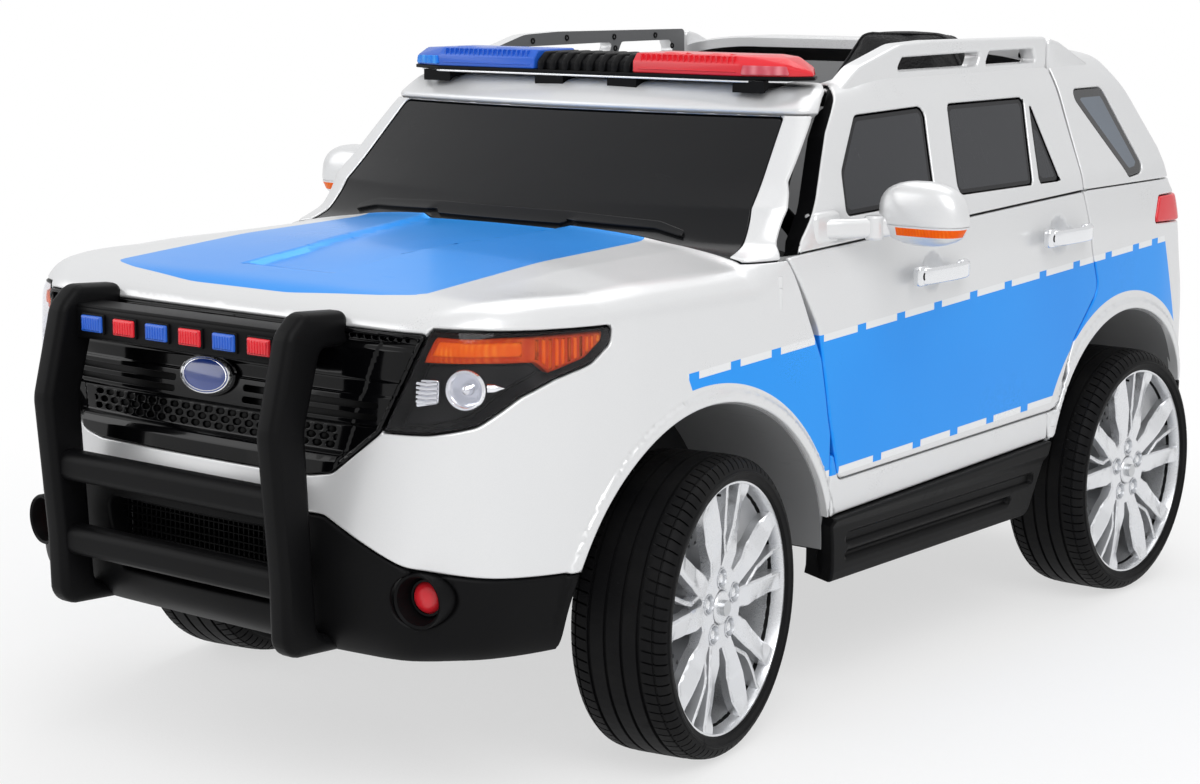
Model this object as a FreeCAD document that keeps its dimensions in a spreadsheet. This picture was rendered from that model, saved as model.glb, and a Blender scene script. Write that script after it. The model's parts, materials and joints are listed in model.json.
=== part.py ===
import FreeCAD, Part
import math
import os
import Sketcher
from FreeCAD import Vector

# Battery ride-on police SUV for a small child.
# Frame: millimetres, +Z up, the nose towards -Y, the car's own left towards +X.
# The origin is on the ground under the middle of the whole toy.

SIZES = (
    # name, value, what it sets
    ("wheelbase", 760, "front axle to rear axle"),
    ("front_overhang", 385, "front axle to the front of the push bar"),
    ("rear_overhang", 208, "rear axle to the back of the rear bumper"),
    ("body_half", 311, "centreline to the widest point of the doors"),
    ("body_wall", 12, "thickness of the moulded body shell"),
    ("door_wall", 22, "thickness of the whole door"),
    ("door_gap", 3, "seam all round each door"),
    ("hinge_depth", 13, "door hinge pin, in from the widest point of the doors"),
    ("hinge_lead", 12, "door hinge pin, ahead of the door's front corner"),
    ("hinge_pin", 3, "radius of a door hinge pin"),
    ("hinge_ring", 6, "outside radius of the door's hinge eye"),
    ("hinge_level", 405, "underside of the door's hinge eye"),
    ("hinge_height", 14, "height of the door's hinge eye"),
    ("hinge_neck", 25, "hinge neck, inboard from the pin"),
    ("hinge_reach", 42, "hinge strap, rearward from the pin"),
    ("hinge_strap", 5, "thickness of the hinge neck and strap"),
    ("glass_wall", 6, "thickness of the window panels"),
    ("fit_gap", 0.4, "clearance of a piece that is set into an opening"),
    ("wheel_radius", 134, "ground to axle, and tyre outside"),
    ("drawn_axle", 134, "axle height that every other height in this file is given for"),
    ("wheel_clear", 6, "free space inboard of a wheel"),
    ("tyre_width", 94, "tyre across the tread"),
    ("tyre_shoulder", 9, "rounding of the tread's shoulders"),
    ("rim_radius", 112, "outside of the rim, where the tyre sits"),
    ("rim_wall", 6, "thickness of the rim's barrel"),
    ("rim_depth", 14, "thickness of the rim's spoked face"),
    ("rim_inset", 5, "rim face in from the tyre's outer wall"),
    ("hub_radius", 31, "solid middle of the rim"),
    ("hub_depth", 20, "length of the rim's hub along the axle"),
    ("spoke_half_angle", 22, "half the angle of each window between spokes"),
    ("spoke_count", 5, "windows and spokes in a rim"),
    ("wheel_face", 322, "centreline to a wheel's outer wall, steered straight"),
    ("kingpin_half", 282, "centreline to a kingpin"),
    ("kingpin_radius", 6, "kingpin"),
    ("knuckle_radius", 12, "knuckle barrel round the kingpin"),
    ("knuckle_half", 22, "half the height of the knuckle barrel"),
    ("pin_gap", 0.3, "radial clearance of a pin or shaft in its bore"),
    ("axle_radius", 7, "rear axle and stub axles"),
    ("arm_length", 50, "kingpin to tie rod pin"),
    ("arm_wall", 8, "thickness of a steering arm"),
    ("arm_width", 16, "width of a steering arm"),
    ("tie_pin_radius", 4, "tie rod pins"),
    ("tie_radius", 5, "tie rod"),
    ("steer_rest", 9.6, "how far the front wheels stand turned to the left"),
    ("steer_ratio", 1.8, "turn of the steering wheel for each turn of the front wheels"),
    ("beam_section", 22, "front axle beam, across"),
    ("lug_wall", 8, "thickness of the lugs that hold a kingpin"),
    ("arch_front", 188, "radius of a front wheel opening"),
    ("arch_rear", 161, "radius of a rear wheel opening"),
    ("arch_level_front", 125, "height of the middle of a front wheel opening"),
    ("arch_level_rear", 151, "height of the middle of a rear wheel opening"),
    ("liner_wall", 8, "thickness of the wheel well liners"),
    ("well_clear", 10, "inner wall of a wheel well, in from the gearbox"),
    ("floor_height", 159, "top of the cabin floor"),
    ("floor_wall", 14, "thickness of the floor"),
    ("bench_height", 262, "top of the seat bench"),
    ("bench_wall", 10, "thickness of the seat bench"),
    ("seat_side", 130, "middle of the driver's seat, left of the centreline"),
    ("seat_width", 182, "driver's seat across"),
    ("seat_front", 14, "front of the seat cushion, ahead of the middle of the wheelbase"),
    ("cushion_depth", 153, "seat cushion, front to back"),
    ("cushion_height", 44, "thickness of the seat cushion"),
    ("seat_gap", 0.3, "clearance round the soft seat pieces"),
    ("back_wall", 46, "thickness of the seat back"),
    ("bar_half", 138, "centreline to a push bar upright"),
    ("bar_section", 23, "push bar upright, across"),
    ("bar_round", 7, "rounding of an upright's front edges"),
    ("bar_tube", 13, "radius of the lower cross tubes"),
    ("lightbar_half", 250, "centreline to an end of the light bar"),
    ("lightbar_depth", 70, "light bar, front to back"),
    ("lightbar_base", 4, "thickness of the light bar's base plate"),
    ("lightbar_lens", 19, "height of the light bar's lenses"),
    ("lightbar_core", 62, "half the width of the light bar's middle housing"),
    ("lightbar_level", 579, "underside of the light bar's base plate"),
    ("steering_radius", 88, "steering wheel rim"),
    ("steering_grip", 9, "radius of the steering wheel's grip"),
    ("column_radius", 9, "steering column"),
    ("column_length", 262, "steering column, wheel to lower end"),
    ("column_rake", 55, "steering column, from upright"),
    ("badge_width", 62, "badge plate across"),
    ("badge_height", 31, "badge plate up and down"),
    ("badge_wall", 6, "thickness of the badge plate"),
    ("fog_radius", 17, "fog lamp"),
    ("battery_length", 150, "battery across the car"),
    ("battery_depth", 96, "battery along the car"),
    ("battery_height", 90, "battery up and down"),
    ("gearbox_width", 52, "motor gearbox along the axle"),
    ("gearbox_length", 132, "motor gearbox along the car"),
    ("gearbox_height", 74, "motor gearbox up and down"),
    ("handle_length", 92, "door handle"),
)

VALUE = {name: float(amount) for name, amount, note in SIZES}

doc = FreeCAD.newDocument("police_suv")
sheet = doc.addObject("Spreadsheet::Sheet", "sizes")
for row, (name, amount, note) in enumerate(SIZES, start=1):
    sheet.set("A%d" % row, name)
    sheet.set("B%d" % row, str(amount))
    sheet.set("C%d" % row, note)
    sheet.setAlias("B%d" % row, name)
doc.recompute()

NODES = []

# The push bar's front and the rear bumper's back are equally far from the origin.
MIDDLE = (VALUE["front_overhang"] - VALUE["rear_overhang"]) / 2
FRONT = MIDDLE - VALUE["wheelbase"] / 2
REAR = MIDDLE + VALUE["wheelbase"] / 2
MIDDLE_TEXT = "front_overhang/2 - rear_overhang/2"
FRONT_TEXT = MIDDLE_TEXT + " - wheelbase/2"
REAR_TEXT = MIDDLE_TEXT + " + wheelbase/2"
HALF = VALUE["body_half"]
AXLE = VALUE["wheel_radius"]
RISE = AXLE - VALUE["drawn_axle"]
RISE_TEXT = "wheel_radius - drawn_axle"
GEARBOX_OUTER = VALUE["wheel_face"] - VALUE["tyre_width"] - VALUE["wheel_clear"]
WELL_HALF = GEARBOX_OUTER - VALUE["gearbox_width"] - VALUE["well_clear"]
FAR = 1000.0
X_AXIS = Vector(1, 0, 0)
Y_AXIS = Vector(0, 1, 0)
Z_AXIS = Vector(0, 0, 1)


def amount_of(text):
    """Add up a line such as 'wheelbase/2 + 10'."""
    total = 0.0
    sign = 1
    for token in text.split():
        if token in "+-":
            sign = 1 if token == "+" else -1
            continue
        name, _, divisor = token.partition("/")
        worth = VALUE[name] if name in VALUE else float(name)
        total += sign * worth / float(divisor or 1)
        sign = 1
    return total


def formula(text):
    """Turn the same line into a spreadsheet expression."""
    words = []
    for token in text.split():
        name = token.partition("/")[0]
        words.append("sizes." + token if name in VALUE else token)
    return " ".join(words)


def bind(item, **lines):
    """Bind properties of an object to the sheet."""
    for field, text in lines.items():
        item.setExpression(field.replace("__", "."), formula(text))


def stand(item, across="0", along="0", up="0"):
    """Bind an object's place to the sheet."""
    bind(item, Placement__Base__x=across, Placement__Base__y=along, Placement__Base__z=up)


def node(item, label):
    """Keep an object as a sub-part, under the name of its file."""
    item.Label = label
    NODES.append(item)
    return item


def solid_node(label, shape):
    """Keep a shape that is cut from the body's surfaces as a sub-part."""
    item = doc.addObject("Part::Feature", label)
    item.Shape = shape if shape.Placement.isIdentity() else Part.makeCompound([shape])
    item.Placement = FreeCAD.Placement()
    return node(item, label)


# ---- outlines ---------------------------------------------------------------

DATUM = {"front": FRONT, "middle": MIDDLE, "rear": REAR}


def level(z):
    """A height given for the drawn axle, moved with the real one."""
    return z + RISE


def side(rows):
    """Rows of (datum, y from it, z, corner radius) to corners (y, z, radius)."""
    return [(DATUM[datum] + y, level(z), radius) for datum, y, z, radius in rows]


def front(rows):
    """Rows of (x, z, corner radius) seen from the front, at their real height."""
    return [(x, level(z), radius) for x, z, radius in rows]


def wire_through(corners, place):
    """Close a loop of straight runs, with an arc at each corner that has a radius."""
    stops = []
    for index, (a, b, radius) in enumerate(corners):
        corner = place(a, b)
        before = place(*corners[index - 1][:2])
        after = place(*corners[(index + 1) % len(corners)][:2])
        if radius == 0:
            stops.append((corner, None, corner))
            continue
        back = (before - corner).normalize()
        ahead = (after - corner).normalize()
        half = back.getAngle(ahead) / 2
        run = radius / math.tan(half)
        crown = (back + ahead).normalize() * (radius / math.sin(half) - radius)
        stops.append((corner + back * run, corner + crown, corner + ahead * run))
    edges = []
    for index, (start, crown, leave) in enumerate(stops):
        if crown is not None:
            edges.append(Part.Arc(start, crown, leave).toShape())
        following = stops[(index + 1) % len(stops)][0]
        if (following - leave).Length > 1e-6:
            edges.append(Part.LineSegment(leave, following).toShape())
    return Part.Wire(edges)


def slab(corners, view, low, high, grow=0.0):
    """Extrude an outline seen in one view, grown or shrunk by a distance."""
    place = {
        "side": lambda a, b: Vector(low, a, b),
        "front": lambda a, b: Vector(a, low, b),
        "plan": lambda a, b: Vector(a, b, low),
    }[view]
    axis = {"side": X_AXIS, "front": Y_AXIS, "plan": Z_AXIS}[view]
    face = Part.Face(wire_through(corners, place))
    if grow:
        face = face.makeOffset2D(grow, 2)
    return face.extrude(axis * (high - low))


def across(corners, view, low=-FAR, high=FAR, grow=0.0):
    """An outline of one half, closed with its mirror image about the centreline."""
    both = corners + [(-a, b, radius) for a, b, radius in reversed(corners)]
    return slab(both, view, low, high, grow)


def block(x0, x1, y0, y1, z0, z1):
    """A plain box between six planes."""
    return Part.makeBox(x1 - x0, y1 - y0, z1 - z0, Vector(x0, y0, z0))


def rod(radius, start, finish):
    """A round bar between two points."""
    return Part.makeCylinder(radius, (finish - start).Length, start, finish - start)


def pair(shape):
    """A piece and its mirror image on the other side."""
    return Part.makeCompound([shape, shape.mirror(Vector(), X_AXIS)])


def flip(shape):
    """The mirror image on the car's right."""
    return shape.mirror(Vector(), X_AXIS)


# Half of the body seen from the front: inset from body_half, height, radius.
FRONT_VIEW = (
    (14, 100, 0),
    (2, 215, 0),
    (0, 300, 0),
    (1, 405, 0),
    (8, 437, 0),
    (36, 515, 0),
    (50, 556, 0),
    (68, 588, 14),
    (118, 603, 0),
)

# The body's silhouette from the side: datum, y, height, radius.
SILHOUETTE = (
    ("front", -300, 130, 0),
    ("front", -326, 150, 20),
    ("front", -334, 215, 0),
    ("front", -316, 290, 0),
    ("front", -300, 372, 0),
    ("front", -291, 408, 14),
    ("front", -255, 424, 25),
    ("front", 62, 450, 0),
    ("front", 172, 553, 0),
    ("front", 200, 572, 20),
    ("front", 270, 576, 0),
    ("middle", 20, 603, 0),
    ("rear", -20, 603, 0),
    ("rear", 22, 592, 12),
    ("rear", 60, 552, 0),
    ("rear", 122, 449, 0),
    ("rear", 136, 438, 0),
    ("rear", 156, 360, 0),
    ("rear", 178, 313, 0),
    ("rear", 201, 258, 0),
    ("rear", 206, 222, 0),
    ("rear", 206, 150, 20),
    ("rear", 190, 130, 0),
)

# Half of the body seen from above: datum, y, inset from body_half, radius.
PLAN = (
    ("rear", 208, 150, 0),
    ("rear", 196, 62, 40),
    ("rear", 150, 12, 50),
    ("rear", 90, 0, 0),
    ("front", -110, 0, 0),
    ("front", -175, 8, 60),
    ("front", -262, 40, 60),
    ("front", -312, 92, 60),
    ("front", -334, 190, 0),
)


def column_hull(inset):
    """The body's front view and plan together, with no top or bottom of their own."""
    front_view = front([(HALF - depth, z, radius) for depth, z, radius in FRONT_VIEW])
    plan = [(HALF - depth, DATUM[datum] + y, radius) for datum, y, depth, radius in PLAN]
    return across(front_view, "front", grow=-inset).common(across(plan, "plan", grow=-inset))


def hull(inset):
    """The body's outer surface, or the same surface moved inwards."""
    return slab(side(SILHOUETTE), "side", -FAR, FAR, -inset).common(column_hull(inset))


OUTER = hull(0)
SHELL = OUTER.cut(hull(VALUE["body_wall"]))
DOOR_SKIN = OUTER.cut(hull(VALUE["door_wall"]))
LEFT_HALF = block(0, FAR, -FAR, FAR, 0, FAR)
FIT = VALUE["fit_gap"]
SEAM = VALUE["door_gap"]

# Side outlines of the openings and panels: datum, y, z, radius.
DOOR = (
    ("front", 112, 431, 0),
    ("front", 160, 360, 40),
    ("front", 179, 274, 0),
    ("front", 197, 214, 8),
    ("rear", -154, 222, 14),
    ("rear", -117, 293, 30),
    ("rear", -66, 342, 18),
    ("rear", -82, 386, 0),
    ("rear", -95, 449, 0),
)
DOOR_FRAME = (
    ("front", 112, 431, 0),
    ("front", 196, 509, 0),
    ("front", 272, 572, 16),
    ("front", 300, 580, 0),
    ("rear", -98, 580, 10),
    ("rear", -97, 523, 0),
    ("rear", -95, 449, 0),
)
FRONT_WINDOW = (
    ("front", 214, 458, 5),
    ("front", 225, 497, 5),
    ("front", 271, 546, 8),
    ("middle", 14, 549, 6),
    ("middle", -10, 462, 6),
)
REAR_WINDOW = (
    ("middle", 34, 463, 6),
    ("middle", 58, 549, 6),
    ("rear", -172, 549, 6),
    ("rear", -200, 463, 6),
)
CORNER_WINDOW = (
    ("rear", -162, 544, 3),
    ("rear", -185, 463, 3),
    ("rear", -142, 463, 3),
)
QUARTER_WINDOW = (
    ("rear", -74, 553, 6),
    ("rear", 0, 553, 8),
    ("rear", 48, 460, 8),
    ("rear", 10, 456, 6),
)


def arch_circle(end):
    """Radius, y and height of the middle of the wheel openings at one end of the car."""
    return VALUE["arch_" + end], DATUM[end], level(VALUE["arch_level_" + end])


def arch(end):
    """The round wheel openings on both sides, open downwards."""
    radius, datum, centre = arch_circle(end)
    hole = Part.makeCylinder(radius, 2 * FAR, Vector(-FAR, datum, centre), X_AXIS)
    below = block(-FAR, FAR, datum - radius, datum + radius, -FAR, centre)
    spine = block(-WELL_HALF, WELL_HALF, -FAR, FAR, -FAR, FAR)
    return hole.fuse(below).cut(spine)


FRONT_ARCH = arch("front")
REAR_ARCH = arch("rear")
DOOR_HOLE = slab(side(DOOR), "side", -FAR, FAR, SEAM)
FRAME_HOLE = slab(side(DOOR_FRAME), "side", -FAR, FAR, SEAM)

# ---- front of the body ------------------------------------------------------

# Half outlines seen from the front: x, z, radius.
BUMPER_TOP = ((HALF + 20, 190, 0), (222, 216, 20), (178, 235, 30), (146, 250, 10))
GRILLE_HOLE = ((146, 280, 14), (197, 321, 0), (216, 364, 0), (229, 396, 3))
HEADLAMP_FRONT = ((199, 320, 0), (218, 364, 0), (233, 403, 0), (FAR, 403, 0), (FAR, 320, 0))
HEADLAMP_SIDE = (
    ("front", -400, 320, 0),
    ("front", -268, 326, 12),
    ("front", -228, 350, 20),
    ("front", -160, 369, 10),
    ("front", -134, 388, 4),
    ("front", -136, 403, 0),
    ("front", -400, 403, 0),
)
# Ends of the front and rear mouldings, from the front and rear axles.
NOSE_DEPTH = 150
TAIL_DEPTH = 100
# Lower edges of the painted body at the front and rear arches, and of the sills.
SILL_FRONT = 181.0
SILL_REAR = 193.0
SKIRT_LOW = 117.0
# The air intake in the bumper: half its width, its back from the front axle, its heights.
INTAKE_HALF = 112.0
INTAKE_BACK = 318.0
INTAKE_LOW = 168.0
INTAKE_HIGH = 232.0
# The middle of a fog lamp, and its front and length from the front axle.
FOG_SIDE = 233.0
FOG_HEIGHT = 189.0
FOG_FRONT = 306.0
FOG_LENGTH = 34.0
# The louvres of the grille: their lower edges, height, depth and half width.
LOUVRES = (312.0, 334.0, 356.0)
LOUVRE_HEIGHT = 7.0
LOUVRE_DEPTH = 16.0
LOUVRE_HALF = 176.0
# The badge plate's place on the grille, and its lean in degrees.
BADGE_FRONT = 304.0
BADGE_HEIGHT = 347.0
BADGE_LEAN = 11.0


def bumper_zone():
    """Everything ahead of the front wheels and below the bumper's top line."""
    rows = [(HALF + 20, 0, 0)] + front(BUMPER_TOP)
    return across(rows, "front", -FAR, FRONT - NOSE_DEPTH)


def grille_zone(grow=0.0):
    """The opening in the nose that holds the grille."""
    return across(front(GRILLE_HOLE), "front", -FAR, FRONT - NOSE_DEPTH, grow)


def headlamp_zone(grow=0.0):
    """The opening at the left front corner that holds a headlamp."""
    seen_from_front = slab(front(HEADLAMP_FRONT), "front", -FAR, FRONT, grow)
    return seen_from_front.common(slab(side(HEADLAMP_SIDE), "side", 0, FAR, grow))


def hinge_point(up=0.0):
    """A point on the left door's hinge line, above the underside of its eye."""
    ahead = FRONT + DOOR[0][1] - VALUE["hinge_lead"]
    return Vector(HALF - VALUE["hinge_depth"], ahead, level(VALUE["hinge_level"]) + up)


# Free space over and under a hinge eye, and the height of the boss under it.
EYE_CLEAR = 1.0
BOSS_HEIGHT = 20.0


def hinge_pocket():
    """The room in the front body that the left door's hinge eye and neck turn in."""
    room = VALUE["hinge_ring"] + EYE_CLEAR
    foot = hinge_point(-EYE_CLEAR)
    inner = foot.x - 2 * VALUE["hinge_neck"]
    top = foot.z + VALUE["hinge_height"] + 2 * EYE_CLEAR
    return block(inner, foot.x + room, foot.y - room, foot.y + VALUE["hinge_reach"], foot.z, top)


def hinge_post():
    """The pin that stands on a boss inside the front body."""
    foot = hinge_point(-EYE_CLEAR - BOSS_HEIGHT)
    boss = Part.makeCylinder(VALUE["hinge_ring"], BOSS_HEIGHT, foot)
    length = BOSS_HEIGHT + VALUE["hinge_height"] + 2 * EYE_CLEAR
    return boss.fuse(Part.makeCylinder(VALUE["hinge_pin"], length, foot))


def hinge_eye():
    """The eye on its swan neck, which reaches inboard round the front body's edge."""
    foot = hinge_point()
    wall = VALUE["hinge_strap"]
    top = foot.z + VALUE["hinge_height"]
    inner = foot.x - VALUE["hinge_neck"]
    near = foot.y - wall / 2
    end = foot.y + VALUE["hinge_reach"]
    ring = Part.makeCylinder(VALUE["hinge_ring"], VALUE["hinge_height"], foot)
    neck = block(inner, foot.x, near, near + wall, foot.z, top)
    strap = block(inner, inner + wall, near, end, foot.z, top)
    pad = block(inner, HALF - VALUE["door_wall"], end - 2 * wall, end, foot.z, top)
    bore = Part.makeCylinder(VALUE["hinge_pin"] + VALUE["pin_gap"], VALUE["hinge_height"], foot)
    return ring.fuse(neck).fuse(strap).fuse(pad).cut(bore)


def front_body():
    """Bonnet, wings and nose in one moulding."""
    zone = slab(
        side((
            ("front", -400, 120, 0),
            ("front", 183, 120, 0),
            ("front", 183, 300, 0),
            ("front", 112, 434, 0),
            ("front", 56, 434, 0),
            ("front", 56, 470, 0),
            ("front", -400, 470, 0),
        )), "side", -FAR, FAR)
    shape = SHELL.common(zone).cut(DOOR_HOLE).cut(FRAME_HOLE).cut(FRONT_ARCH)
    shape = shape.cut(bumper_zone()).cut(grille_zone())
    shape = shape.cut(headlamp_zone()).cut(flip(headlamp_zone()))
    shape = shape.cut(hinge_pocket()).cut(flip(hinge_pocket()))
    shape = shape.fuse(hinge_post()).fuse(flip(hinge_post()))
    below_sill = block(-FAR, FAR, FRONT - NOSE_DEPTH, FAR, -FAR, level(SILL_FRONT))
    solid_node("front_body", shape.cut(below_sill))


def lower_bumper():
    """The dark front bumper, with its deep intake between the uprights."""
    ahead = block(-FAR, FAR, -FAR, FRONT - NOSE_DEPTH, 0, FAR)
    thick = OUTER.cut(hull(2 * VALUE["body_wall"]))
    shape = thick.common(ahead).common(bumper_zone()).cut(FRONT_ARCH)
    shape = shape.cut(block(-INTAKE_HALF, INTAKE_HALF, -FAR, FRONT - INTAKE_BACK,
                            level(INTAKE_LOW), level(INTAKE_HIGH)))
    recess = VALUE["fog_radius"] + FIT
    mouth = Vector(FOG_SIDE, FRONT - FOG_FRONT - FOG_LENGTH, level(FOG_HEIGHT))
    shape = shape.cut(pair(Part.makeCylinder(recess, 3 * FOG_LENGTH, mouth, Y_AXIS)))
    return solid_node("lower_bumper", shape.removeSplitter())


def fog_lamps():
    """Two round lamps set into the bumper's corners."""
    face = Vector(FOG_SIDE, FRONT - FOG_FRONT, level(FOG_HEIGHT))
    solid_node("fog_lamps", pair(Part.makeCylinder(VALUE["fog_radius"], FOG_LENGTH, face, Y_AXIS)))


def grille():
    """The gloss grille, a thick moulding that fills its opening."""
    thick = OUTER.cut(hull(VALUE["body_wall"] + 10))
    shape = thick.common(grille_zone(-FIT))
    face = shape.BoundBox.YMin
    for low in LOUVRES:
        shape = shape.cut(block(-LOUVRE_HALF, LOUVRE_HALF, face - LOUVRE_DEPTH, face + LOUVRE_DEPTH,
                                level(low), level(low + LOUVRE_HEIGHT)))
    solid_node("grille", shape)


def badge_plate():
    """A blank oval plate in the middle of the grille."""
    oval = Part.Ellipse(Vector(), VALUE["badge_width"] / 2, VALUE["badge_height"] / 2)
    face = Part.Face(Part.Wire(oval.toShape()))
    plate = face.extrude(Z_AXIS * VALUE["badge_wall"])
    plate.rotate(Vector(), X_AXIS, 90 - BADGE_LEAN)
    plate.translate(Vector(0, FRONT - BADGE_FRONT, level(BADGE_HEIGHT)))
    solid_node("badge_plate", plate.cut(OUTER))


def headlamps():
    """Lamp units that wrap round the front corners."""
    thick = OUTER.cut(hull(VALUE["body_wall"] + 14))
    solid_node("headlamps", pair(thick.common(headlamp_zone(-FIT))))


# The outline of a push bar upright seen from the side: y from the front axle, z, radius.
UPRIGHT = (
    ("front", -285, 146, 0),
    ("front", -326, 152, 12),
    ("front", -329, 200, 60),
    ("front", -335, 322, 40),
    ("front", -316, 385, 10),
    ("front", -280, 385, 0),
    ("front", -280, 414, 0),
    ("front", -334, 416, 16),
    ("front", -352, 400, 20),
    ("front", -373, 322, 40),
    ("front", -363, 200, 60),
    ("front", -362, 138, 16),
    ("front", -285, 134, 0),
)
# Edges ahead of this, from the front axle, are the upright's rounded front ones.
UPRIGHT_FORE = -340.0
# The two cross tubes: y from the front axle, z.
TUBES = ((-350, 262), (-346, 196))
# The lamp bar between the uprights: y range from the front axle, z range.
LAMP_BAR_Y = (-339, -325)
LAMP_BAR_Z = (371, 399)
# The lamps on it: distance from one to the next, half width, depth, z range.
LAMP_PITCH = 41.0
LAMP_HALF = 13.0
LAMP_DEPTH = 6.0
LAMP_Z = (378, 393)


def upright():
    """One kinked plate whose front edges are rounded."""
    at = VALUE["bar_half"]
    half = VALUE["bar_section"] / 2
    plate = slab(side(UPRIGHT), "side", at - half, at + half)
    fore = [edge for edge in plate.Edges
            if edge.BoundBox.XLength < 0.01 and edge.BoundBox.YMax < FRONT + UPRIGHT_FORE]
    return plate.makeFillet(VALUE["bar_round"], fore)


def push_bar():
    """Two uprights, a flat lamp bar and two cross tubes, welded into one frame."""
    left = upright()
    shape = left.fuse(flip(left))
    reach = VALUE["bar_half"]
    shape = shape.fuse(block(-reach, reach, FRONT + LAMP_BAR_Y[0], FRONT + LAMP_BAR_Y[1],
                             level(LAMP_BAR_Z[0]), level(LAMP_BAR_Z[1])))
    for y, z in TUBES:
        shape = shape.fuse(rod(VALUE["bar_tube"], Vector(-reach, FRONT + y, level(z)),
                               Vector(reach, FRONT + y, level(z))))
    shape = shape.cut(OUTER)
    largest = max(shape.Solids, key=lambda solid: solid.Volume)
    solid_node("push_bar", largest.removeSplitter())


def push_bar_lamps():
    """Six small lamps in a row on the lamp bar."""
    lamps = []
    face = FRONT + LAMP_BAR_Y[0]
    for step in (-2.5, -1.5, -0.5, 0.5, 1.5, 2.5):
        x = step * LAMP_PITCH
        lamps.append(block(x - LAMP_HALF, x + LAMP_HALF, face - LAMP_DEPTH, face,
                           level(LAMP_Z[0]), level(LAMP_Z[1])))
    solid_node("push_bar_lamps", Part.makeCompound(lamps))


# ---- sides and rear of the body ---------------------------------------------


# Centreline to the inner faces of the sills, where the cabin floor ends.
INSIDE_HALF = HALF - 34


def rocker_panels():
    """The body-coloured strips under the doors."""
    zone = slab(
        side((
            ("front", 183, SILL_FRONT, 0),
            ("rear", -168, SILL_REAR, 0),
            ("rear", -168, 240, 0),
            ("front", 183, 240, 0),
        )), "side", -FAR, FAR)
    shape = SHELL.common(zone).cut(DOOR_HOLE).cut(REAR_ARCH).cut(FRONT_ARCH)
    solid_node("rocker_panels", shape)


def side_skirts():
    """The dark sills between the wheels."""
    zone = slab(
        side((
            ("front", 175, SKIRT_LOW, 0),
            ("rear", -208, SKIRT_LOW, 0),
            ("rear", -168, SILL_REAR, 0),
            ("front", 183, SILL_FRONT, 0),
        )), "side", -FAR, FAR)
    shape = column_hull(0).common(zone).cut(REAR_ARCH).cut(FRONT_ARCH)
    inner = block(-INSIDE_HALF, INSIDE_HALF, -FAR, FAR, 0, FAR)
    return solid_node("side_skirts", shape.cut(inner))


def rear_body():
    """The rear quarters and the tail below the belt line."""
    zone = slab(
        side((
            ("rear", -168, SILL_REAR, 0),
            ("rear", 0, SILL_REAR, 0),
            ("rear", 160, 214, 0),
            ("rear", 260, 214, 0),
            ("rear", 260, 449, 0),
            ("rear", -168, 449, 0),
        )), "side", -FAR, FAR)
    shape = SHELL.common(zone).cut(DOOR_HOLE).cut(FRAME_HOLE).cut(REAR_ARCH)
    shape = shape.cut(tail_lamp_zone()).cut(flip(tail_lamp_zone()))
    solid_node("rear_body", shape)


def tail_lamp_zone(grow=0.0):
    """The opening at the left rear corner that holds a tail lamp."""
    rows = side((
        ("rear", 60, 402, 0),
        ("rear", 74, 431, 0),
        ("rear", 220, 431, 0),
        ("rear", 220, 396, 0),
    ))
    return slab(rows, "side", 190, FAR, grow)


def tail_lamps():
    """Red lamps that wrap round the rear corners."""
    solid_node("tail_lamps", pair(SHELL.common(tail_lamp_zone(-FIT))))


def rear_bumper():
    """The dark rear bumper behind the rear wheels."""
    zone = slab(
        side((
            ("rear", TAIL_DEPTH, 120, 0),
            ("rear", 260, 120, 0),
            ("rear", 260, 214, 0),
            ("rear", 160, 214, 0),
            ("rear", TAIL_DEPTH, 206, 0),
        )), "side", -FAR, FAR)
    thick = OUTER.cut(hull(2 * VALUE["body_wall"]))
    return solid_node("rear_bumper", thick.common(zone).cut(REAR_ARCH).removeSplitter())


# Half of the tailgate's window seen from behind: x, z, radius.
TAILGATE_WINDOW = ((205, 466, 14), (176, 548, 14))


def tailgate_zone(grow=0.0):
    """The tailgate's window opening."""
    return across(front(TAILGATE_WINDOW), "front", REAR + 30, FAR, grow)


def rear_upper():
    """Rear roof, quarter pillars and tailgate frame above the belt line."""
    zone = slab(
        side((
            ("rear", -94, 449, 0),
            ("rear", 260, 449, 0),
            ("rear", 260, 640, 0),
            ("rear", -94, 640, 0),
        )), "side", -FAR, FAR)
    shape = SHELL.common(zone).cut(FRAME_HOLE)
    shape = shape.cut(slab(side(QUARTER_WINDOW), "side", -FAR, FAR))
    outside = HALF - RAIL_INSET
    shoulder = slab(side(RAIL_SHOULDER), "side", outside - RAIL_WALL, outside)
    shape = shape.fuse(pair(shoulder.cut(hull(VALUE["body_wall"]))))
    solid_node("rear_upper", shape.cut(tailgate_zone()))


def quarter_glass():
    """The fixed rear side windows."""
    skin = OUTER.cut(hull(VALUE["glass_wall"]))
    glass = skin.common(slab(side(QUARTER_WINDOW), "side", 0, FAR, -FIT))
    solid_node("quarter_glass", pair(glass))


def tailgate_glass():
    """The fixed window in the tailgate."""
    skin = OUTER.cut(hull(VALUE["glass_wall"]))
    solid_node("tailgate_glass", skin.common(tailgate_zone(-FIT)))


# ---- windscreen and roof ----------------------------------------------------

# Half of the windscreen seen from the front: x, z, radius.
SCREEN = ((HALF - 50, 434, 12), (HALF - 74, 546, 12))
SCREEN_LOW = 451.0
HEADER_LOW = 550.0
# Half of the header seen from above: inset from body_half, y from the front axle.
HEADER_PLAN = ((20, 120), (48, 190), (48, 212), (60, 240), (86, 272))


def screen_zone(grow=0.0):
    """The windscreen opening."""
    return across(front(SCREEN), "front", -FAR, FRONT + 230, grow)


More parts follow.
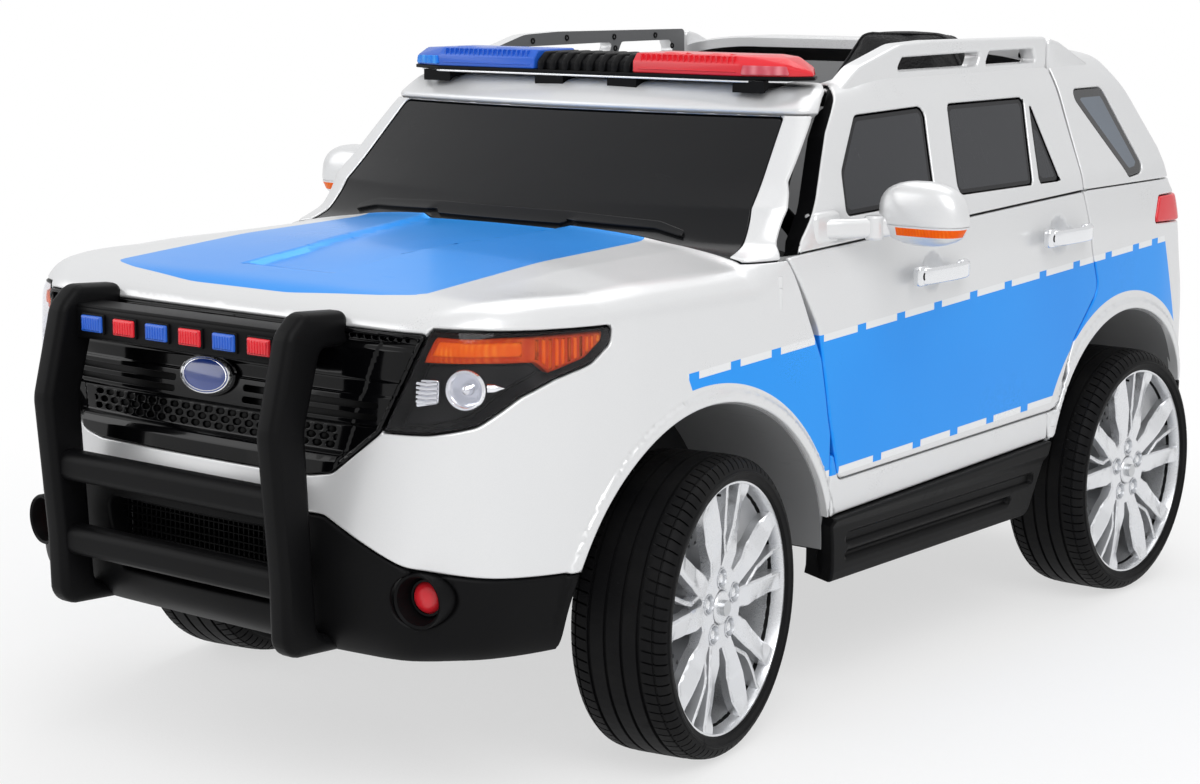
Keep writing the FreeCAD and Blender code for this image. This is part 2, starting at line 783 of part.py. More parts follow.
def windshield_frame():
    """The windscreen pillars with the cross strip above the glass."""
    zone = slab(
        side((
            ("front", 56, 434, 0),
            ("front", 90, 434, 0),
            ("front", 174, 512, 0),
            ("front", 208, HEADER_LOW, 0),
            ("front", 130, HEADER_LOW, 0),
            ("front", 56, 476, 0),
        )), "side", -FAR, FAR)
    thick = OUTER.cut(hull(VALUE["door_wall"]))
    shape = thick.common(zone).cut(FRAME_HOLE).cut(screen_zone())
    solid_node("windshield_frame", shape)


def windshield():
    """The dark windscreen panel."""
    skin = OUTER.cut(hull(VALUE["glass_wall"]))
    above = block(-FAR, FAR, -FAR, FAR, level(SCREEN_LOW), FAR)
    solid_node("windshield", skin.common(screen_zone(-FIT)).common(above))


def header():
    """The roof's front cross member, which carries the light bar."""
    zone = slab(
        side((
            ("front", 150, HEADER_LOW, 0),
            ("front", 258, HEADER_LOW, 0),
            ("front", 272, 560, 0),
            ("front", 272, 640, 0),
            ("front", 150, 640, 0),
        )), "side", -FAR, FAR)
    plan = [(HALF - inset, FRONT + y, 0) for inset, y in HEADER_PLAN]
    solid_node("header", OUTER.common(zone).common(across(plan, "plan")).cut(FRAME_HOLE))


# ---- light bar --------------------------------------------------------------

LIGHTBAR_FRONT = FRONT_TEXT + " + 190"
LIGHTBAR_LOW = "lightbar_level + " + RISE_TEXT
# The feet: middle of each, half width, y range from the front axle, lower end.
FEET = (-196, -46, 46, 196)
FOOT_HALF = 18.0
FOOT_Y = (194, 226)
FOOT_LOW = 540.0
# How far the lenses' edges are chamfered.
LENS_BEVEL = 7.0


def lightbar_base():
    """The base plate on its four feet."""
    plate = doc.addObject("Part::Box", "lightbar_plate")
    bind(plate, Length="lightbar_half + lightbar_half", Width="lightbar_depth", Height="lightbar_base")
    stand(plate, "0 - lightbar_half", LIGHTBAR_FRONT, LIGHTBAR_LOW)
    return node(plate, "lightbar_base")


def lightbar_feet():
    """Feet between the header and the base plate."""
    feet = []
    top = level(VALUE["lightbar_level"])
    for x in FEET:
        foot = block(x - FOOT_HALF, x + FOOT_HALF, FRONT + FOOT_Y[0], FRONT + FOOT_Y[1],
                     level(FOOT_LOW), top)
        feet.append(foot.cut(OUTER))
    solid_node("lightbar_feet", Part.makeCompound([foot.Solids[0] for foot in feet]))


def lens_body(name, label, side_sign):
    """One coloured lens, chamfered along its top and outer end."""
    lens = doc.addObject("Part::Box", name)
    bind(lens, Length="lightbar_half - lightbar_core", Width="lightbar_depth", Height="lightbar_lens")
    start = "lightbar_core" if side_sign > 0 else "0 - lightbar_half"
    stand(lens, start, LIGHTBAR_FRONT, LIGHTBAR_LOW + " + lightbar_base")
    doc.recompute()
    top = lens.Shape.BoundBox.ZMax
    picked = []
    outer_end = side_sign * VALUE["lightbar_half"]
    for index, edge in enumerate(lens.Shape.Edges, start=1):
        box = edge.BoundBox
        on_top = box.ZMin > top - 0.01
        at_core = abs(abs(box.Center.x) - VALUE["lightbar_core"]) < 0.01
        outer_post = abs(box.Center.x - outer_end) < 0.01 and box.ZLength > 1
        if (on_top and not at_core) or outer_post:
            picked.append((index, LENS_BEVEL, LENS_BEVEL))
    bevel = doc.addObject("Part::Chamfer", name + "_bevel")
    bevel.Base = lens
    bevel.Edges = picked
    return node(bevel, label)


def lightbar_core():
    """The ribbed housing between the lenses."""
    core = doc.addObject("Part::Box", "core_block")
    bind(core, Length="lightbar_core + lightbar_core - fit_gap - fit_gap", Width="lightbar_depth - 14",
         Height="lightbar_lens - 3")
    stand(core, "fit_gap - lightbar_core", LIGHTBAR_FRONT + " + 7",
          LIGHTBAR_LOW + " + lightbar_base")
    return node(core, "lightbar_core")


# ---- doors ------------------------------------------------------------------


def both_doors(name, shape):
    """Keep a door piece for the left door and its mirror image for the right."""
    solid_node(name + "_left", shape)
    solid_node(name + "_right", flip(shape))


def door_panel():
    """The lower door, as thick as the whole door."""
    shape = DOOR_SKIN.common(LEFT_HALF).common(slab(side(DOOR), "side", 0, FAR))
    both_doors("door", shape.cut(handle_recess()).fuse(hinge_eye()).removeSplitter())


# Door handles: datum, y and z of the middle.
HANDLES = (("middle", -26, 394), ("rear", -156, 408))
# A handle's half height, how far it stands off, its thickness and the length of its ends.
HANDLE_HALF = 9.0
HANDLE_OFF = 11.0
HANDLE_WALL = 6.0
HANDLE_END = 16.0
# The round dish behind a handle: its ball's radius, and its middle outside the door.
DISH_BALL = 22.0
DISH_OFF = 12.0


def handle_recess():
    """Shallow round dishes in the door skin behind the two handles."""
    dishes = [Part.makeSphere(DISH_BALL, Vector(HALF + DISH_OFF, DATUM[datum] + y, level(z)))
              for datum, y, z in HANDLES]
    return dishes[0].fuse(dishes[1])


def door_handles():
    """Two bar handles on the door, their ends on the door skin."""
    handles = []
    half = VALUE["handle_length"] / 2
    skin = DOOR_SKIN.BoundBox.XMax
    for datum, y, z in HANDLES:
        centre = DATUM[datum] + y
        high = level(z) + HANDLE_HALF
        bar = block(skin - 2, skin + HANDLE_OFF, centre - half, centre + half,
                    high - 2 * HANDLE_HALF, high)
        bar = bar.makeFillet(4, [edge for edge in bar.Edges if edge.BoundBox.XLength > 10])
        near = centre - half + HANDLE_END
        grip = block(skin - 20, skin + HANDLE_OFF - HANDLE_WALL, near, 2 * centre - near,
                     high - 4 * HANDLE_HALF, high + HANDLE_HALF)
        handles.append(bar.cut(grip).cut(OUTER))
    solids = [max(handle.Solids, key=lambda one: one.Volume) for handle in handles]
    both_doors("door_handles", Part.makeCompound(solids))


def door_frame():
    """The window frame above the belt line, with the roof rail on top."""
    shape = DOOR_SKIN.common(slab(side(DOOR_FRAME), "side", HALF - 90, FAR))
    for window in (FRONT_WINDOW, REAR_WINDOW, CORNER_WINDOW):
        shape = shape.cut(slab(side(window), "side", 0, FAR))
    both_doors("door_frame", shape.fuse(roof_rail()).removeSplitter())


# The roof rail from the side, and its openings: datum, y, z, radius.
RAIL = (
    ("front", 262, 566, 0),
    ("front", 300, 590, 40),
    ("front", 372, 609, 60),
    ("front", 430, 611, 0),
    ("rear", -100, 609, 4),
    ("rear", -100, 574, 0),
)
RAIL_OPENINGS = (
    (("middle", -14, 583, 3), ("middle", -3, 596, 3), ("middle", 146, 597, 3),
     ("middle", 138, 583, 3)),
    (("middle", 154, 583, 3), ("middle", 162, 597, 3), ("rear", -128, 597, 3),
     ("rear", -121, 583, 3)),
)
# The shoulder behind the rail, on the rear roof.
RAIL_SHOULDER = (
    ("rear", -96, 572, 0),
    ("rear", -96, 608, 4),
    ("rear", -72, 603, 20),
    ("rear", -10, 578, 0),
    ("rear", -10, 560, 0),
)
# The rail's outer face, in from the widest point of the doors, and its thickness.
RAIL_INSET = 62.0
RAIL_WALL = 20.0


def roof_rail():
    """A rail with two openings, standing on the door frame."""
    outside = HALF - RAIL_INSET
    rail = slab(side(RAIL), "side", outside - RAIL_WALL, outside)
    for opening in RAIL_OPENINGS:
        rail = rail.cut(slab(side(opening), "side", 0, FAR))
    return rail


def door_glass():
    """The window panels of a door."""
    skin = OUTER.cut(hull(VALUE["glass_wall"])).common(LEFT_HALF)
    panes = []
    for window in (FRONT_WINDOW, REAR_WINDOW, CORNER_WINDOW):
        panes += skin.common(slab(side(window), "side", 0, FAR, -FIT)).Solids
    both_doors("door_glass", Part.makeCompound(panes))


# The mirror housing: x out from the doors' widest point, y from the front axle, z.
MIRROR_X = (11.0, 94.0)
MIRROR_Y = (218.0, 262.0)
MIRROR_Z = (433.0, 492.0)
MIRROR_ROUND = 15.0
# The mirror's arm: its two ends, measured the same way, and its radius.
ARM_ENDS = ((-25.0, 176.0, 448.0), (19.0, 236.0, 446.0))
ARM_RADIUS = 8.0


def mirror():
    """A rounded housing on an arm from the front corner of the window frame."""
    housing = block(HALF + MIRROR_X[0], HALF + MIRROR_X[1], FRONT + MIRROR_Y[0],
                    FRONT + MIRROR_Y[1], level(MIRROR_Z[0]), level(MIRROR_Z[1]))
    long_edges = [edge for edge in housing.Edges if edge.BoundBox.YLength > 20]
    housing = housing.makeFillet(MIRROR_ROUND, long_edges)
    start, end = [Vector(HALF + x, FRONT + y, level(z)) for x, y, z in ARM_ENDS]
    shape = housing.fuse(rod(ARM_RADIUS, start, end)).cut(OUTER)
    largest = max(shape.Solids, key=lambda one: one.Volume)
    both_doors("mirror", largest.removeSplitter())


# ---- chassis and cabin ------------------------------------------------------


FLOOR_TOP = level(VALUE["floor_height"])
FLOOR_LOW = FLOOR_TOP - VALUE["floor_wall"]
BENCH_TOP = level(VALUE["bench_height"])
# Underside of the dashboard, and the gap from a wheel opening to the floor's end.
DASH_LOW = 330.0
FLOOR_END = 8.0
# The seat bench: half its width, and its front ahead of the middle of the wheelbase.
BENCH_HALF = HALF - 49
BENCH_LEAD = 24.0
# A rear axle hanger: its two faces in from the wheel well's wall, and its half width.
HANGER_IN = (42.0, 20.0)
HANGER_HALF = 20.0
HANGER_DROP = 18.0


def well_wall(sign, end):
    """The inner wall of a wheel well, as high as its liner."""
    radius, datum, centre = arch_circle(end)
    wall = VALUE["liner_wall"]
    inner, outer = sorted((sign * (WELL_HALF - wall), sign * WELL_HALF))
    disc = Part.makeCylinder(radius + wall - 1, outer - inner, Vector(inner, datum, centre), X_AXIS)
    disc = disc.common(hull(2 * VALUE["body_wall"]))
    return disc.common(block(-FAR, FAR, -FAR, FAR, FLOOR_TOP, FAR))


def axle_hanger(sign):
    """A bearing block under the floor that holds the rear axle."""
    x0, x1 = sorted(sign * (WELL_HALF - depth) for depth in HANGER_IN)
    hanger = block(x0, x1, REAR - HANGER_HALF, REAR + HANGER_HALF, AXLE - HANGER_DROP, FLOOR_LOW)
    bore = rod(VALUE["axle_radius"] + VALUE["pin_gap"], Vector(x0, REAR, AXLE), Vector(x1, REAR, AXLE))
    return hanger.cut(bore)


def bench_box():
    """The hollow bench under the seat, closed at the front and open below."""
    wall = VALUE["bench_wall"]
    near = MIDDLE - BENCH_LEAD
    far = REAR - VALUE["arch_rear"] - FLOOR_END
    bench = block(-BENCH_HALF, BENCH_HALF, near, far, FLOOR_TOP, BENCH_TOP)
    return bench.cut(block(wall - BENCH_HALF, BENCH_HALF - wall, near + wall, far - wall,
                           FLOOR_TOP, BENCH_TOP - wall))


def chassis_tub():
    """Floor, wheel well walls, firewall and seat bench in one dark moulding."""
    near = FRONT + VALUE["arch_front"] + FLOOR_END
    far = REAR - VALUE["arch_rear"] - FLOOR_END
    pieces = [
        block(-WELL_HALF, WELL_HALF, FRONT - NOSE_DEPTH, REAR + TAIL_DEPTH, FLOOR_LOW, FLOOR_TOP),
        block(-INSIDE_HALF, INSIDE_HALF, near, far, FLOOR_LOW, FLOOR_TOP),
        block(-WELL_HALF, WELL_HALF, near - FLOOR_END, near, FLOOR_TOP, level(DASH_LOW)),
        bench_box(),
    ]
    for sign in (-1, 1):
        pieces.append(well_wall(sign, "front"))
        pieces.append(well_wall(sign, "rear"))
        pieces.append(axle_hanger(sign))
    shape = pieces[0]
    for piece in pieces[1:]:
        shape = shape.fuse(piece)
    solid_node("chassis_tub", shape.cut(column_hole()).removeSplitter())


def wheel_liners(label, end, neighbours):
    """Round liners over a pair of wheels, from the well wall to the body side."""
    radius, datum, centre = arch_circle(end)
    wall = VALUE["liner_wall"]
    start = Vector(WELL_HALF, datum, centre)
    ring = Part.makeCylinder(radius + wall - 1, HALF, start, X_AXIS)
    ring = ring.cut(Part.makeCylinder(radius - 1, HALF, start, X_AXIS))
    above = block(0, FAR, -FAR, FAR, centre + 24, FAR)
    liner = ring.common(above).common(hull(VALUE["body_wall"]))
    liner = liner.cut(slab(side(DOOR), "side", 0, FAR, SEAM + 2))
    for neighbour in neighbours:
        liner = liner.cut(neighbour.Shape)
    largest = max(liner.Solids, key=lambda one: one.Volume)
    solid_node(label, pair(largest))


# The top of the bulkhead: y from the rear axle, z, and its thickness.
BULKHEAD_HEAD = (-90.0, 590.0)
BULKHEAD_WALL = 8.0


def rear_bulkhead():
    """The sloping wall between the cabin and the closed tail."""
    foot = REAR - VALUE["arch_rear"] - FLOOR_END
    head = REAR + BULKHEAD_HEAD[0]
    high = level(BULKHEAD_HEAD[1])
    rows = [(foot - BULKHEAD_WALL, BENCH_TOP, 0), (foot, BENCH_TOP, 0),
            (head + BULKHEAD_WALL, high, 0), (head, high, 0)]
    wall = slab(rows, "side", -FAR, FAR)
    solid_node("rear_bulkhead", wall.common(hull(VALUE["door_wall"] + 5)))


def dashboard():
    """The dashboard behind the windscreen, open for the steering column."""
    rows = side((
        ("front", 110, DASH_LOW, 0),
        ("front", 208, DASH_LOW, 6),
        ("front", 188, 380, 12),
        ("front", 176, 408, 14),
        ("front", 110, 424, 0),
    ))
    half = HALF - 53
    shape = slab(rows, "side", -half, half).common(hull(VALUE["door_wall"] + 4))
    solid_node("dashboard", shape.cut(column_hole()))


# The middle of the steering wheel: y from the front axle, height.
STEERING_Y = 262.0
STEERING_Z = 416.0


def column_line():
    """Where the steering column starts, and its direction down and forwards."""
    rake = math.radians(VALUE["column_rake"])
    start = Vector(VALUE["seat_side"], FRONT + STEERING_Y, level(STEERING_Z))
    return start, Vector(0, -math.sin(rake), -math.cos(rake))


def column_hole():
    """The hole in the dashboard that the column passes through."""
    start, way = column_line()
    return Part.makeCylinder(VALUE["column_radius"] + 0.5, 400, start, way)


def steering_wheel():
    """Steering wheel with three spokes, on its column."""
    parts = []
    grip = doc.addObject("Part::Torus", "steering_grip")
    bind(grip, Radius1="steering_radius", Radius2="steering_grip")
    parts.append(grip)
    boss = doc.addObject("Part::Cylinder", "steering_boss")
    bind(boss, Radius="steering_radius/3", Height="steering_grip + steering_grip")
    stand(boss, up="0 - steering_grip")
    parts.append(boss)
    for index, turn in enumerate((0, 90, 180)):
        spoke = doc.addObject("Part::Box", "steering_spoke_%d" % index)
        bind(spoke, Length="steering_radius", Width="steering_grip + steering_grip",
             Height="steering_grip")
        spoke.Placement = FreeCAD.Placement(Vector(), FreeCAD.Rotation(Z_AXIS, turn))
        angle = math.radians(turn)
        across_text = "steering_grip" if turn == 90 else "0"
        along_text = {0: "0 - steering_grip", 90: "0", 180: "steering_grip"}[turn]
        stand(spoke, across_text, along_text, "0 - steering_grip/2")
        parts.append(spoke)
    column = doc.addObject("Part::Cylinder", "steering_column")
    bind(column, Radius="column_radius", Height="column_length")
    stand(column, up="0 - column_length")
    parts.append(column)
    whole = doc.addObject("Part::MultiFuse", "steering_whole")
    whole.Shapes = parts
    start, way = column_line()
    turned = FreeCAD.Rotation(Z_AXIS, VALUE["steer_rest"] * VALUE["steer_ratio"])
    whole.Placement = FreeCAD.Placement(start, FreeCAD.Rotation(Z_AXIS, -1 * way) * turned)
    return node(whole, "steering_wheel")


# The seat back from the front: x from its middle, z, radius. Then its front face behind
# the middle of the wheelbase, its lean in degrees, and the lift that the lean needs.
BACK_SHOULDER = 574.0
BACK_TOP = 619.0
BACK_TAPER = 36.0
BACK_FRONT = 140.0
BACK_LEAN = 6.0
BACK_LIFT = 5.0


def seat():
    """Soft seat cushion and back, plain solids on the bench."""
    cushion = doc.addObject("Part::Box", "cushion_block")
    bind(cushion, Length="seat_width", Width="cushion_depth", Height="cushion_height")
    stand(cushion, "seat_side - seat_width/2", MIDDLE_TEXT + " - seat_front",
          "bench_height + seat_gap + " + RISE_TEXT)
    node(cushion, "seat_cushion")
    middle = VALUE["seat_side"]
    base = BENCH_TOP + VALUE["seat_gap"]
    half = VALUE["seat_width"] / 2
    top = level(BACK_TOP) - BACK_LIFT
    shoulder = level(BACK_SHOULDER) - BACK_LIFT
    rows = [(middle + half, base, 0), (middle + half, shoulder, 18),
            (middle + half - BACK_TAPER, top, 14), (middle - half + BACK_TAPER, top, 14),
            (middle - half, shoulder, 18), (middle - half, base, 0)]
    back = slab(rows, "front", MIDDLE + BACK_FRONT, MIDDLE + BACK_FRONT + VALUE["back_wall"])
    back.rotate(Vector(middle, MIDDLE + BACK_FRONT, base), X_AXIS, -BACK_LEAN)
    back.translate(Z_AXIS * BACK_LIFT)
    solid_node("seat_back", back)


def front_axle():
    """The front beam with forked ends that hold the kingpins."""
    half = VALUE["kingpin_half"]
    beam = VALUE["beam_section"] / 2
    radius = VALUE["knuckle_radius"]
    inner = half - radius - 3
    high = VALUE["knuckle_half"] + VALUE["pin_gap"]
    lug = VALUE["lug_wall"]
    shape = block(-inner, inner, FRONT - beam, FRONT + beam, AXLE - beam, AXLE + beam)
    for sign in (-1, 1):
        x0, x1 = sorted((sign * (inner - 8), sign * inner))
        shape = shape.fuse(block(x0, x1, FRONT - beam, FRONT + beam, AXLE - high - lug,
                                 AXLE + high + lug))
        x0, x1 = sorted((sign * (inner - 8), sign * half))
        for low in (AXLE - high - lug, AXLE + high):
            arm = block(x0, x1, FRONT - beam, FRONT + beam, low, low + lug)
            end = Part.makeCylinder(beam, lug, Vector(sign * half, FRONT, low))
            shape = shape.fuse(arm).fuse(end)
        pin = Part.makeCylinder(VALUE["kingpin_radius"], 2 * (high + lug),
                                Vector(sign * half, FRONT, AXLE - high - lug))
        shape = shape.fuse(pin)
    solid_node("front_axle", shape.removeSplitter())


def knuckle(sign, label):
    """Barrel on the kingpin, stub axle for the wheel and arm to the tie rod."""
    half = VALUE["kingpin_half"]
    centre = Vector(sign * half, FRONT, AXLE)
    tall = VALUE["knuckle_half"]
    barrel = Part.makeCylinder(VALUE["knuckle_radius"], 2 * tall, centre - Z_AXIS * tall)
    stub_end = VALUE["wheel_face"] - VALUE["rim_inset"] - 2
    stub = rod(VALUE["axle_radius"], centre, Vector(sign * stub_end, FRONT, AXLE))
    bore = Part.makeCylinder(VALUE["kingpin_radius"] + VALUE["pin_gap"], 2 * tall, centre - Z_AXIS * tall)
    wide = VALUE["arm_width"] / 2
    arm = block(sign * half - wide, sign * half + wide, FRONT, FRONT + VALUE["arm_length"],
                AXLE - tall, AXLE - tall + VALUE["arm_wall"])
    eye = Part.makeCylinder(wide, VALUE["arm_wall"],
                            Vector(sign * half, FRONT + VALUE["arm_length"], AXLE - tall))
    eye_bore = Part.makeCylinder(VALUE["tie_pin_radius"] + VALUE["pin_gap"], 3 * VALUE["arm_wall"],
                                 Vector(sign * half, FRONT + VALUE["arm_length"], AXLE - tall - 8))
    shape = barrel.fuse(stub).fuse(arm).fuse(eye).cut(bore).cut(eye_bore)
    shape.rotate(centre, Z_AXIS, VALUE["steer_rest"])
    solid_node(label, shape.removeSplitter())


def tie_rod():
    """The rod between the steering arms, with an upright pin at each end."""
    turn = math.radians(VALUE["steer_rest"])
    shift = Vector(-math.sin(turn), math.cos(turn), 0) * VALUE["arm_length"]
    level = AXLE - VALUE["knuckle_half"] - VALUE["tie_radius"] - 1
    ends = [Vector(sign * VALUE["kingpin_half"], FRONT, level) + shift for sign in (-1, 1)]
    shape = rod(VALUE["tie_radius"], *ends)
    for end in ends:
        tall = VALUE["arm_wall"] + VALUE["tie_radius"] + 3
        shape = shape.fuse(Part.makeCylinder(VALUE["tie_pin_radius"], tall, end))
        shape = shape.fuse(Part.makeSphere(VALUE["tie_radius"], end))
    solid_node("tie_rod", shape.removeSplitter())


def rear_axle():
    """The steel rod that the rear wheels turn on."""
    axle = doc.addObject("Part::Cylinder", "rear_rod")
    bind(axle, Radius="axle_radius", Height="wheel_face + wheel_face - rim_inset - rim_inset - 4")
    axle.Placement = FreeCAD.Placement(Vector(), FreeCAD.Rotation(Y_AXIS, 90))
    stand(axle, "rim_inset - wheel_face + 2", REAR_TEXT, "wheel_radius")
    return node(axle, "rear_axle")


def motor_gearboxes():
    """The two drive units, each on the rear axle beside its wheel."""
    boxes = []
    outer = "wheel_face - tyre_width - wheel_clear"
    for sign, name in ((1, "left"), (-1, "right")):
        box = doc.addObject("Part::Box", "gearbox_" + name)
        bind(box, Length="gearbox_width", Width="gearbox_length", Height="gearbox_height")
        start = outer + " - gearbox_width" if sign > 0 else "tyre_width + wheel_clear - wheel_face"
        stand(box, start, REAR_TEXT + " - gearbox_length/2 - 20", "wheel_radius - gearbox_height/2")
        boxes.append(box)
    both = doc.addObject("Part::Compound", "gearbox_pair")
    both.Links = boxes
    bore = doc.addObject("Part::Cylinder", "gearbox_bore")
    bind(bore, Radius="axle_radius + pin_gap", Height="wheel_face + wheel_face")
    bore.Placement = FreeCAD.Placement(Vector(), FreeCAD.Rotation(Y_AXIS, 90))
    stand(bore, "0 - wheel_face", REAR_TEXT, "wheel_radius")
    cut = doc.addObject("Part::Cut", "gearbox_cut")
    cut.Base = both
    cut.Tool = bore
    return node(cut, "motor_gearboxes")


def battery():
    """The battery, a plain block under the seat bench."""
    box = doc.addObject("Part::Box", "battery_block")
    bind(box, Length="battery_length", Width="battery_depth", Height="battery_height")
    stand(box, "0 - battery_length/2", MIDDLE_TEXT + " + 60", "floor_height + " + RISE_TEXT)
    return node(box, "battery")


# ---- wheels -----------------------------------------------------------------


def turned_body(name, corners):
    """A body turned about the axle from a profile of (along, out) lines."""
    body = doc.addObject("PartDesign::Body", name)
    sketch = body.newObject("Sketcher::SketchObject", name + "_profile")
    origin = [item for item in body.Origin.OriginFeatures if item.Role == "XY_Plane"][0]
    sketch.AttachmentSupport = [(origin, "")]
    sketch.MapMode = "FlatFace"
    points = [Vector(amount_of(a), amount_of(b), 0) for a, b in corners]
    for index, start in enumerate(points):
        sketch.addGeometry(Part.LineSegment(start, points[(index + 1) % len(points)]), False)
    sketch_constraints(sketch, corners)
    turned = body.newObject("PartDesign::Revolution", name + "_turned")
    turned.Profile = sketch
    turned.ReferenceAxis = (sketch, ["H_Axis"])
    turned.Angle = 360
    doc.recompute()
    return body


def sketch_constraints(sketch, corners):
    """Join the lines end to end and bind each corner to the sheet."""
    count = len(corners)
    for index, (a, b) in enumerate(corners):
        sketch.addConstraint(Sketcher.Constraint("Coincident", index, 2, (index + 1) % count, 1))
        for kind, text in (("DistanceX", a), ("DistanceY", b)):
            place = sketch.addConstraint(Sketcher.Constraint(kind, -1, 1, index, 1, amount_of(text)))
            sketch.setExpression("Constraints[%d]" % place, formula(text))


def wheel(label, sign, datum_text, steered):
    """A tyre and its rim, placed on the axle's end."""
    half = "tyre_width/2"
    tyre = turned_body("tyre_" + label, (
        ("0 - " + half, "rim_radius"),
        (half, "rim_radius"),
        (half, "wheel_radius - tyre_shoulder"),
        (half + " - tyre_shoulder", "wheel_radius"),
        ("tyre_shoulder - " + half, "wheel_radius"),
        ("0 - " + half, "wheel_radius - tyre_shoulder"),
    ))
    face = half + " - rim_inset"
    rim = turned_body("rim_" + label, (
        ("rim_inset - " + half, "rim_radius - rim_wall"),
        ("rim_inset - " + half, "rim_radius"),
        (face, "rim_radius"),
        (face, "axle_radius + pin_gap"),
        (face + " - hub_depth", "axle_radius + pin_gap"),
        (face + " - hub_depth", "hub_radius"),
        (face + " - rim_depth", "hub_radius"),
        (face + " - rim_depth", "rim_radius - rim_wall"),
    ))
    rim_windows(rim, label)
    for item, name in ((tyre, "tyre_" + label), (rim, "rim_" + label)):
        place_wheel(item, sign, datum_text, steered)
        node(item, name)


def rim_windows(body, label):
    """Cut one window between spokes and repeat it round the rim."""
    sketch = body.newObject("Sketcher::SketchObject", "window_" + label)
    origin = [item for item in body.Origin.OriginFeatures if item.Role == "YZ_Plane"][0]
    sketch.AttachmentSupport = [(origin, "")]
    sketch.MapMode = "FlatFace"
    inner = VALUE["hub_radius"] + 8
    outer = VALUE["rim_radius"] - VALUE["rim_wall"] - 3
    angle = math.radians(VALUE["spoke_half_angle"])
    swing = outer * math.sin(angle)
    reach = outer * math.cos(angle)
    corners = [Vector(0, inner, 0), Vector(-swing, reach, 0), Vector(swing, reach, 0)]
    for index, start in enumerate(corners):
        sketch.addGeometry(Part.LineSegment(start, corners[(index + 1) % 3]), False)
    for index in range(3):
        sketch.addConstraint(Sketcher.Constraint("Coincident", index, 2, (index + 1) % 3, 1))
    edge = "(sizes.rim_radius - sizes.rim_wall - 3)"
    swing_text = edge + " * sin(sizes.spoke_half_angle * 1 deg)"
    reach_text = edge + " * cos(sizes.spoke_half_angle * 1 deg)"
    bindings = (
        (0, "DistanceX", 0.0, None),
        (0, "DistanceY", inner, "sizes.hub_radius + 8"),
        (1, "DistanceX", -swing, "-" + swing_text),
        (1, "DistanceY", reach, reach_text),
        (2, "DistanceX", swing, swing_text),
        (2, "DistanceY", reach, reach_text),
    )
    for line, kind, start, text in bindings:
        place = sketch.addConstraint(Sketcher.Constraint(kind, -1, 1, line, 1, start))
        if text is not None:
            sketch.setExpression("Constraints[%d]" % place, text)
    pocket = body.newObject("PartDesign::Pocket", "pocket_" + label)
    pocket.Profile = sketch
    pocket.Type = 1
    pocket.Midplane = True
    doc.recompute()
    pattern = body.newObject("PartDesign::PolarPattern", "windows_" + label)
    pattern.Originals = [pocket]
    axis = [item for item in body.Origin.OriginFeatures if item.Role == "X_Axis"][0]
    pattern.Axis = (axis, [""])
    pattern.Angle = 360
    pattern.setExpression("Occurrences", "sizes.spoke_count")
    body.Tip = pattern
    doc.recompute()


def place_wheel(body, sign, datum_text, steered):
    """Set a wheel on its axle's end, turned with its knuckle when it steers."""
    turn = VALUE["steer_rest"] if steered else 0.0
    facing = 0 if sign > 0 else 180
    body.Placement = FreeCAD.Placement(Vector(), FreeCAD.Rotation(Z_AXIS, turn + facing))
    minus = "" if sign > 0 else "-1 * "
    stub = "(sizes.wheel_face - sizes.tyre_width/2 - sizes.kingpin_half)"
    angle = "sizes.steer_rest * 1 deg" if steered else "0 deg"
    lines = {
        "Placement.Base.x": "%s(sizes.kingpin_half + %s * cos(%s))" % (minus, stub, angle),
        "Placement.Base.y": "%s + %s%s * sin(%s)" % (formula(datum_text), minus, stub, angle),
        "Placement.Base.z": "sizes.wheel_radius",
    }
    for field, text in lines.items():
        body.setExpression(field, text)


WHEELS = (
    ("front_left", 1, FRONT_TEXT, True),
    ("front_right", -1, FRONT_TEXT, True),
    ("rear_left", 1, REAR_TEXT, False),
    ("rear_right", -1, REAR_TEXT, False),
)


def build():
    """Make every sub-part."""
    front_body()
    front_bumper = lower_bumper()
    fog_lamps()
    grille()
    badge_plate()
    headlamps()
    push_bar()
    push_bar_lamps()
    rocker_panels()
    skirts = side_skirts()
    rear_body()
    tail_lamps()
    back_bumper = rear_bumper()
    rear_upper()
    quarter_glass()
    tailgate_glass()
    windshield_frame()
    windshield()
    header()
    lightbar_base()
    lightbar_feet()
    lens_body("lens_left", "lightbar_lens_red", 1)
    lens_body("lens_right", "lightbar_lens_blue", -1)
    lightbar_core()
    door_panel()
    door_handles()
    door_frame()
    door_glass()
    mirror()
    chassis_tub()
    wheel_liners("front_wheel_liners", "front", (front_bumper, skirts))
    wheel_liners("rear_wheel_liners", "rear", (back_bumper, skirts))
    rear_bulkhead()
    dashboard()
    steering_wheel()
    seat()
    front_axle()
    knuckle(1, "knuckle_left")
    knuckle(-1, "knuckle_right")
    tie_rod()
    rear_axle()
    motor_gearboxes()
    battery()
    for row in WHEELS:
        wheel(*row)


def save():
    """Check every object, then write one file for each sub-part."""
    doc.recompute()
    faults = [item.Name for item in doc.Objects if {"Invalid", "Error"} & set(item.State)]
    for item in NODES:
        if item.Shape.isNull() or not item.Shape.isValid() or not item.Shape.Solids:
            faults.append(item.Label)
    if faults:
        raise RuntimeError("faulty objects: " + ", ".join(faults))
    os.makedirs("parts", exist_ok=True)
    for item in NODES:
        item.Shape.exportStep(os.path.join("parts", item.Label + ".step"))
        box = item.Shape.BoundBox
        print("%-22s %2d solids %9.0f mm3  x %6.1f %6.1f  y %6.1f %6.1f  z %6.1f %6.1f" % (
            item.Label, len(item.Shape.Solids), item.Shape.Volume, box.XMin, box.XMax,
            box.YMin, box.YMax, box.ZMin, box.ZMax))


build()
save()
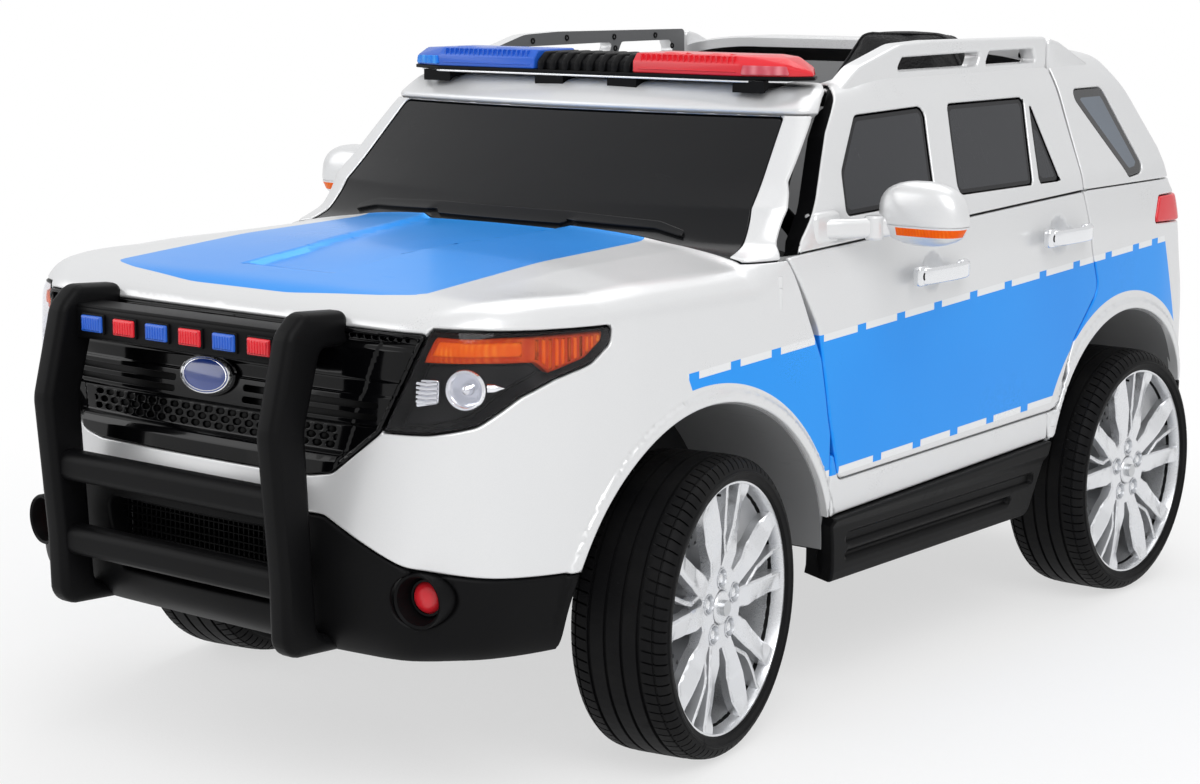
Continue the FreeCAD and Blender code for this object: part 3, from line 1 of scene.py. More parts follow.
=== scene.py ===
"""Looks of a child's ride-on police car.

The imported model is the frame: every piece is built in its place, in metres, with +Z up and
the nose towards -Y. Body panels are cut from one smooth hull, so that neighbouring panels
share their curves and differ only along their seams.
"""
import json
import logging
import math
from dataclasses import dataclass, field
from enum import Enum
from typing import Callable, Optional, Sequence

import bmesh
import bpy
import numpy as np
from mathutils import Matrix, Vector
from mathutils.geometry import tessellate_polygon

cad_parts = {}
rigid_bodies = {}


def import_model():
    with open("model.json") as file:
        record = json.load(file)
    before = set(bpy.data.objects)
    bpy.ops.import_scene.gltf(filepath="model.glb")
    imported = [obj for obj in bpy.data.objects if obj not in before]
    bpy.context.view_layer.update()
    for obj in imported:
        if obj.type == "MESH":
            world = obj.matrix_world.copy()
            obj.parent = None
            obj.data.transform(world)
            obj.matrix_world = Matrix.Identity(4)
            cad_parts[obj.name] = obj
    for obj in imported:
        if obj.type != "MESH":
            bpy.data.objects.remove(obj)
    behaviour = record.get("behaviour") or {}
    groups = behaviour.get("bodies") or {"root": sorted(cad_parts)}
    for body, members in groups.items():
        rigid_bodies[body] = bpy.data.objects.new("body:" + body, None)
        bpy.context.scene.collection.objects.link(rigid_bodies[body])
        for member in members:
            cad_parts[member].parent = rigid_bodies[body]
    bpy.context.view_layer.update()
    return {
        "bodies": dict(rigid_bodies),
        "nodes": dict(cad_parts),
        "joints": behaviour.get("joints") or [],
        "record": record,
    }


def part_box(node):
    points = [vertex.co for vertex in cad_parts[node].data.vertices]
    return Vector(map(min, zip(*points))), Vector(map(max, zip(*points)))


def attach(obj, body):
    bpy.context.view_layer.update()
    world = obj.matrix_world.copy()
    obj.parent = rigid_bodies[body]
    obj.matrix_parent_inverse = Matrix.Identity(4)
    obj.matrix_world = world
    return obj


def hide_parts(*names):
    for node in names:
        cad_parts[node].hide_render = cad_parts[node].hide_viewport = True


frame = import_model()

LOG = logging.getLogger("ride_on")
MM = 0.001
# A piece with more triangles than this is thinned, to this share of them.
DENSE = 9000
THINNING = 0.29
Color = tuple[float, float, float]
Array = np.ndarray


# ---- shader maths -----------------------------------------------------------


class Value:
    """A shader socket that takes part in arithmetic."""

    def __init__(self, paint: "Paint", socket: bpy.types.NodeSocket) -> None:
        """Wrap a socket of a material."""
        self.paint = paint
        self.socket = socket

    def math(self, operation: str, *others: "float | Value") -> "Value":
        """Add a Math node that starts from this value."""
        return self.paint.math(operation, self, *others)

    def __add__(self, other: "float | Value") -> "Value":
        """Sum."""
        return self.math("ADD", other)

    def __sub__(self, other: "float | Value") -> "Value":
        """Difference."""
        return self.math("SUBTRACT", other)

    def __rsub__(self, other: float) -> "Value":
        """Difference from a plain number."""
        return self.paint.math("SUBTRACT", other, self)

    def __mul__(self, other: "float | Value") -> "Value":
        """Product."""
        return self.math("MULTIPLY", other)

    def __truediv__(self, other: "float | Value") -> "Value":
        """Quotient."""
        return self.math("DIVIDE", other)

    def __abs__(self) -> "Value":
        """Absolute value."""
        return self.math("ABSOLUTE")

    def __or__(self, other: "Value") -> "Value":
        """Larger of two masks."""
        return self.math("MAXIMUM", other)

    def __and__(self, other: "Value") -> "Value":
        """Smaller of two masks."""
        return self.math("MINIMUM", other)

    __radd__ = __add__
    __rmul__ = __mul__


class Paint:
    """The node tree of one material."""

    def __init__(self, name: str) -> None:
        """Start an empty material with its output node."""
        self.material = bpy.data.materials.new(name)
        self.material.use_nodes = True
        self.tree = self.material.node_tree
        self.tree.nodes.clear()
        self.output = self.tree.nodes.new("ShaderNodeOutputMaterial")

    def add(self, kind: str, settings: Optional[dict] = None, inputs: Optional[dict] = None,
            output: int | str = 0) -> Value:
        """Add any node.

        Args:
            kind: the node's type.
            settings: its properties, set before its sockets.
            inputs: values or links for its sockets, by name or index.
            output: which output is wanted.

        Returns:
            The wanted output.
        """
        node = self.tree.nodes.new(kind)
        for name, setting in (settings or {}).items():
            if name == "stops":
                self._stops(node, setting)
            else:
                setattr(node, name, setting)
        for key, given in (inputs or {}).items():
            if isinstance(given, Value):
                self.tree.links.new(given.socket, node.inputs[key])
            else:
                node.inputs[key].default_value = given
        return Value(self, node.outputs[output])

    @staticmethod
    def _stops(node: bpy.types.Node, stops: Sequence[tuple[float, Sequence[float]]]) -> None:
        """Set a colour ramp's stops."""
        elements = node.color_ramp.elements
        while len(elements) < len(stops):
            elements.new(1.0)
        for element, (position, color) in zip(elements, stops):
            element.position = position
            element.color = (*color[:3], 1.0)

    def math(self, operation: str, *values: "float | Value") -> Value:
        """Add a Math node on up to three values."""
        return self.add("ShaderNodeMath", {"operation": operation}, dict(enumerate(values)))

    def smooth(self, value: Value, low: float, high: float) -> Value:
        """Rise smoothly from 0 to 1 as the value goes from low to high."""
        return self.add("ShaderNodeMapRange", {"interpolation_type": "SMOOTHSTEP"},
                        {"Value": value, "From Min": low, "From Max": high})

    def below(self, value: Value, limit: float, blur: float) -> Value:
        """1 where the value is under a limit, with a soft edge."""
        return 1.0 - self.smooth(value, limit - blur, limit + blur)

    def mix(self, factor: "float | Value", first: "Color | Value", second: "Color | Value") -> Value:
        """Mix two colours."""
        ends = {key: (*end, 1.0) if isinstance(end, tuple) else end
                for key, end in ((6, first), (7, second))}
        return self.add("ShaderNodeMix", {"data_type": "RGBA"}, {0: factor, **ends}, 2)

    def place(self) -> Value:
        """Object coordinates, in metres."""
        return self.add("ShaderNodeTexCoord", output="Object")

    def axes(self, vector: Value) -> tuple[Value, Value, Value]:
        """The three parts of a vector, in millimetres."""
        node = self.add("ShaderNodeSeparateXYZ", inputs={0: vector}).socket.node
        return tuple(Value(self, node.outputs[index]) * 1000.0 for index in range(3))

    def scaled(self, vector: Value, scale: Sequence[float]) -> Value:
        """The vector stretched along its axes."""
        return self.add("ShaderNodeMapping", inputs={"Vector": vector, "Scale": tuple(scale)})

    def noise(self, vector: Value, scale: float, detail: float = 2.0) -> Value:
        """Noise between 0 and 1, with this many cells to the metre."""
        return self.add("ShaderNodeTexNoise", inputs={"Vector": vector, "Scale": scale, "Detail": detail})

    def attribute(self, name: str) -> Value:
        """A number stored on the mesh's vertices."""
        return self.add("ShaderNodeAttribute", {"attribute_name": name}, output="Fac")

    def bump(self, height: Value, distance: float, strength: float = 1.0,
             normal: Optional[Value] = None) -> Value:
        """Turn a height into a normal; the distance is the relief in metres."""
        inputs = {"Height": height, "Distance": distance, "Strength": strength}
        if normal is not None:
            inputs["Normal"] = normal
        return self.add("ShaderNodeBump", inputs=inputs)

    def surface(self, shader: Value) -> bpy.types.Material:
        """Finish the material with this shader."""
        self.tree.links.new(shader.socket, self.output.inputs["Surface"])
        return self.material


# ---- finishes ---------------------------------------------------------------


@dataclass(frozen=True)
class Finish:
    """A moulded or painted surface with grain, slight unevenness, scuffs and edge wear."""

    name: str
    color: Color
    roughness: float = 0.4
    grain: float = 900.0
    relief: float = 0.02
    ripple: float = 0.02
    variation: float = 0.06
    scuffs: float = 0.12
    wear: float = 0.15
    metallic: float = 0.0
    coat: float = 0.0
    coat_roughness: float = 0.08
    specular: float = 0.5

    def tint(self, paint: Paint, place: Value, base: Value) -> Value:
        """Colour pattern over the base colour; plain finishes have none."""
        return base

    def height(self, paint: Paint, place: Value) -> Optional[tuple[Value, float]]:
        """Pattern in relief, as a height and its depth in metres; plain finishes have none."""
        return None

    def gloss(self, paint: Paint, place: Value, rough: Value) -> Value:
        """Pattern in the roughness; plain finishes have none."""
        return rough

    def material(self) -> bpy.types.Material:
        """Build the material once and keep it for every piece that asks."""
        known = bpy.data.materials.get(self.name)
        if known is not None:
            return known
        paint = Paint(self.name)
        place = paint.place()
        broad = paint.noise(place, 7.0, 3.0)
        fine = paint.noise(place, self.grain, 2.0)
        marks = paint.noise(paint.scaled(place, (30.0, 190.0, 60.0)), 1.0, 4.0)
        scuff = paint.smooth(marks, 0.58, 0.76) * paint.smooth(broad, 0.4, 0.62)
        edge = paint.smooth(paint.attribute("nearness"), 17.2, 19.6) * paint.smooth(
            paint.noise(place, 95.0, 3.0), 0.42, 0.66)
        darker = tuple(part * (1.0 - self.variation) for part in self.color)
        lift = 0.1 * self.variation * max(self.color)
        lighter = tuple(min(1.0, part * (1.0 + self.variation) + lift * 0.2) for part in self.color)
        color = paint.mix(broad, darker, lighter)
        color = self.tint(paint, place, color)
        pale = tuple(0.6 * part + 0.25 * max(self.color) + 0.01 for part in self.color)
        color = paint.mix(edge * self.wear + scuff * (0.3 * self.scuffs), color, pale)
        rough = self.roughness + (broad - 0.5) * 0.12 + scuff * self.scuffs + edge * self.wear * 0.4
        rough = self.gloss(paint, place, rough + (fine - 0.5) * 0.06)
        normal = paint.bump(paint.noise(place, 26.0, 1.0), self.ripple * MM * 10.0, 0.35)
        normal = paint.bump(fine, self.relief * MM * 2.0, 0.8, normal)
        pattern = self.height(paint, place)
        if pattern is not None:
            normal = paint.bump(pattern[0], pattern[1], 1.0, normal)
        inputs = {"Base Color": color, "Roughness": rough, "Normal": normal, "Metallic": self.metallic,
                  "Coat Weight": self.coat, "Coat Roughness": self.coat_roughness,
                  "Specular IOR Level": self.specular}
        return paint.surface(paint.add("ShaderNodeBsdfPrincipled", inputs=inputs))


BLUE: Color = (0.001, 0.310, 1.0)
WHITE: Color = (0.86, 0.87, 0.88)


@dataclass(frozen=True)
class LiveryFinish(Finish):
    """Silver body plastic with the blue side band, its square teeth and the bonnet panel."""

    middle: float = 88.5
    teeth_up: tuple[float, ...] = (-408, -348, -287, -219, -149, -81.5, -15, 52, 119.5, 190.5, 262, 333,
                                   396, 441)
    teeth_down: tuple[float, ...] = (-190, -118, -48, 21, 91, 160)
    tooth: float = 7.2
    dash: float = 6.6
    front_circle: tuple[float, float, float] = (-385, 125, 206)
    rear_circle: tuple[float, float, float] = (379, 150.5, 182)

    def outside(self, paint: Paint, along: Value, up: Value, circle: tuple[float, float, float]) -> Value:
        """1 outside a circle drawn on the side."""
        across, rise = along - circle[0], up - circle[1]
        return paint.smooth((across * across + rise * rise).math("SQRT"), circle[2] - 0.3, circle[2] + 0.3)

    def row(self, paint: Paint, along: Value, middles: Sequence[float]) -> Value:
        """1 on the teeth at these places along the side."""
        nearest = abs(along - middles[0])
        for middle in middles[1:]:
            nearest = nearest & abs(along - middle)
        return paint.below(nearest, self.tooth, 0.25)

    def tint(self, paint: Paint, place: Value, base: Value) -> Value:
        """Paint the band on the sides and the panel on the bonnet."""
        x, y, z = paint.axes(place)
        along = y - self.middle
        top = z - (364.2 + along * 0.0468)
        low = z - (232.3 + along * 0.0277)
        ends = self.outside(paint, along, z, self.front_circle) & self.outside(paint, along, z,
            self.rear_circle)
        start = along + (z - 332.0) * 0.5
        finish = along + (z - 300.0) * 0.36
        ends = ends & paint.smooth(start, -412.0, -411.0) & paint.below(finish, 496.0, 0.4)
        ends = ends & paint.smooth(abs(x), 236.0, 237.0)
        high = paint.below(top, -self.dash, 0.25) | (self.row(paint, along,
                                                              self.teeth_up) & paint.below(top, 0.0, 0.25))
        deep = paint.smooth(low, -0.25, 0.25) | (
            self.row(paint, along, self.teeth_down) & paint.smooth(low, -self.dash - 0.2, -self.dash + 0.2))
        film = ends & paint.below(top, 0.0, 0.25) & paint.smooth(low, -self.dash - 0.2, -self.dash + 0.2)
        band = ends & high & deep
        bonnet = paint.smooth(paint.attribute("line"), 0.1, 0.7)
        blue = paint.mix(paint.noise(place, 5.0, 1.0), tuple(part * 0.88 for part in BLUE),
                         tuple(min(1.0, part * 1.12 + 0.01) for part in BLUE))
        flakes = paint.add("ShaderNodeTexVoronoi", inputs={"Vector": place, "Scale": 1500.0})
        silver = paint.mix(paint.smooth(flakes, 0.1, 0.7) * 0.16, base, (0.62, 0.64, 0.66))
        return paint.mix(band | bonnet, paint.mix(film * 0.8, silver, WHITE), blue)

    def gloss(self, paint: Paint, place: Value, rough: Value) -> Value:
        """The film keeps the plastic's roughness."""
        return rough


@dataclass(frozen=True)
class GlassFinish(Finish):
    """Dark window plastic with a darker printed border."""

    border: float = 6.0
    border_color: Color = (0.01, 0.01, 0.012)

    def tint(self, paint: Paint, place: Value, base: Value) -> Value:
        """Darken the border."""
        limit = 20.0 - self.border
        return paint.mix(paint.smooth(paint.attribute("nearness"), limit, limit + 0.6), base,
                         self.border_color)


@dataclass(frozen=True)
class LensFinish(Finish):
    """Coloured lamp plastic with fine inner ribs and painted highlights along them."""

    ribs: float = 900.0
    # bright is the colour of the painted highlights along the ribs
    bright: Color = (1.0, 0.3, 0.2)
    axis: int = 0

    def tint(self, paint: Paint, place: Value, base: Value) -> Value:
        """Paint highlights along the ribs, in patches, where a reflector behind the lens would shine through.
        """
        axis = paint.axes(place)[self.axis]
        wave = (axis * (self.ribs * MM * 2.0 * math.pi)).math("SINE") * 0.5 + 0.5
        painted_highlight_patches = paint.noise(place, 60.0, 2.0)
        # painted highlight: the rib wave, in noise patches, lightens the colour towards bright
        return paint.mix(wave * paint.smooth(painted_highlight_patches, 0.35, 0.7) * 0.75, base, self.bright)

    def height(self, paint: Paint, place: Value) -> Optional[tuple[Value, float]]:
        """Ribs in low relief."""
        axis = paint.axes(place)[self.axis]
        return (axis * (self.ribs * MM * 2.0 * math.pi)).math("SINE") * 0.5 + 0.5, 0.00025


@dataclass(frozen=True)
class PadFinish(Finish):
    """Stitched synthetic leather: pebbled grain with fine pores."""

    pebble: float = 420.0

    def height(self, paint: Paint, place: Value) -> Optional[tuple[Value, float]]:
        """Pebbles with creases between them."""
        cells = paint.add("ShaderNodeTexVoronoi", {"feature": "SMOOTH_F1"}, {"Vector": place,
            "Scale": self.pebble})
        return 1.0 - cells, 0.0005


@dataclass(frozen=True)
class RubberFinish(Finish):
    """Moulded tyre plastic with dust laid over it in patches."""

    axle: tuple[float, float] = (0.0, 0.134)
    dust: Color = (0.014, 0.0135, 0.013)

    def tint(self, paint: Paint, place: Value, base: Value) -> Value:
        """Lay dust over the rubber in patches."""
        patches = paint.smooth(paint.noise(place, 18.0, 5.0), 0.45, 0.75)
        return paint.mix(patches * 0.45, base, self.dust)


@dataclass(frozen=True)
class ClearFinish:
    """A thin clear cover: see-through head on, shiny at a slant."""

    name: str
    reflect: float = 0.22
    roughness: float = 0.03

    def material(self) -> bpy.types.Material:
        """Build the material once and keep it."""
        known = bpy.data.materials.get(self.name)
        if known is not None:
            return known
        paint = Paint(self.name)
        place = paint.place()
        normal = paint.bump(paint.noise(place, 40.0, 2.0), 0.0002, 0.3)
        facing = paint.add("ShaderNodeLayerWeight", inputs={"Blend": 0.25, "Normal": normal}, output="Facing")
        smear = paint.smooth(paint.noise(place, 30.0, 4.0), 0.5, 0.8) * 0.03
        gloss = paint.add("ShaderNodeBsdfPrincipled", inputs={
            "Base Color": (0.9, 0.9, 0.92, 1.0), "Roughness": self.roughness + smear, "Normal": normal,
            "Metallic": 1.0})
        clear = paint.add("ShaderNodeBsdfTransparent", inputs={"Color": (0.95, 0.95, 0.96, 1.0)})
        factor = facing * facing * self.reflect + 0.012 + smear * 0.4
        return paint.surface(paint.add("ShaderNodeMixShader", inputs={0: factor, 1: clear, 2: gloss}))


SILVER = LiveryFinish("silver_plastic", (0.775, 0.777, 0.781), roughness=0.30, grain=1600.0, relief=0.006,
                      ripple=0.03, variation=0.025, scuffs=0.05, wear=0.04, metallic=0.35, coat=0.2,
                      coat_roughness=0.12, specular=0.2)
INNER_GREY = Finish("inner_grey", (0.16, 0.163, 0.168), roughness=0.62, grain=700.0, relief=0.05,
                    variation=0.08)
MATT_BLACK = Finish("matt_black_plastic", (0.0038, 0.0038, 0.0042), roughness=0.44, grain=1100.0, relief=0.05,
                    ripple=0.03, variation=0.2, scuffs=0.10, wear=0.03, specular=0.09)
GLOSS_BLACK = Finish("gloss_black_plastic", (0.0014, 0.0014, 0.0018), roughness=0.12, grain=1500.0,
                     relief=0.004,
                     ripple=0.03, variation=0.2, scuffs=0.04, wear=0.02, coat=0.22, coat_roughness=0.04,
                     specular=0.12)
DARK_UNIT = Finish("dark_unit_plastic", (0.004, 0.004, 0.0045), roughness=0.34, grain=900.0, relief=0.02,
                   variation=0.2, wear=0.02, specular=0.12)
UNDERSIDE = Finish("underside_plastic", (0.010, 0.010, 0.011), roughness=0.60, grain=700.0, relief=0.06,
                   variation=0.2, scuffs=0.2, wear=0.05, specular=0.25)
SCREEN_BLACK = GlassFinish("windscreen_plastic", (0.009, 0.0092, 0.0102), roughness=0.24, grain=1300.0,
                           relief=0.006,
                           ripple=0.05, variation=0.12, scuffs=0.03, wear=0.02, coat=0.08,
                           coat_roughness=0.10,
                           specular=0.14, border=0.0)
SIDE_GLASS = GlassFinish("side_window_plastic", (0.036, 0.0375, 0.042), roughness=0.26, grain=1300.0,
                         relief=0.006,
                         ripple=0.04, variation=0.10, scuffs=0.03, wear=0.02, coat=0.08, coat_roughness=0.1,
                         specular=0.2, border=4.5)
QUARTER_GLASS = GlassFinish("quarter_window_plastic", (0.10, 0.125, 0.16), roughness=0.22, grain=1300.0,
                            relief=0.006, ripple=0.04, variation=0.2, scuffs=0.05, wear=0.02, coat=0.4,
                            border=9.0)
BRIGHT = Finish("bright_plated_plastic", (0.80, 0.81, 0.83), roughness=0.16, grain=1400.0, relief=0.004,
                ripple=0.03, variation=0.04, scuffs=0.10, wear=0.05, metallic=0.9, coat=0.3)
WHEEL_SILVER = Finish("wheel_silver", (0.74, 0.75, 0.77), roughness=0.28, grain=1500.0, relief=0.003,
                      ripple=0.006, variation=0.05, scuffs=0.14, wear=0.08, metallic=0.75, coat=0.35)
REFLECTOR = Finish("reflector_plating", (0.86, 0.87, 0.9), roughness=0.10, grain=500.0, relief=0.02,
                   ripple=0.05, variation=0.05, metallic=1.0, scuffs=0.03)
# Each lens's bright colour is its painted highlight along the ribs.
AMBER = LensFinish("amber_lens", (0.60, 0.045, 0.002), roughness=0.16, relief=0.005, variation=0.1,
                   coat=0.08, specular=0.06,
                   ribs=260.0, bright=(0.80, 0.13, 0.01), wear=0.03, scuffs=0.04)
AMBER_CORE = LensFinish("amber_core", (0.92, 0.115, 0.003), roughness=0.2, relief=0.005, variation=0.12,
                        coat=0.08, specular=0.06,
                        ribs=300.0, bright=(1.0, 0.26, 0.02), wear=0.0, scuffs=0.04)
RED_LENS = LensFinish("red_lens", (0.42, 0.0005, 0.002), roughness=0.14, relief=0.005, variation=0.12,
                      coat=0.02, specular=0.02,
                      ribs=170.0, bright=(0.78, 0.002, 0.010), wear=0.03, scuffs=0.04)
BLUE_LENS = LensFinish("blue_lens", (0.0005, 0.12, 0.64), roughness=0.14, relief=0.005, variation=0.12,
                       coat=0.02, specular=0.02,
                       ribs=170.0, bright=(0.004, 0.24, 0.95), wear=0.03, scuffs=0.04)
PALE_RED = LensFinish("pale_red_reflector", (0.62, 0.10, 0.13), roughness=0.15, relief=0.004, variation=0.1,
                      coat=0.08, specular=0.06,
                      ribs=90.0, bright=(0.85, 0.30, 0.33), wear=0.03, scuffs=0.04)
PALE_BLUE = LensFinish("pale_blue_reflector", (0.02, 0.22, 0.80), roughness=0.15, relief=0.004,
                       variation=0.1, coat=0.08, specular=0.06,
                       ribs=90.0, bright=(0.12, 0.50, 1.0), wear=0.03, scuffs=0.04)
LENS_GLASS = ClearFinish("clear_cover")
TYRE = RubberFinish("tyre_plastic", (0.0045, 0.0045, 0.005), roughness=0.55, grain=1000.0, relief=0.05,
                    ripple=0.03, variation=0.2, scuffs=0.2, wear=0.10, specular=0.1)
SEAT_PAD = PadFinish("seat_leatherette", (0.006, 0.006, 0.0068), roughness=0.48, grain=2200.0, relief=0.02,
                     variation=0.25, scuffs=0.08, wear=0.0, specular=0.2)
SEAT_PIPING = PadFinish("seat_piping", (0.010, 0.010, 0.011), roughness=0.42, grain=2400.0, relief=0.02,
                        variation=0.2, wear=0.0, specular=0.3, pebble=900.0)
SEAT_THREAD = PadFinish("seat_thread", (0.060, 0.060, 0.064), roughness=0.7, grain=3000.0, relief=0.02,
                        variation=0.2, wear=0.0, specular=0.2, pebble=2600.0)
DIAL_WHITE = Finish("dial_white", (0.72, 0.72, 0.70), roughness=0.35, grain=1500.0, relief=0.005,
                    variation=0.05)
LINER_GREY = Finish("wheel_liner_grey", (0.23, 0.232, 0.236), roughness=0.58, grain=600.0, relief=0.08,
                    ripple=0.05, variation=0.22, scuffs=0.25, wear=0.1)
STEEL = Finish("zinc_steel", (0.55, 0.56, 0.57), roughness=0.34, grain=1200.0, relief=0.01, variation=0.1,
               metallic=1.0, scuffs=0.2)
DISC_GREY = Finish("brake_disc_grey", (0.33, 0.335, 0.345), roughness=0.42, grain=1200.0, relief=0.02,
                   variation=0.12, metallic=0.4)
BADGE_BLUE = Finish("badge_blue", (0.012, 0.05, 0.30), roughness=0.16, grain=1500.0, relief=0.004, coat=1.0,
                    variation=0.12, scuffs=0.04)


# ---- outlines and meshes ----------------------------------------------------


def circle(radius: float, steps: int, centre: tuple[float, float] = (0.0, 0.0)) -> Array:
    """Points round a circle."""
    turn = np.linspace(0.0, 2.0 * math.pi, steps, endpoint=False)
    return np.column_stack([centre[0] + radius * np.cos(turn), centre[1] + radius * np.sin(turn)])


def rounded(corners: Sequence[Sequence[float]], step: float = 12.0, closed: bool = True) -> Array:
    """Straight runs with an arc at each corner.

    Args:
        corners: rows of two coordinates and a corner radius.
        step: degrees of turn between points of an arc.
        closed: whether the last corner joins the first.

    Returns:
        Points along the outline.
    """
    points: list[Array] = []
    count = len(corners)
    for index, row in enumerate(corners):
        corner = np.array(row[:2], float)
        radius = row[2] if len(row) > 2 else 0.0
        if radius <= 0.0 or (not closed and index in (0, count - 1)):
            points.append(corner)
            continue
        back = np.array(corners[index - 1][:2], float) - corner
        ahead = np.array(corners[(index + 1) % count][:2], float) - corner
        back_length, ahead_length = np.linalg.norm(back), np.linalg.norm(ahead)
        back, ahead = back / back_length, ahead / ahead_length
        half = math.acos(float(np.clip(back @ ahead, -1.0, 1.0))) / 2.0
        run = min(radius / math.tan(half), 0.49 * back_length, 0.49 * ahead_length)
        real = run * math.tan(half)
        middle = corner + (back + ahead) / np.linalg.norm(back + ahead) * (real / math.sin(half))
        first, last = corner + back * run - middle, corner + ahead * run - middle
        start = math.atan2(first[1], first[0])
        sweep = (math.atan2(last[1], last[0]) - start + math.pi) % (2.0 * math.pi) - math.pi
        steps = max(2, int(abs(math.degrees(sweep)) / step) + 1)
        for part in np.linspace(0.0, 1.0, steps + 1):
            turn = start + sweep * part
            points.append(middle + real * np.array([math.cos(turn), math.sin(turn)]))
    return np.array(points)


def softened(outline: Array, blur: float, spacing: float = 3.0) -> Array:
    """A closed outline resampled evenly and smoothed over this distance."""
    loop = np.vstack([outline, outline[:1]])
    lengths = np.linalg.norm(np.diff(loop, axis=0), axis=1)
    run = np.concatenate([[0.0], np.cumsum(lengths)])
    count = max(16, int(run[-1] / spacing))
    at = np.linspace(0.0, run[-1], count, endpoint=False)
    even = np.column_stack([np.interp(at, run, loop[:, 0]), np.interp(at, run, loop[:, 1])])
    offsets = np.arange(-count // 2, count - count // 2) * (run[-1] / count)
    weight = np.exp(-0.5 * (offsets / blur) ** 2)
    weight = np.fft.fft(np.fft.ifftshift(weight / weight.sum()))
    return np.column_stack([np.real(np.fft.ifft(np.fft.fft(even[:, part]) * weight)) for part in (0, 1)])


def grown(outline: Array, distance: float) -> Array:
    """A closed outline moved outwards, or inwards for a negative distance."""
    ahead = np.roll(outline, -1, axis=0) - outline
    ahead /= np.maximum(np.linalg.norm(ahead, axis=1, keepdims=True), 1e-9)
    area = np.sum(outline[:, 0] * np.roll(outline[:, 1], -1) - np.roll(outline[:, 0], -1) * outline[:, 1])
    side = np.column_stack([ahead[:, 1], -ahead[:, 0]]) * (1.0 if area > 0 else -1.0)
    both = side + np.roll(side, 1, axis=0)
    both /= np.maximum(np.linalg.norm(both, axis=1, keepdims=True), 1e-9)
    miter = np.maximum(np.sum(both * side, axis=1, keepdims=True), 0.35)
    return outline + both * distance / miter


class View(Enum):
    """The plane an outline is drawn in, by its two axes and the one across it."""

    SIDE = (1, 2, 0)
    FRONT = (0, 2, 1)
    PLAN = (0, 1, 2)

    def lift(self, flat: Array, across: float | Array) -> Array:
        """Points of the plane, in space."""
        points = np.zeros((len(flat), 3))
        first, second, third = self.value
        points[:, first], points[:, second], points[:, third] = flat[:, 0], flat[:, 1], across
        return points


@dataclass
class Block:
    """Vertices and faces of equal size that belong together in a shape."""

    verts: Array
    faces: Array
    slot: int | Array = 0
    normals: Optional[Array] = None
    nearness: Optional[Array] = None
    line: Optional[Array] = None


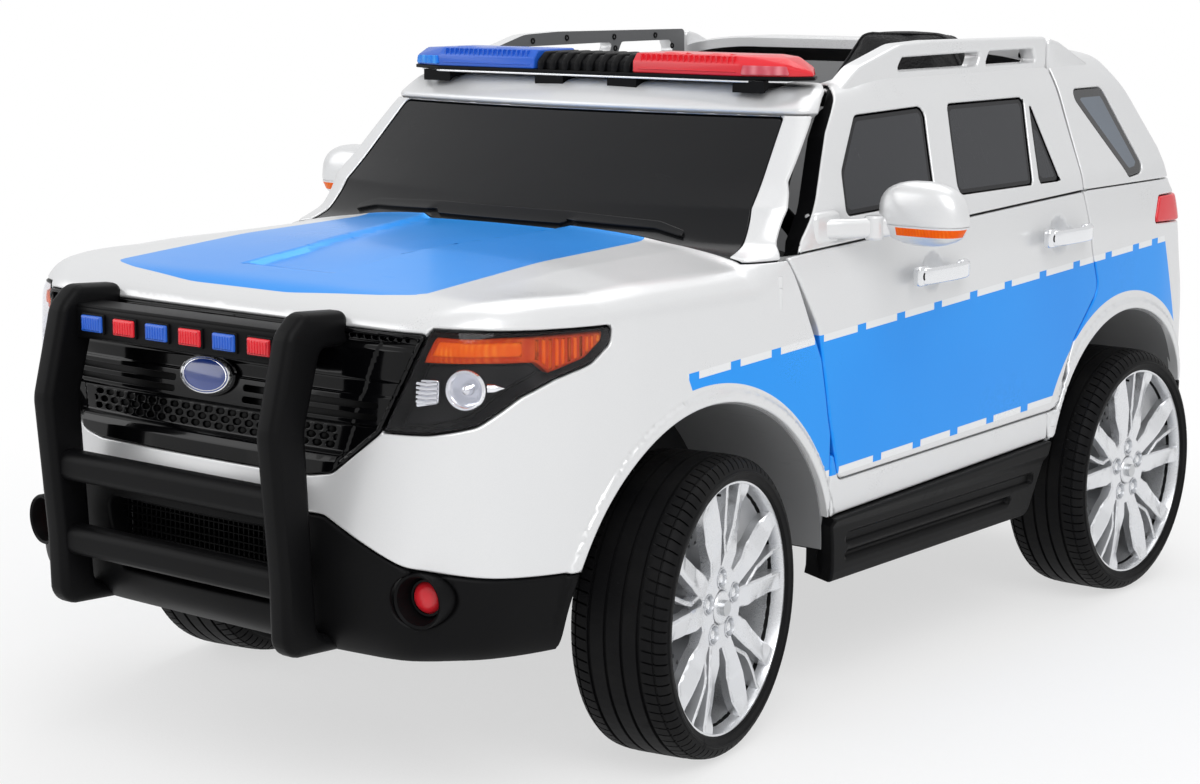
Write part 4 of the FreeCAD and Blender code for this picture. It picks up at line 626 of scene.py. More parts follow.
class Shape:
    """Blocks of faces, in millimetres, on their way to one mesh."""

    def __init__(self) -> None:
        """Start empty."""
        self.blocks: list[Block] = []
        self.sharp = 32.0

    def block(self, verts: Array, faces: Array, slot: int | Array = 0, **extra: Optional[Array]) -> "Shape":
        """Add one block."""
        faces = np.asarray(faces, int)
        if len(faces):
            self.blocks.append(Block(np.asarray(verts, float), faces, slot, **extra))
        return self

    def join(self, *others: "Shape") -> "Shape":
        """Add the blocks of other shapes."""
        for other in others:
            self.blocks += other.blocks
        return self

    def slotted(self, slot: int) -> "Shape":
        """The same shape with every face in one material slot."""
        for block in self.blocks:
            block.slot = slot
        return self

    def changed(self, change: Callable[[Array], Array], flip: bool = False) -> "Shape":
        """A copy with its vertices changed by a function."""
        copy = Shape()
        copy.sharp = self.sharp
        for block in self.blocks:
            verts = change(block.verts)
            faces = block.faces[:, ::-1] if flip else block.faces
            normals = None
            if block.normals is not None:
                tips = change(block.verts[block.faces.ravel()] + block.normals.reshape(-1, 3))
                normals = (tips - verts[block.faces.ravel()]).reshape(block.normals.shape)
                normals = normals[:, ::-1] if flip else normals
            copy.blocks.append(Block(verts, faces, block.slot, normals, block.nearness, block.line))
        return copy

    def moved(self, x: float = 0.0, y: float = 0.0, z: float = 0.0) -> "Shape":
        """A copy moved along the axes."""
        offset = np.array([x, y, z])
        return self.changed(lambda verts: verts + offset)

    def turned(self, matrix: Matrix) -> "Shape":
        """A copy placed by a matrix."""
        turn = np.array(matrix.to_4x4())
        return self.changed(lambda verts: verts @ turn[:3, :3].T + turn[:3, 3])

    def mirrored(self) -> "Shape":
        """The copy on the other side of the centreline."""
        return self.changed(lambda verts: verts * np.array([-1.0, 1.0, 1.0]), flip=True)

    def oriented(self) -> "Shape":
        """The same closed shape, turned right side out where it was inside out."""
        for block in self.blocks:
            corners = block.verts - block.verts.mean(axis=0)
            a, b, c = (corners[block.faces[:, part]] for part in range(3))
            if np.sum(a * np.cross(b, c)) < 0:
                block.faces = block.faces[:, ::-1]
        return self

    def both(self) -> "Shape":
        """The shape with its mirror image."""
        return Shape().join(self, self.mirrored())

    def _mesh(self, name: str) -> bpy.types.Mesh:
        """Write the blocks into a new mesh, in metres."""
        mesh = bpy.data.meshes.new(name)
        verts = np.vstack([block.verts for block in self.blocks]) * MM
        starts = np.cumsum([0] + [len(block.verts) for block in self.blocks])
        sizes = [block.faces.shape[1] for block in self.blocks for _ in range(len(block.faces))]
        corners = np.concatenate([(block.faces + start).ravel() for block, start in zip(self.blocks, starts)])
        mesh.vertices.add(len(verts))
        mesh.vertices.foreach_set("co", verts.astype(np.float32).ravel())
        mesh.loops.add(len(corners))
        mesh.loops.foreach_set("vertex_index", corners.astype(np.int32))
        mesh.polygons.add(len(sizes))
        mesh.polygons.foreach_set("loop_start", np.concatenate([[0], np.cumsum(sizes)[:-1]]).astype(np.int32))
        mesh.polygons.foreach_set("material_index", np.concatenate(
            [np.full(len(block.faces), block.slot) for block in self.blocks]).astype(np.int32))
        mesh.update(calc_edges=True)
        mesh.shade_smooth()
        mesh.set_sharp_from_angle(angle=math.radians(self.sharp))
        for label in ("nearness", "line"):
            given = [getattr(block, label) for block in self.blocks]
            if any(one is not None for one in given):
                values = [np.zeros(len(block.verts)) if one is None else one
                          for block, one in zip(self.blocks, given)]
                layer = mesh.attributes.new(label, "FLOAT", "POINT")
                layer.data.foreach_set("value", np.concatenate(values).astype(np.float32))
        if any(block.normals is not None for block in self.blocks):
            normals = np.vstack([np.zeros((block.faces.size, 3)) if block.normals is None
                                 else block.normals.reshape(-1, 3) for block in self.blocks])
            length = np.linalg.norm(normals, axis=1, keepdims=True)
            mesh.normals_split_custom_set(normals / np.maximum(length, 1e-9))
        return thinned(mesh)

    def piece(self, name: str, body: str, finishes: Sequence["Finish | ClearFinish"],
              replaces: Sequence[str] = (), slot: str = "") -> bpy.types.Object:
        """Make the piece and hand it to the frame.

        Args:
            name: the piece's name.
            body: the body that it moves with.
            finishes: one for each material slot.
            replaces: CAD nodes that it stands for.
            slot: the record's material slot; not used.

        Returns:
            The new object.
        """
        mesh = self._mesh(name)
        for finish in finishes:
            mesh.materials.append(finish.material())
        item = bpy.data.objects.new(name, mesh)
        bpy.context.scene.collection.objects.link(item)
        return keep(item, body, replaces, slot)


def thinned(mesh: bpy.types.Mesh) -> bpy.types.Mesh:
    """Merge the small triangles of a dense mesh where it is nearly flat.

    Args:
        mesh: a finished mesh, with its corner normals.

    Returns:
        The same mesh if it is already light, or else a lighter copy with the same normals.
    """
    triangles = len(mesh.loops) - 2 * len(mesh.polygons)
    if triangles < DENSE:
        return mesh
    normals = np.empty(len(mesh.loops) * 3, np.float32)
    mesh.corner_normals.foreach_get("vector", normals)
    mesh.attributes.new("wanted", "FLOAT_VECTOR", "CORNER").data.foreach_set("vector", normals)
    item = bpy.data.objects.new("dense", mesh)
    bpy.context.scene.collection.objects.link(item)
    item.modifiers.new("thin", "DECIMATE").ratio = THINNING
    graph = bpy.context.evaluated_depsgraph_get()
    light = bpy.data.meshes.new_from_object(item.evaluated_get(graph), preserve_all_data_layers=True,
                                            depsgraph=graph)
    name = mesh.name
    bpy.data.objects.remove(item)
    bpy.data.meshes.remove(mesh)
    light.name = name
    normals = np.empty(len(light.loops) * 3, np.float32)
    light.attributes["wanted"].data.foreach_get("vector", normals)
    light.attributes.remove(light.attributes["wanted"])
    normals = normals.reshape(-1, 3)
    length = np.linalg.norm(normals, axis=1, keepdims=True)
    light.normals_split_custom_set(normals / np.maximum(length, 1e-9))
    return light


def keep(item: bpy.types.Object, body: str, replaces: Sequence[str] = (), slot: str = "") -> bpy.types.Object:
    """Hand a finished object to the frame and report it."""
    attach(item, body)
    if replaces:
        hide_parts(*replaces)
    LOG.info("%s: %d faces on %s", item.name, len(item.data.polygons), body)
    return item


def grid_faces(rows: int, columns: int, wrap_rows: bool = False, wrap_columns: bool = False) -> Array:
    """Quads between the points of a grid stored row by row."""
    row = np.arange(rows if wrap_rows else rows - 1)
    column = np.arange(columns if wrap_columns else columns - 1)
    first, second = np.meshgrid(row, column, indexing="ij")
    below, beside = (first + 1) % rows, (second + 1) % columns
    return np.column_stack([(first * columns + second).ravel(), (first * columns + beside).ravel(),
                            (below * columns + beside).ravel(), (below * columns + second).ravel()])


def lathe(profile: Sequence[Sequence[float]], steps: int, slot: int = 0,
          turns: Optional[Array] = None) -> Shape:
    """Turn a profile about the X axis.

    Args:
        profile: rows of x along the axis and radius, going so that faces point outwards.
        steps: divisions round the axis.
        slot: the material slot.
        turns: uneven angles instead of steps.

    Returns:
        The turned shape; rows of no radius close its ends.
    """
    angles = np.linspace(0.0, 2.0 * math.pi, steps, endpoint=False) if turns is None else turns
    rows = np.array(profile, float)
    verts = np.zeros((len(rows), len(angles), 3))
    verts[:, :, 0] = rows[:, 0, None]
    verts[:, :, 1] = rows[:, 1, None] * np.cos(angles)
    verts[:, :, 2] = rows[:, 1, None] * np.sin(angles)
    return Shape().block(verts.reshape(-1, 3), grid_faces(len(rows), len(angles), False, True), slot)


def prism(outline: Array, low: float, high: float, view: View, bevel: float = 1.0, slot: int = 0,
          steps: int = 3) -> Shape:
    """A flat piece with rounded edges, its outline drawn in one view.

    Args:
        outline: points round the piece.
        low: where it starts across the view.
        high: where it ends.
        view: the plane of the outline.
        bevel: rounding of its edges.
        slot: the material slot.
        steps: divisions of the rounding.

    Returns:
        The closed piece.
    """
    if turning(outline) < 0:
        outline = outline[::-1]
    turns = np.linspace(0.0, math.pi / 2.0, steps + 1) if bevel > 0 else np.array([math.pi / 2.0])
    rings = [(bevel * (math.sin(turn) - 1.0), low + bevel * (1.0 - math.cos(turn))) for turn in turns]
    rings += [(inset, high - (at - low)) for inset, at in reversed(rings)]
    verts = np.vstack([view.lift(grown(outline, inset) if inset < -1e-6 else outline, at) for inset,
                       at in rings])
    count = len(outline)
    last = (len(rings) - 1) * count
    flat = np.vstack([grown(outline, -bevel) if bevel > 0 else outline] * 2)
    faces = np.vstack([split_quads(grid_faces(len(rings), count, False, True)),
                       cap_triangles(flat[:count])[:, ::-1], cap_triangles(flat[:count]) + last])
    return Shape().block(verts, faces[:, ::-1] if view is View.FRONT else faces, slot)


def turning(outline: Array) -> float:
    """Twice the area of a flat outline, positive when it runs anticlockwise."""
    after = np.roll(outline, -1, axis=0)
    return float(np.sum(outline[:, 0] * after[:, 1] - after[:, 0] * outline[:, 1]))


def split_quads(quads: Array) -> Array:
    """Each four-sided face as two triangles."""
    return np.vstack([quads[:, [0, 1, 2]], quads[:, [0, 2, 3]]])


def cap_triangles(flat: Array) -> Array:
    """Triangles that fill a flat outline, all anticlockwise."""
    rows = np.array(tessellate_polygon([[Vector((a, b, 0.0)) for a, b in flat]]))
    first, second, third = (flat[rows[:, part]] for part in range(3))
    one, two = second - first, third - first
    clockwise = one[:, 0] * two[:, 1] - one[:, 1] * two[:, 0] < 0
    rows[clockwise] = rows[clockwise][:, ::-1]
    return rows


def brick(centre: Sequence[float], size: Sequence[float], bevel: float = 1.0, slot: int = 0) -> Shape:
    """A block with rounded edges."""
    half_y, half_z = size[1] / 2.0, size[2] / 2.0
    corner = min(bevel * 1.5, 0.45 * min(size[1], size[2]))
    outline = rounded([(centre[1] - half_y, centre[2] - half_z, corner), (centre[1] + half_y,
        centre[2] - half_z, corner),
                       (centre[1] + half_y, centre[2] + half_z, corner), (centre[1] - half_y,
                           centre[2] + half_z, corner)],
                      30.0)
    bevel = min(bevel, 0.3 * size[0])
    return prism(outline, centre[0] - size[0] / 2.0, centre[0] + size[0] / 2.0, View.SIDE, bevel, slot)


def faceted(points: Sequence[tuple], bevel: float = 1.0) -> Shape:
    """The flat-sided block round a few points, with softened edges."""
    build = bmesh.new()
    corners = [build.verts.new(point) for point in points]
    result = bmesh.ops.convex_hull(build, input=corners)
    bmesh.ops.delete(build, geom=[item for item in result["geom_interior"] if isinstance(item,
        bmesh.types.BMVert)],
                     context="VERTS")
    bmesh.ops.dissolve_limit(build, angle_limit=0.03, verts=build.verts[:], edges=build.edges[:])
    bmesh.ops.bevel(build, geom=build.edges[:], offset=bevel, segments=2, profile=0.5, affect="EDGES",
                    clamp_overlap=True)
    bmesh.ops.triangulate(build, faces=build.faces[:])
    bmesh.ops.recalc_face_normals(build, faces=build.faces[:])
    build.verts.index_update()
    verts = np.array([vert.co[:] for vert in build.verts])
    faces = np.array([[vert.index for vert in face.verts] for face in build.faces])
    build.free()
    return Shape().block(verts, faces).oriented()


def sweep(path: Array, section: Array, slot: int = 0, closed: bool = False,
          up: Sequence[float] = (1.0, 0.0, 0.0), sizes: Optional[Array] = None) -> Shape:
    """Carry a section along a line, its first axis as near as can be to one direction.

    Args:
        path: points in space.
        section: points round the section.
        slot: the material slot.
        closed: whether the line is a ring.
        up: the direction of the section's first axis.
        sizes: scale of the section at each point.

    Returns:
        The tube, closed at its ends.
    """
    count = len(path)
    if closed:
        ahead = np.roll(path, -1, axis=0) - np.roll(path, 1, axis=0)
    else:
        ahead = np.gradient(path, axis=0)
    ahead /= np.linalg.norm(ahead, axis=1, keepdims=True)
    first = np.array(up, float) - ahead * (ahead @ np.array(up, float))[:, None]
    first /= np.linalg.norm(first, axis=1, keepdims=True)
    second = np.cross(ahead, first)
    scale = np.ones(count) if sizes is None else np.asarray(sizes)
    verts = (path[:, None, :] + scale[:, None, None] * (first[:, None, :] * section[None, :, :1]
             + second[:, None, :] * section[None, :, 1:2])).reshape(-1, 3)
    around = len(section)
    faces = split_quads(grid_faces(count, around, closed, True))
    if turning(section) < 0:
        faces = faces[:, ::-1]
    if not closed:
        cap = cap_triangles(section)
        faces = np.vstack([faces, cap[:, ::-1], cap + (count - 1) * around])
    return Shape().block(verts, faces, slot)


def along(points: Sequence[Sequence[float]], spacing: float = 6.0) -> Array:
    """A smooth line through points in space, at even steps."""
    knots = np.array(points, float)
    padded = np.vstack([2 * knots[0] - knots[1], knots, 2 * knots[-1] - knots[-2]])
    rows = []
    for index in range(1, len(padded) - 2):
        a, b, c, d = padded[index - 1:index + 3]
        steps = max(2, int(np.linalg.norm(c - b) / spacing))
        for t in np.linspace(0.0, 1.0, steps, endpoint=False):
            rows.append(0.5 * (2 * b + (c - a) * t + (2 * a - 5 * b + 4 * c - d) * t * t
                               + (3 * b - a - 3 * c + d) * t ** 3))
    rows.append(knots[-1])
    return np.array(rows)


# ---- the hull that every body panel is cut from -----------------------------


def anchor(node: str) -> Array:
    """The middle of a CAD node, in millimetres."""
    low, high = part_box(node)
    return (np.array(low) + np.array(high)) / 2.0 / MM


REAR = float(anchor("tyre_rear_left")[1])
WHEELBASE = 760.0
FRONT = REAR - WHEELBASE
MIDDLE = REAR - WHEELBASE / 2.0
AXLE = float(anchor("tyre_rear_left")[2])
HALF = float(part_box("front_body")[1][0]) / MM
# The door hinges' upright line, in from the doors' widest point and ahead of their front corner.
HINGE_ACROSS = HALF - 13.0
HINGE_ALONG = FRONT + 100.0
DATUM = {"front": FRONT, "middle": MIDDLE, "rear": REAR}


def side(rows: Sequence[tuple]) -> list[tuple[float, float, float]]:
    """Rows of datum, distance behind it, height and corner radius, as corners of a side view."""
    return [(DATUM[datum] + y, z, radius) for datum, y, z, radius in rows]


def mirrored(half: Sequence[tuple]) -> list[tuple]:
    """Corners of one half with their mirror images, as one closed outline."""
    return list(half) + [(-row[0], *row[1:]) for row in reversed(half)]


class Chart:
    """Signed distance to a closed outline over its plane, negative inside."""

    def __init__(self, outline: Array, band: float = 30.0, cell: float = 1.5) -> None:
        """Measure the distance on a fine grid near the outline.

        Args:
            outline: points round it.
            band: distances beyond this are cut off.
            cell: spacing of the grid.
        """
        self.band, self.cell = band, cell
        self.low = outline.min(axis=0) - band
        size = np.ceil((outline.max(axis=0) + band - self.low) / cell).astype(int) + 1
        axes = [self.low[part] + cell * np.arange(size[part]) for part in (0, 1)]
        distance = np.full(tuple(size), band)
        crossings = np.zeros((size[0], size[1] + 1))
        for start, finish in zip(outline, np.roll(outline, -1, axis=0)):
            low = np.maximum(((np.minimum(start, finish) - band - self.low) / cell).astype(int), 0)
            high = np.minimum(((np.maximum(start, finish) + band - self.low) / cell).astype(int) + 2, size)
            a = axes[0][low[0]:high[0], None] - start[0]
            b = axes[1][None, low[1]:high[1]] - start[1]
            run = finish - start
            part = np.clip((a * run[0] + b * run[1]) / max(float(run @ run), 1e-12), 0.0, 1.0)
            window = distance[low[0]:high[0], low[1]:high[1]]
            np.minimum(window, np.hypot(a - part * run[0], b - part * run[1]), out=window)
            columns = np.nonzero((axes[0] >= min(start[0], finish[0])) & (axes[0] < max(start[0],
                finish[0])))[0]
            if len(columns):
                at = start[1] + (axes[0][columns] - start[0]) / run[0] * run[1]
                rows = np.clip(np.ceil((at - self.low[1]) / cell).astype(int), 0, size[1])
                np.add.at(crossings, (columns, rows), 1)
        inside = np.cumsum(crossings, axis=1)[:, :-1] % 2 == 1
        self.grid = np.where(inside, -distance, distance)

    def __call__(self, a: Array, b: Array) -> Array:
        """Distance at points of the plane."""
        rows, columns = self.grid.shape
        u = np.clip((a - self.low[0]) / self.cell, 0.0, rows - 1.001)
        v = np.clip((b - self.low[1]) / self.cell, 0.0, columns - 1.001)
        i, j = u.astype(int), v.astype(int)
        u, v = u - i, v - j
        grid = self.grid
        return ((grid[i, j] * (1 - u) + grid[i + 1, j] * u) * (1 - v)
                + (grid[i, j + 1] * (1 - u) + grid[i + 1, j + 1] * u) * v)


Field = Callable[[Array], Array]


class Zone:
    """A region of the hull, put together from outlines and half spaces."""

    def __init__(self, test: Field, leaves: Sequence[Field], parts: tuple = ()) -> None:
        """Keep the region's distance and the lines that bound it."""
        self.test, self.leaves, self.parts = test, list(leaves), parts

    @staticmethod
    def leaf(test: Field) -> "Zone":
        """The region where one function is negative."""
        return Zone(test, [test])

    @staticmethod
    def drawn(outline: Array, view: View, band: float = 30.0) -> "Zone":
        """The region inside an outline seen in one view."""
        chart = Chart(outline, band)
        first, second, _ = view.value
        return Zone.leaf(lambda points: chart(points[:, first], points[:, second]))

    @staticmethod
    def beyond(axis: int, limit: float) -> "Zone":
        """Everything past a plane across one axis."""
        return Zone.leaf(lambda points: limit - points[:, axis])

    def __and__(self, other: "Zone") -> "Zone":
        """Where both are."""
        one, two = self.test, other.test
        return Zone(lambda points: np.maximum(one(points), two(points)), self.leaves + other.leaves,
                    ("and", self, other))

    def __or__(self, other: "Zone") -> "Zone":
        """Where either is."""
        one, two = self.test, other.test
        return Zone(lambda points: np.minimum(one(points), two(points)), self.leaves + other.leaves,
                    ("or", self, other))

    def __invert__(self) -> "Zone":
        """Where it isn't."""
        test = self.test
        return Zone(lambda points: -test(points), self.leaves, ("not", self))

    def __sub__(self, other: "Zone") -> "Zone":
        """Where it is and the other isn't."""
        return self & ~other

    def shrunk(self, gap: float) -> "Zone":
        """The region with its edges drawn in by a gap."""
        if self.parts and self.parts[0] == "and":
            return self.parts[1].shrunk(gap) & self.parts[2].shrunk(gap)
        if self.parts and self.parts[0] == "or":
            return self.parts[1].shrunk(gap) | self.parts[2].shrunk(gap)
        if self.parts:
            return ~self.parts[1].shrunk(-gap)
        test = self.test
        return Zone.leaf(lambda points: test(points) + gap)


class Skin:
    """A triangle mesh with normals, on its way to being cut into panels."""

    def __init__(self, verts: Array, normals: Array, faces: Array) -> None:
        """Keep the vertices, their normals and the triangles."""
        self.verts, self.normals, self.faces = verts, normals, faces

    def kept(self, choice: Array) -> "Skin":
        """Only some of the triangles, with the vertices they use."""
        faces = self.faces[choice]
        used, faces = np.unique(faces, return_inverse=True)
        return Skin(self.verts[used], self.normals[used], faces.reshape(-1, 3))

    def split(self, level: Array) -> tuple["Skin", Array]:
        """Cut the triangles along the line where a value on the vertices is zero.

        Args:
            level: the value at each vertex.

        Returns:
            The cut mesh, and the value at its vertices.
        """
        level = np.where(np.abs(level) < 0.04, np.where(level > 0, 0.04, -0.04), level)
        outside = level > 0
        count = outside[self.faces].sum(axis=1)
        whole = self.faces[(count == 0) | (count == 3)]
        mixed = self.faces[(count == 1) | (count == 2)]
        if not len(mixed):
            return self, level
        lone = np.where(outside[mixed].sum(axis=1) == 1, 1, 0)[:, None] == outside[mixed]
        turn = np.argmax(lone, axis=1)
        rows = np.arange(len(mixed))
        a, b, c = (mixed[rows, (turn + part) % 3] for part in range(3))
        edges = np.sort(np.vstack([np.column_stack([a, b]), np.column_stack([a, c])]), axis=1)
        unique, inverse = np.unique(edges, axis=0, return_inverse=True)
        inverse = inverse.ravel()
        one, two = unique[:, 0], unique[:, 1]
        part = (level[one] / (level[one] - level[two]))[:, None]
        verts = self.verts[one] * (1 - part) + self.verts[two] * part
        normals = self.normals[one] * (1 - part) + self.normals[two] * part
        normals /= np.maximum(np.linalg.norm(normals, axis=1, keepdims=True), 1e-9)
        first = inverse[:len(mixed)] + len(self.verts)
        second = inverse[len(mixed):] + len(self.verts)
        faces = np.vstack([whole, np.column_stack([a, first, second]), np.column_stack([first, b, c]),
                           np.column_stack([first, c, second])])
        return (Skin(np.vstack([self.verts, verts]), np.vstack([self.normals, normals]), faces),
                np.concatenate([level, np.zeros(len(verts))]))

    def within(self, zone: Zone) -> "Skin":
        """The part of the mesh inside a zone, cut exactly along its edges."""
        skin = self.kept((zone.test(self.verts)[self.faces] < 12.0).any(axis=1))
        for leaf in zone.leaves:
            skin = skin.split(leaf(skin.verts))[0]
        middles = skin.verts[skin.faces].mean(axis=1)
        return skin.kept(zone.test(middles) < 0)

    def panel(self, zone: Zone, wall: float, roll: float = 2.0, gap: float = 0.7, sink: float = 0.0,
              slot: int = 0, inner: int = 0, edge: int = -1, chamfer: bool = False,
              line: Optional[Field] = None) -> Shape:
        """Cut a panel with rolled edges and a real thickness.

        Args:
            zone: the panel's region.
            wall: its thickness.
            roll: rounding of its edges.
            gap: how far its edges stand back from the zone's.
            sink: how far it lies under the hull.
            slot: material slot of its face.
            inner: material slot of its back.
            edge: material slot of its cut edges, if it isn't its face's.
            chamfer: flat edges instead of round ones.
            line: a painted line's distance, kept on the vertices.

        Returns:
            The closed panel.
        """
        zone = zone.shrunk(gap)
        skin = self.within(zone)
        level = np.minimum(zone.test(skin.verts), 0.0)
        steps = (roll,) if chamfer else (roll, 0.62 * roll, 0.3 * roll, 0.08 * roll)
        for step in steps:
            skin, shifted = skin.split(level + step)
            level = np.minimum(shifted - step, 0.0)
        depth = np.clip((roll + level) / roll, 0.0, 1.0)
        drop = roll * (depth * 0.8 if chamfer else 1.0 - np.sqrt(1.0 - depth ** 2))
        shift = 0.6
        slope = np.column_stack([
            zone.test(skin.verts
                      + shift * axis) - zone.test(skin.verts - shift * axis) for axis in np.eye(3)])
        slope -= skin.normals * np.sum(slope * skin.normals, axis=1, keepdims=True)
        slope /= np.maximum(np.linalg.norm(slope, axis=1, keepdims=True), 1e-6)
        lean = np.where(depth > 0.02, 0.72, 0.0) if chamfer else depth
        tilted = skin.normals * np.sqrt(1.0 - lean ** 2)[:, None] + slope * lean[:, None]
        outer = skin.verts - skin.normals * (drop + sink)[:, None]
        back = skin.verts - skin.normals * wall
        count = len(outer)
        edges = np.vstack([skin.faces[:, [0, 1]], skin.faces[:, [1, 2]], skin.faces[:, [2, 0]]])
        key = np.sort(edges, axis=1)
        _, index, times = np.unique(key, axis=0, return_index=True, return_counts=True)
        rim = edges[index[times == 1]]
        near, far = rim[:, 0], rim[:, 1]
        rims = np.vstack([np.column_stack([near, far + count, far]), np.column_stack([near, near + count,
            far + count])])
        verts = np.vstack([outer, back])
        nearness = np.concatenate([np.maximum(0.0, 20.0 + level), np.full(count, 0.0)])
        painted = None if line is None else np.concatenate([-line(skin.verts), np.full(count, -20.0)])
        walls = slope[np.where(rims < count, rims, rims - count)]
        faces = np.vstack([skin.faces, rims, skin.faces[:, ::-1] + count])
        normals = np.concatenate([tilted[skin.faces], walls, -skin.normals[skin.faces[:, ::-1]]])
        slots = np.full(len(faces), slot)
        slots[len(skin.faces) + len(rims):] = inner
        slots[len(skin.faces):len(skin.faces) + len(rims)] = slot if edge < 0 else edge
        return Shape().block(verts, faces, slots, normals=normals, nearness=nearness, line=painted)


@dataclass
class Hull:
    """The car's outer surface: a side, a front and a plan outline with rounded meetings.

    Heights are over the floor, and distances behind an axle as in the CAD model.
    """

    cell: float = 4.5
    shoulder: float = 30.0
    roof_edge: float = 14.0
    lip_proud: float = 4.2
    lip_width: float = 12.5
    silhouette: tuple = (
        ("front", -300, 130, 0), ("front", -326, 150, 20), ("front", -334, 215, 0), ("front", -316, 290, 0),
        ("front", -300, 372, 0), ("front", -291, 408, 0), ("front", -255, 424, 0), ("front", -100, 441, 0),
        ("front", 62, 450, 0), ("front", 172, 553, 0), ("front", 200, 572, 0), ("front", 270, 576, 0),
        ("middle", 20, 603, 0), ("rear", -20, 603, 0), ("rear", 22, 592, 0), ("rear", 60, 552, 0),
        ("rear", 122, 449, 0), ("rear", 136, 438, 0), ("rear", 156, 360, 0), ("rear", 178, 313, 0),
        ("rear", 201, 258, 0), ("rear", 206, 222, 0), ("rear", 206, 150, 20), ("rear", 190, 130, 0))
    from_front: tuple = ((14, 100), (2, 215), (0, 300), (1, 405), (8, 437), (36, 515), (50, 556), (68, 588),
                         (118, 603),
                         (160, 612))
    plan: tuple = (("rear", 240, 190), ("rear", 208, 150), ("rear", 196, 62), ("rear", 150, 12), ("rear",
        90, 0),
                   ("front", -110, 0), ("front", -175, 8), ("front", -262, 40), ("front", -312, 92),
                   ("front", -334, 190), ("front", -350, 280))
    front_arch: tuple[float, float] = (188.0, 125.0)
    rear_arch: tuple[float, float] = (161.0, 151.0)
    bow: tuple = ((424, 4), (438, 24), (462, 34), (490, 35), (549, 28), (572, 25), (592, 4))
    cowl_drop: float = 18.0
    dishes: tuple = (("middle", -26, 394), ("rear", -156, 408))
    dish: float = 20.0
    dish_depth: float = 8.0
    recess: tuple = ((-212, 56), (-135, 55), (66, 92))
    recess_depth: float = 4.4
    facet_line: float = 216.0
    facet_fall: float = 4.5
    charts: dict = field(default_factory=dict)
    eased: tuple = ()

    def __post_init__(self) -> None:
        """Draw the three outlines and measure the surface."""
        outline = softened(np.array([row[:2] for row in side(self.silhouette)]), 9.0)
        section = mirrored([(HALF - inset, z) for inset, z in self.from_front])
        plan = mirrored([(HALF - inset, DATUM[datum] + y) for datum, y, inset in self.plan])
        self.charts = {View.SIDE: Chart(outline, 70.0, 2.0),
                       View.FRONT: Chart(softened(np.array(section), 9.0), 70.0, 2.0),
                       View.PLAN: Chart(softened(np.array(plan), 16.0), 70.0, 2.0)}
        levels = np.arange(400.0, 620.0, 1.0)
        kernel = np.exp(-(np.arange(-30.0, 31.0) / 9.0) ** 2)
        self.eased = (levels, np.convolve(np.pad(np.interp(levels, *zip(*self.bow)), 30, "edge"),
                                          kernel / kernel.sum(), "valid"))
        self.skin = self._surface()

    def _meet(self, parts: Sequence[Array], radius: Array) -> Array:
        """The largest of three distances, with rounded meetings."""
        total = sum(np.maximum(part + radius, 0.0) ** 2 for part in parts)
        return np.minimum(np.maximum(np.maximum(parts[0], parts[1]), parts[2]), -radius) + np.sqrt(total)

    def _radius(self, z: Array) -> Array:
        """The rounding at a height: broad on the wings, tighter at the roof."""
        return self.roof_edge + (self.shoulder - self.roof_edge) * np.clip((484.0 - z) / 42.0, 0.0, 1.0)

    def lips(self, x: Array, y: Array, z: Array) -> Array:
        """How far the wheel arches' lips stand proud."""
        proud = 0.0
        for datum, (radius, level) in (("front", self.front_arch), ("rear", self.rear_arch)):
            reach = np.hypot(y - DATUM[datum], np.maximum(z - level, 0.0)) - radius
            rise = np.clip((self.lip_width - reach) / 3.0, 0.0, 1.0)
            fade = np.clip((z - 150.0) / 40.0, 0.0, 1.0)
            proud = proud + self.lip_proud * rise * rise * (3.0 - 2.0 * rise) * fade * (reach > -40.0)
        for datum, behind, level in self.dishes:
            reach = np.hypot(y - DATUM[datum] - behind, z - level) / self.dish
            proud = proud - self.dish_depth * np.clip(1.0 - reach * reach, 0.0, 1.0)
        return proud * (np.abs(x) > 200.0)

    def bowed(self, x: Array, y: Array, z: Array) -> tuple[Array, Array]:
        """Where a point lies in the side outline, as screen and cowl fall back towards their ends."""
        levels, depths = self.eased
        ahead = np.clip((60.0 - y) / 60.0, 0.0, 1.0) * (x / 250.0) ** 2
        drop = np.clip((y - FRONT + 268.0) / 330.0, 0.0, 1.0) * np.clip((470.0 - z) / 30.0, 0.0, 1.0)
        return y - np.interp(z, levels, depths) * ahead, z + self.cowl_drop * drop * ahead

    def nose(self, x: Array, z: Array) -> Array:
        """Where the nose's surface is, from front points."""
        near, far = np.full(len(x), FRONT - 360.0), np.full(len(x), FRONT - 150.0)
        for _ in range(22):
            middle = (near + far) / 2.0
            inside = self.value(np.column_stack([x, middle, z])) < 0
            near, far = np.where(inside, near, middle), np.where(inside, middle, far)
        return near

    def creases(self, x: Array, y: Array, z: Array) -> Array:
        """How far the bonnet's sunk middle and the facets over the wings lie below its curve."""
        behind, off = y - FRONT, np.abs(x)
        on_top = np.clip((z - 408.0) / 12.0, 0.0, 1.0) * np.clip((74.0 - behind) / 14.0, 0.0, 1.0)
        places, halves = zip(*self.recess)
        inside = np.clip((np.interp(behind, places, halves) - off) / 9.0, 0.0, 1.0)
        inside = np.minimum(inside, np.clip((behind - places[0]) / 16.0, 0.0, 1.0))
        outside = np.clip((off - self.facet_line) / 74.0, 0.0, 1.2) * np.clip((behind - places[0]) / 70.0,
            0.0, 1.0)
        return on_top * (self.recess_depth * inside + self.facet_fall * outside)

    def value(self, points: Array) -> Array:
        """Signed distance to the hull."""
        x, y, z = points.T
        parts = (self.charts[View.SIDE](*self.bowed(x, y, z)), self.charts[View.FRONT](x, z),
                 self.charts[View.PLAN](x, y))
        return self._meet(parts, self._radius(z)) - self.lips(x, y, z) + self.creases(x, y, z)

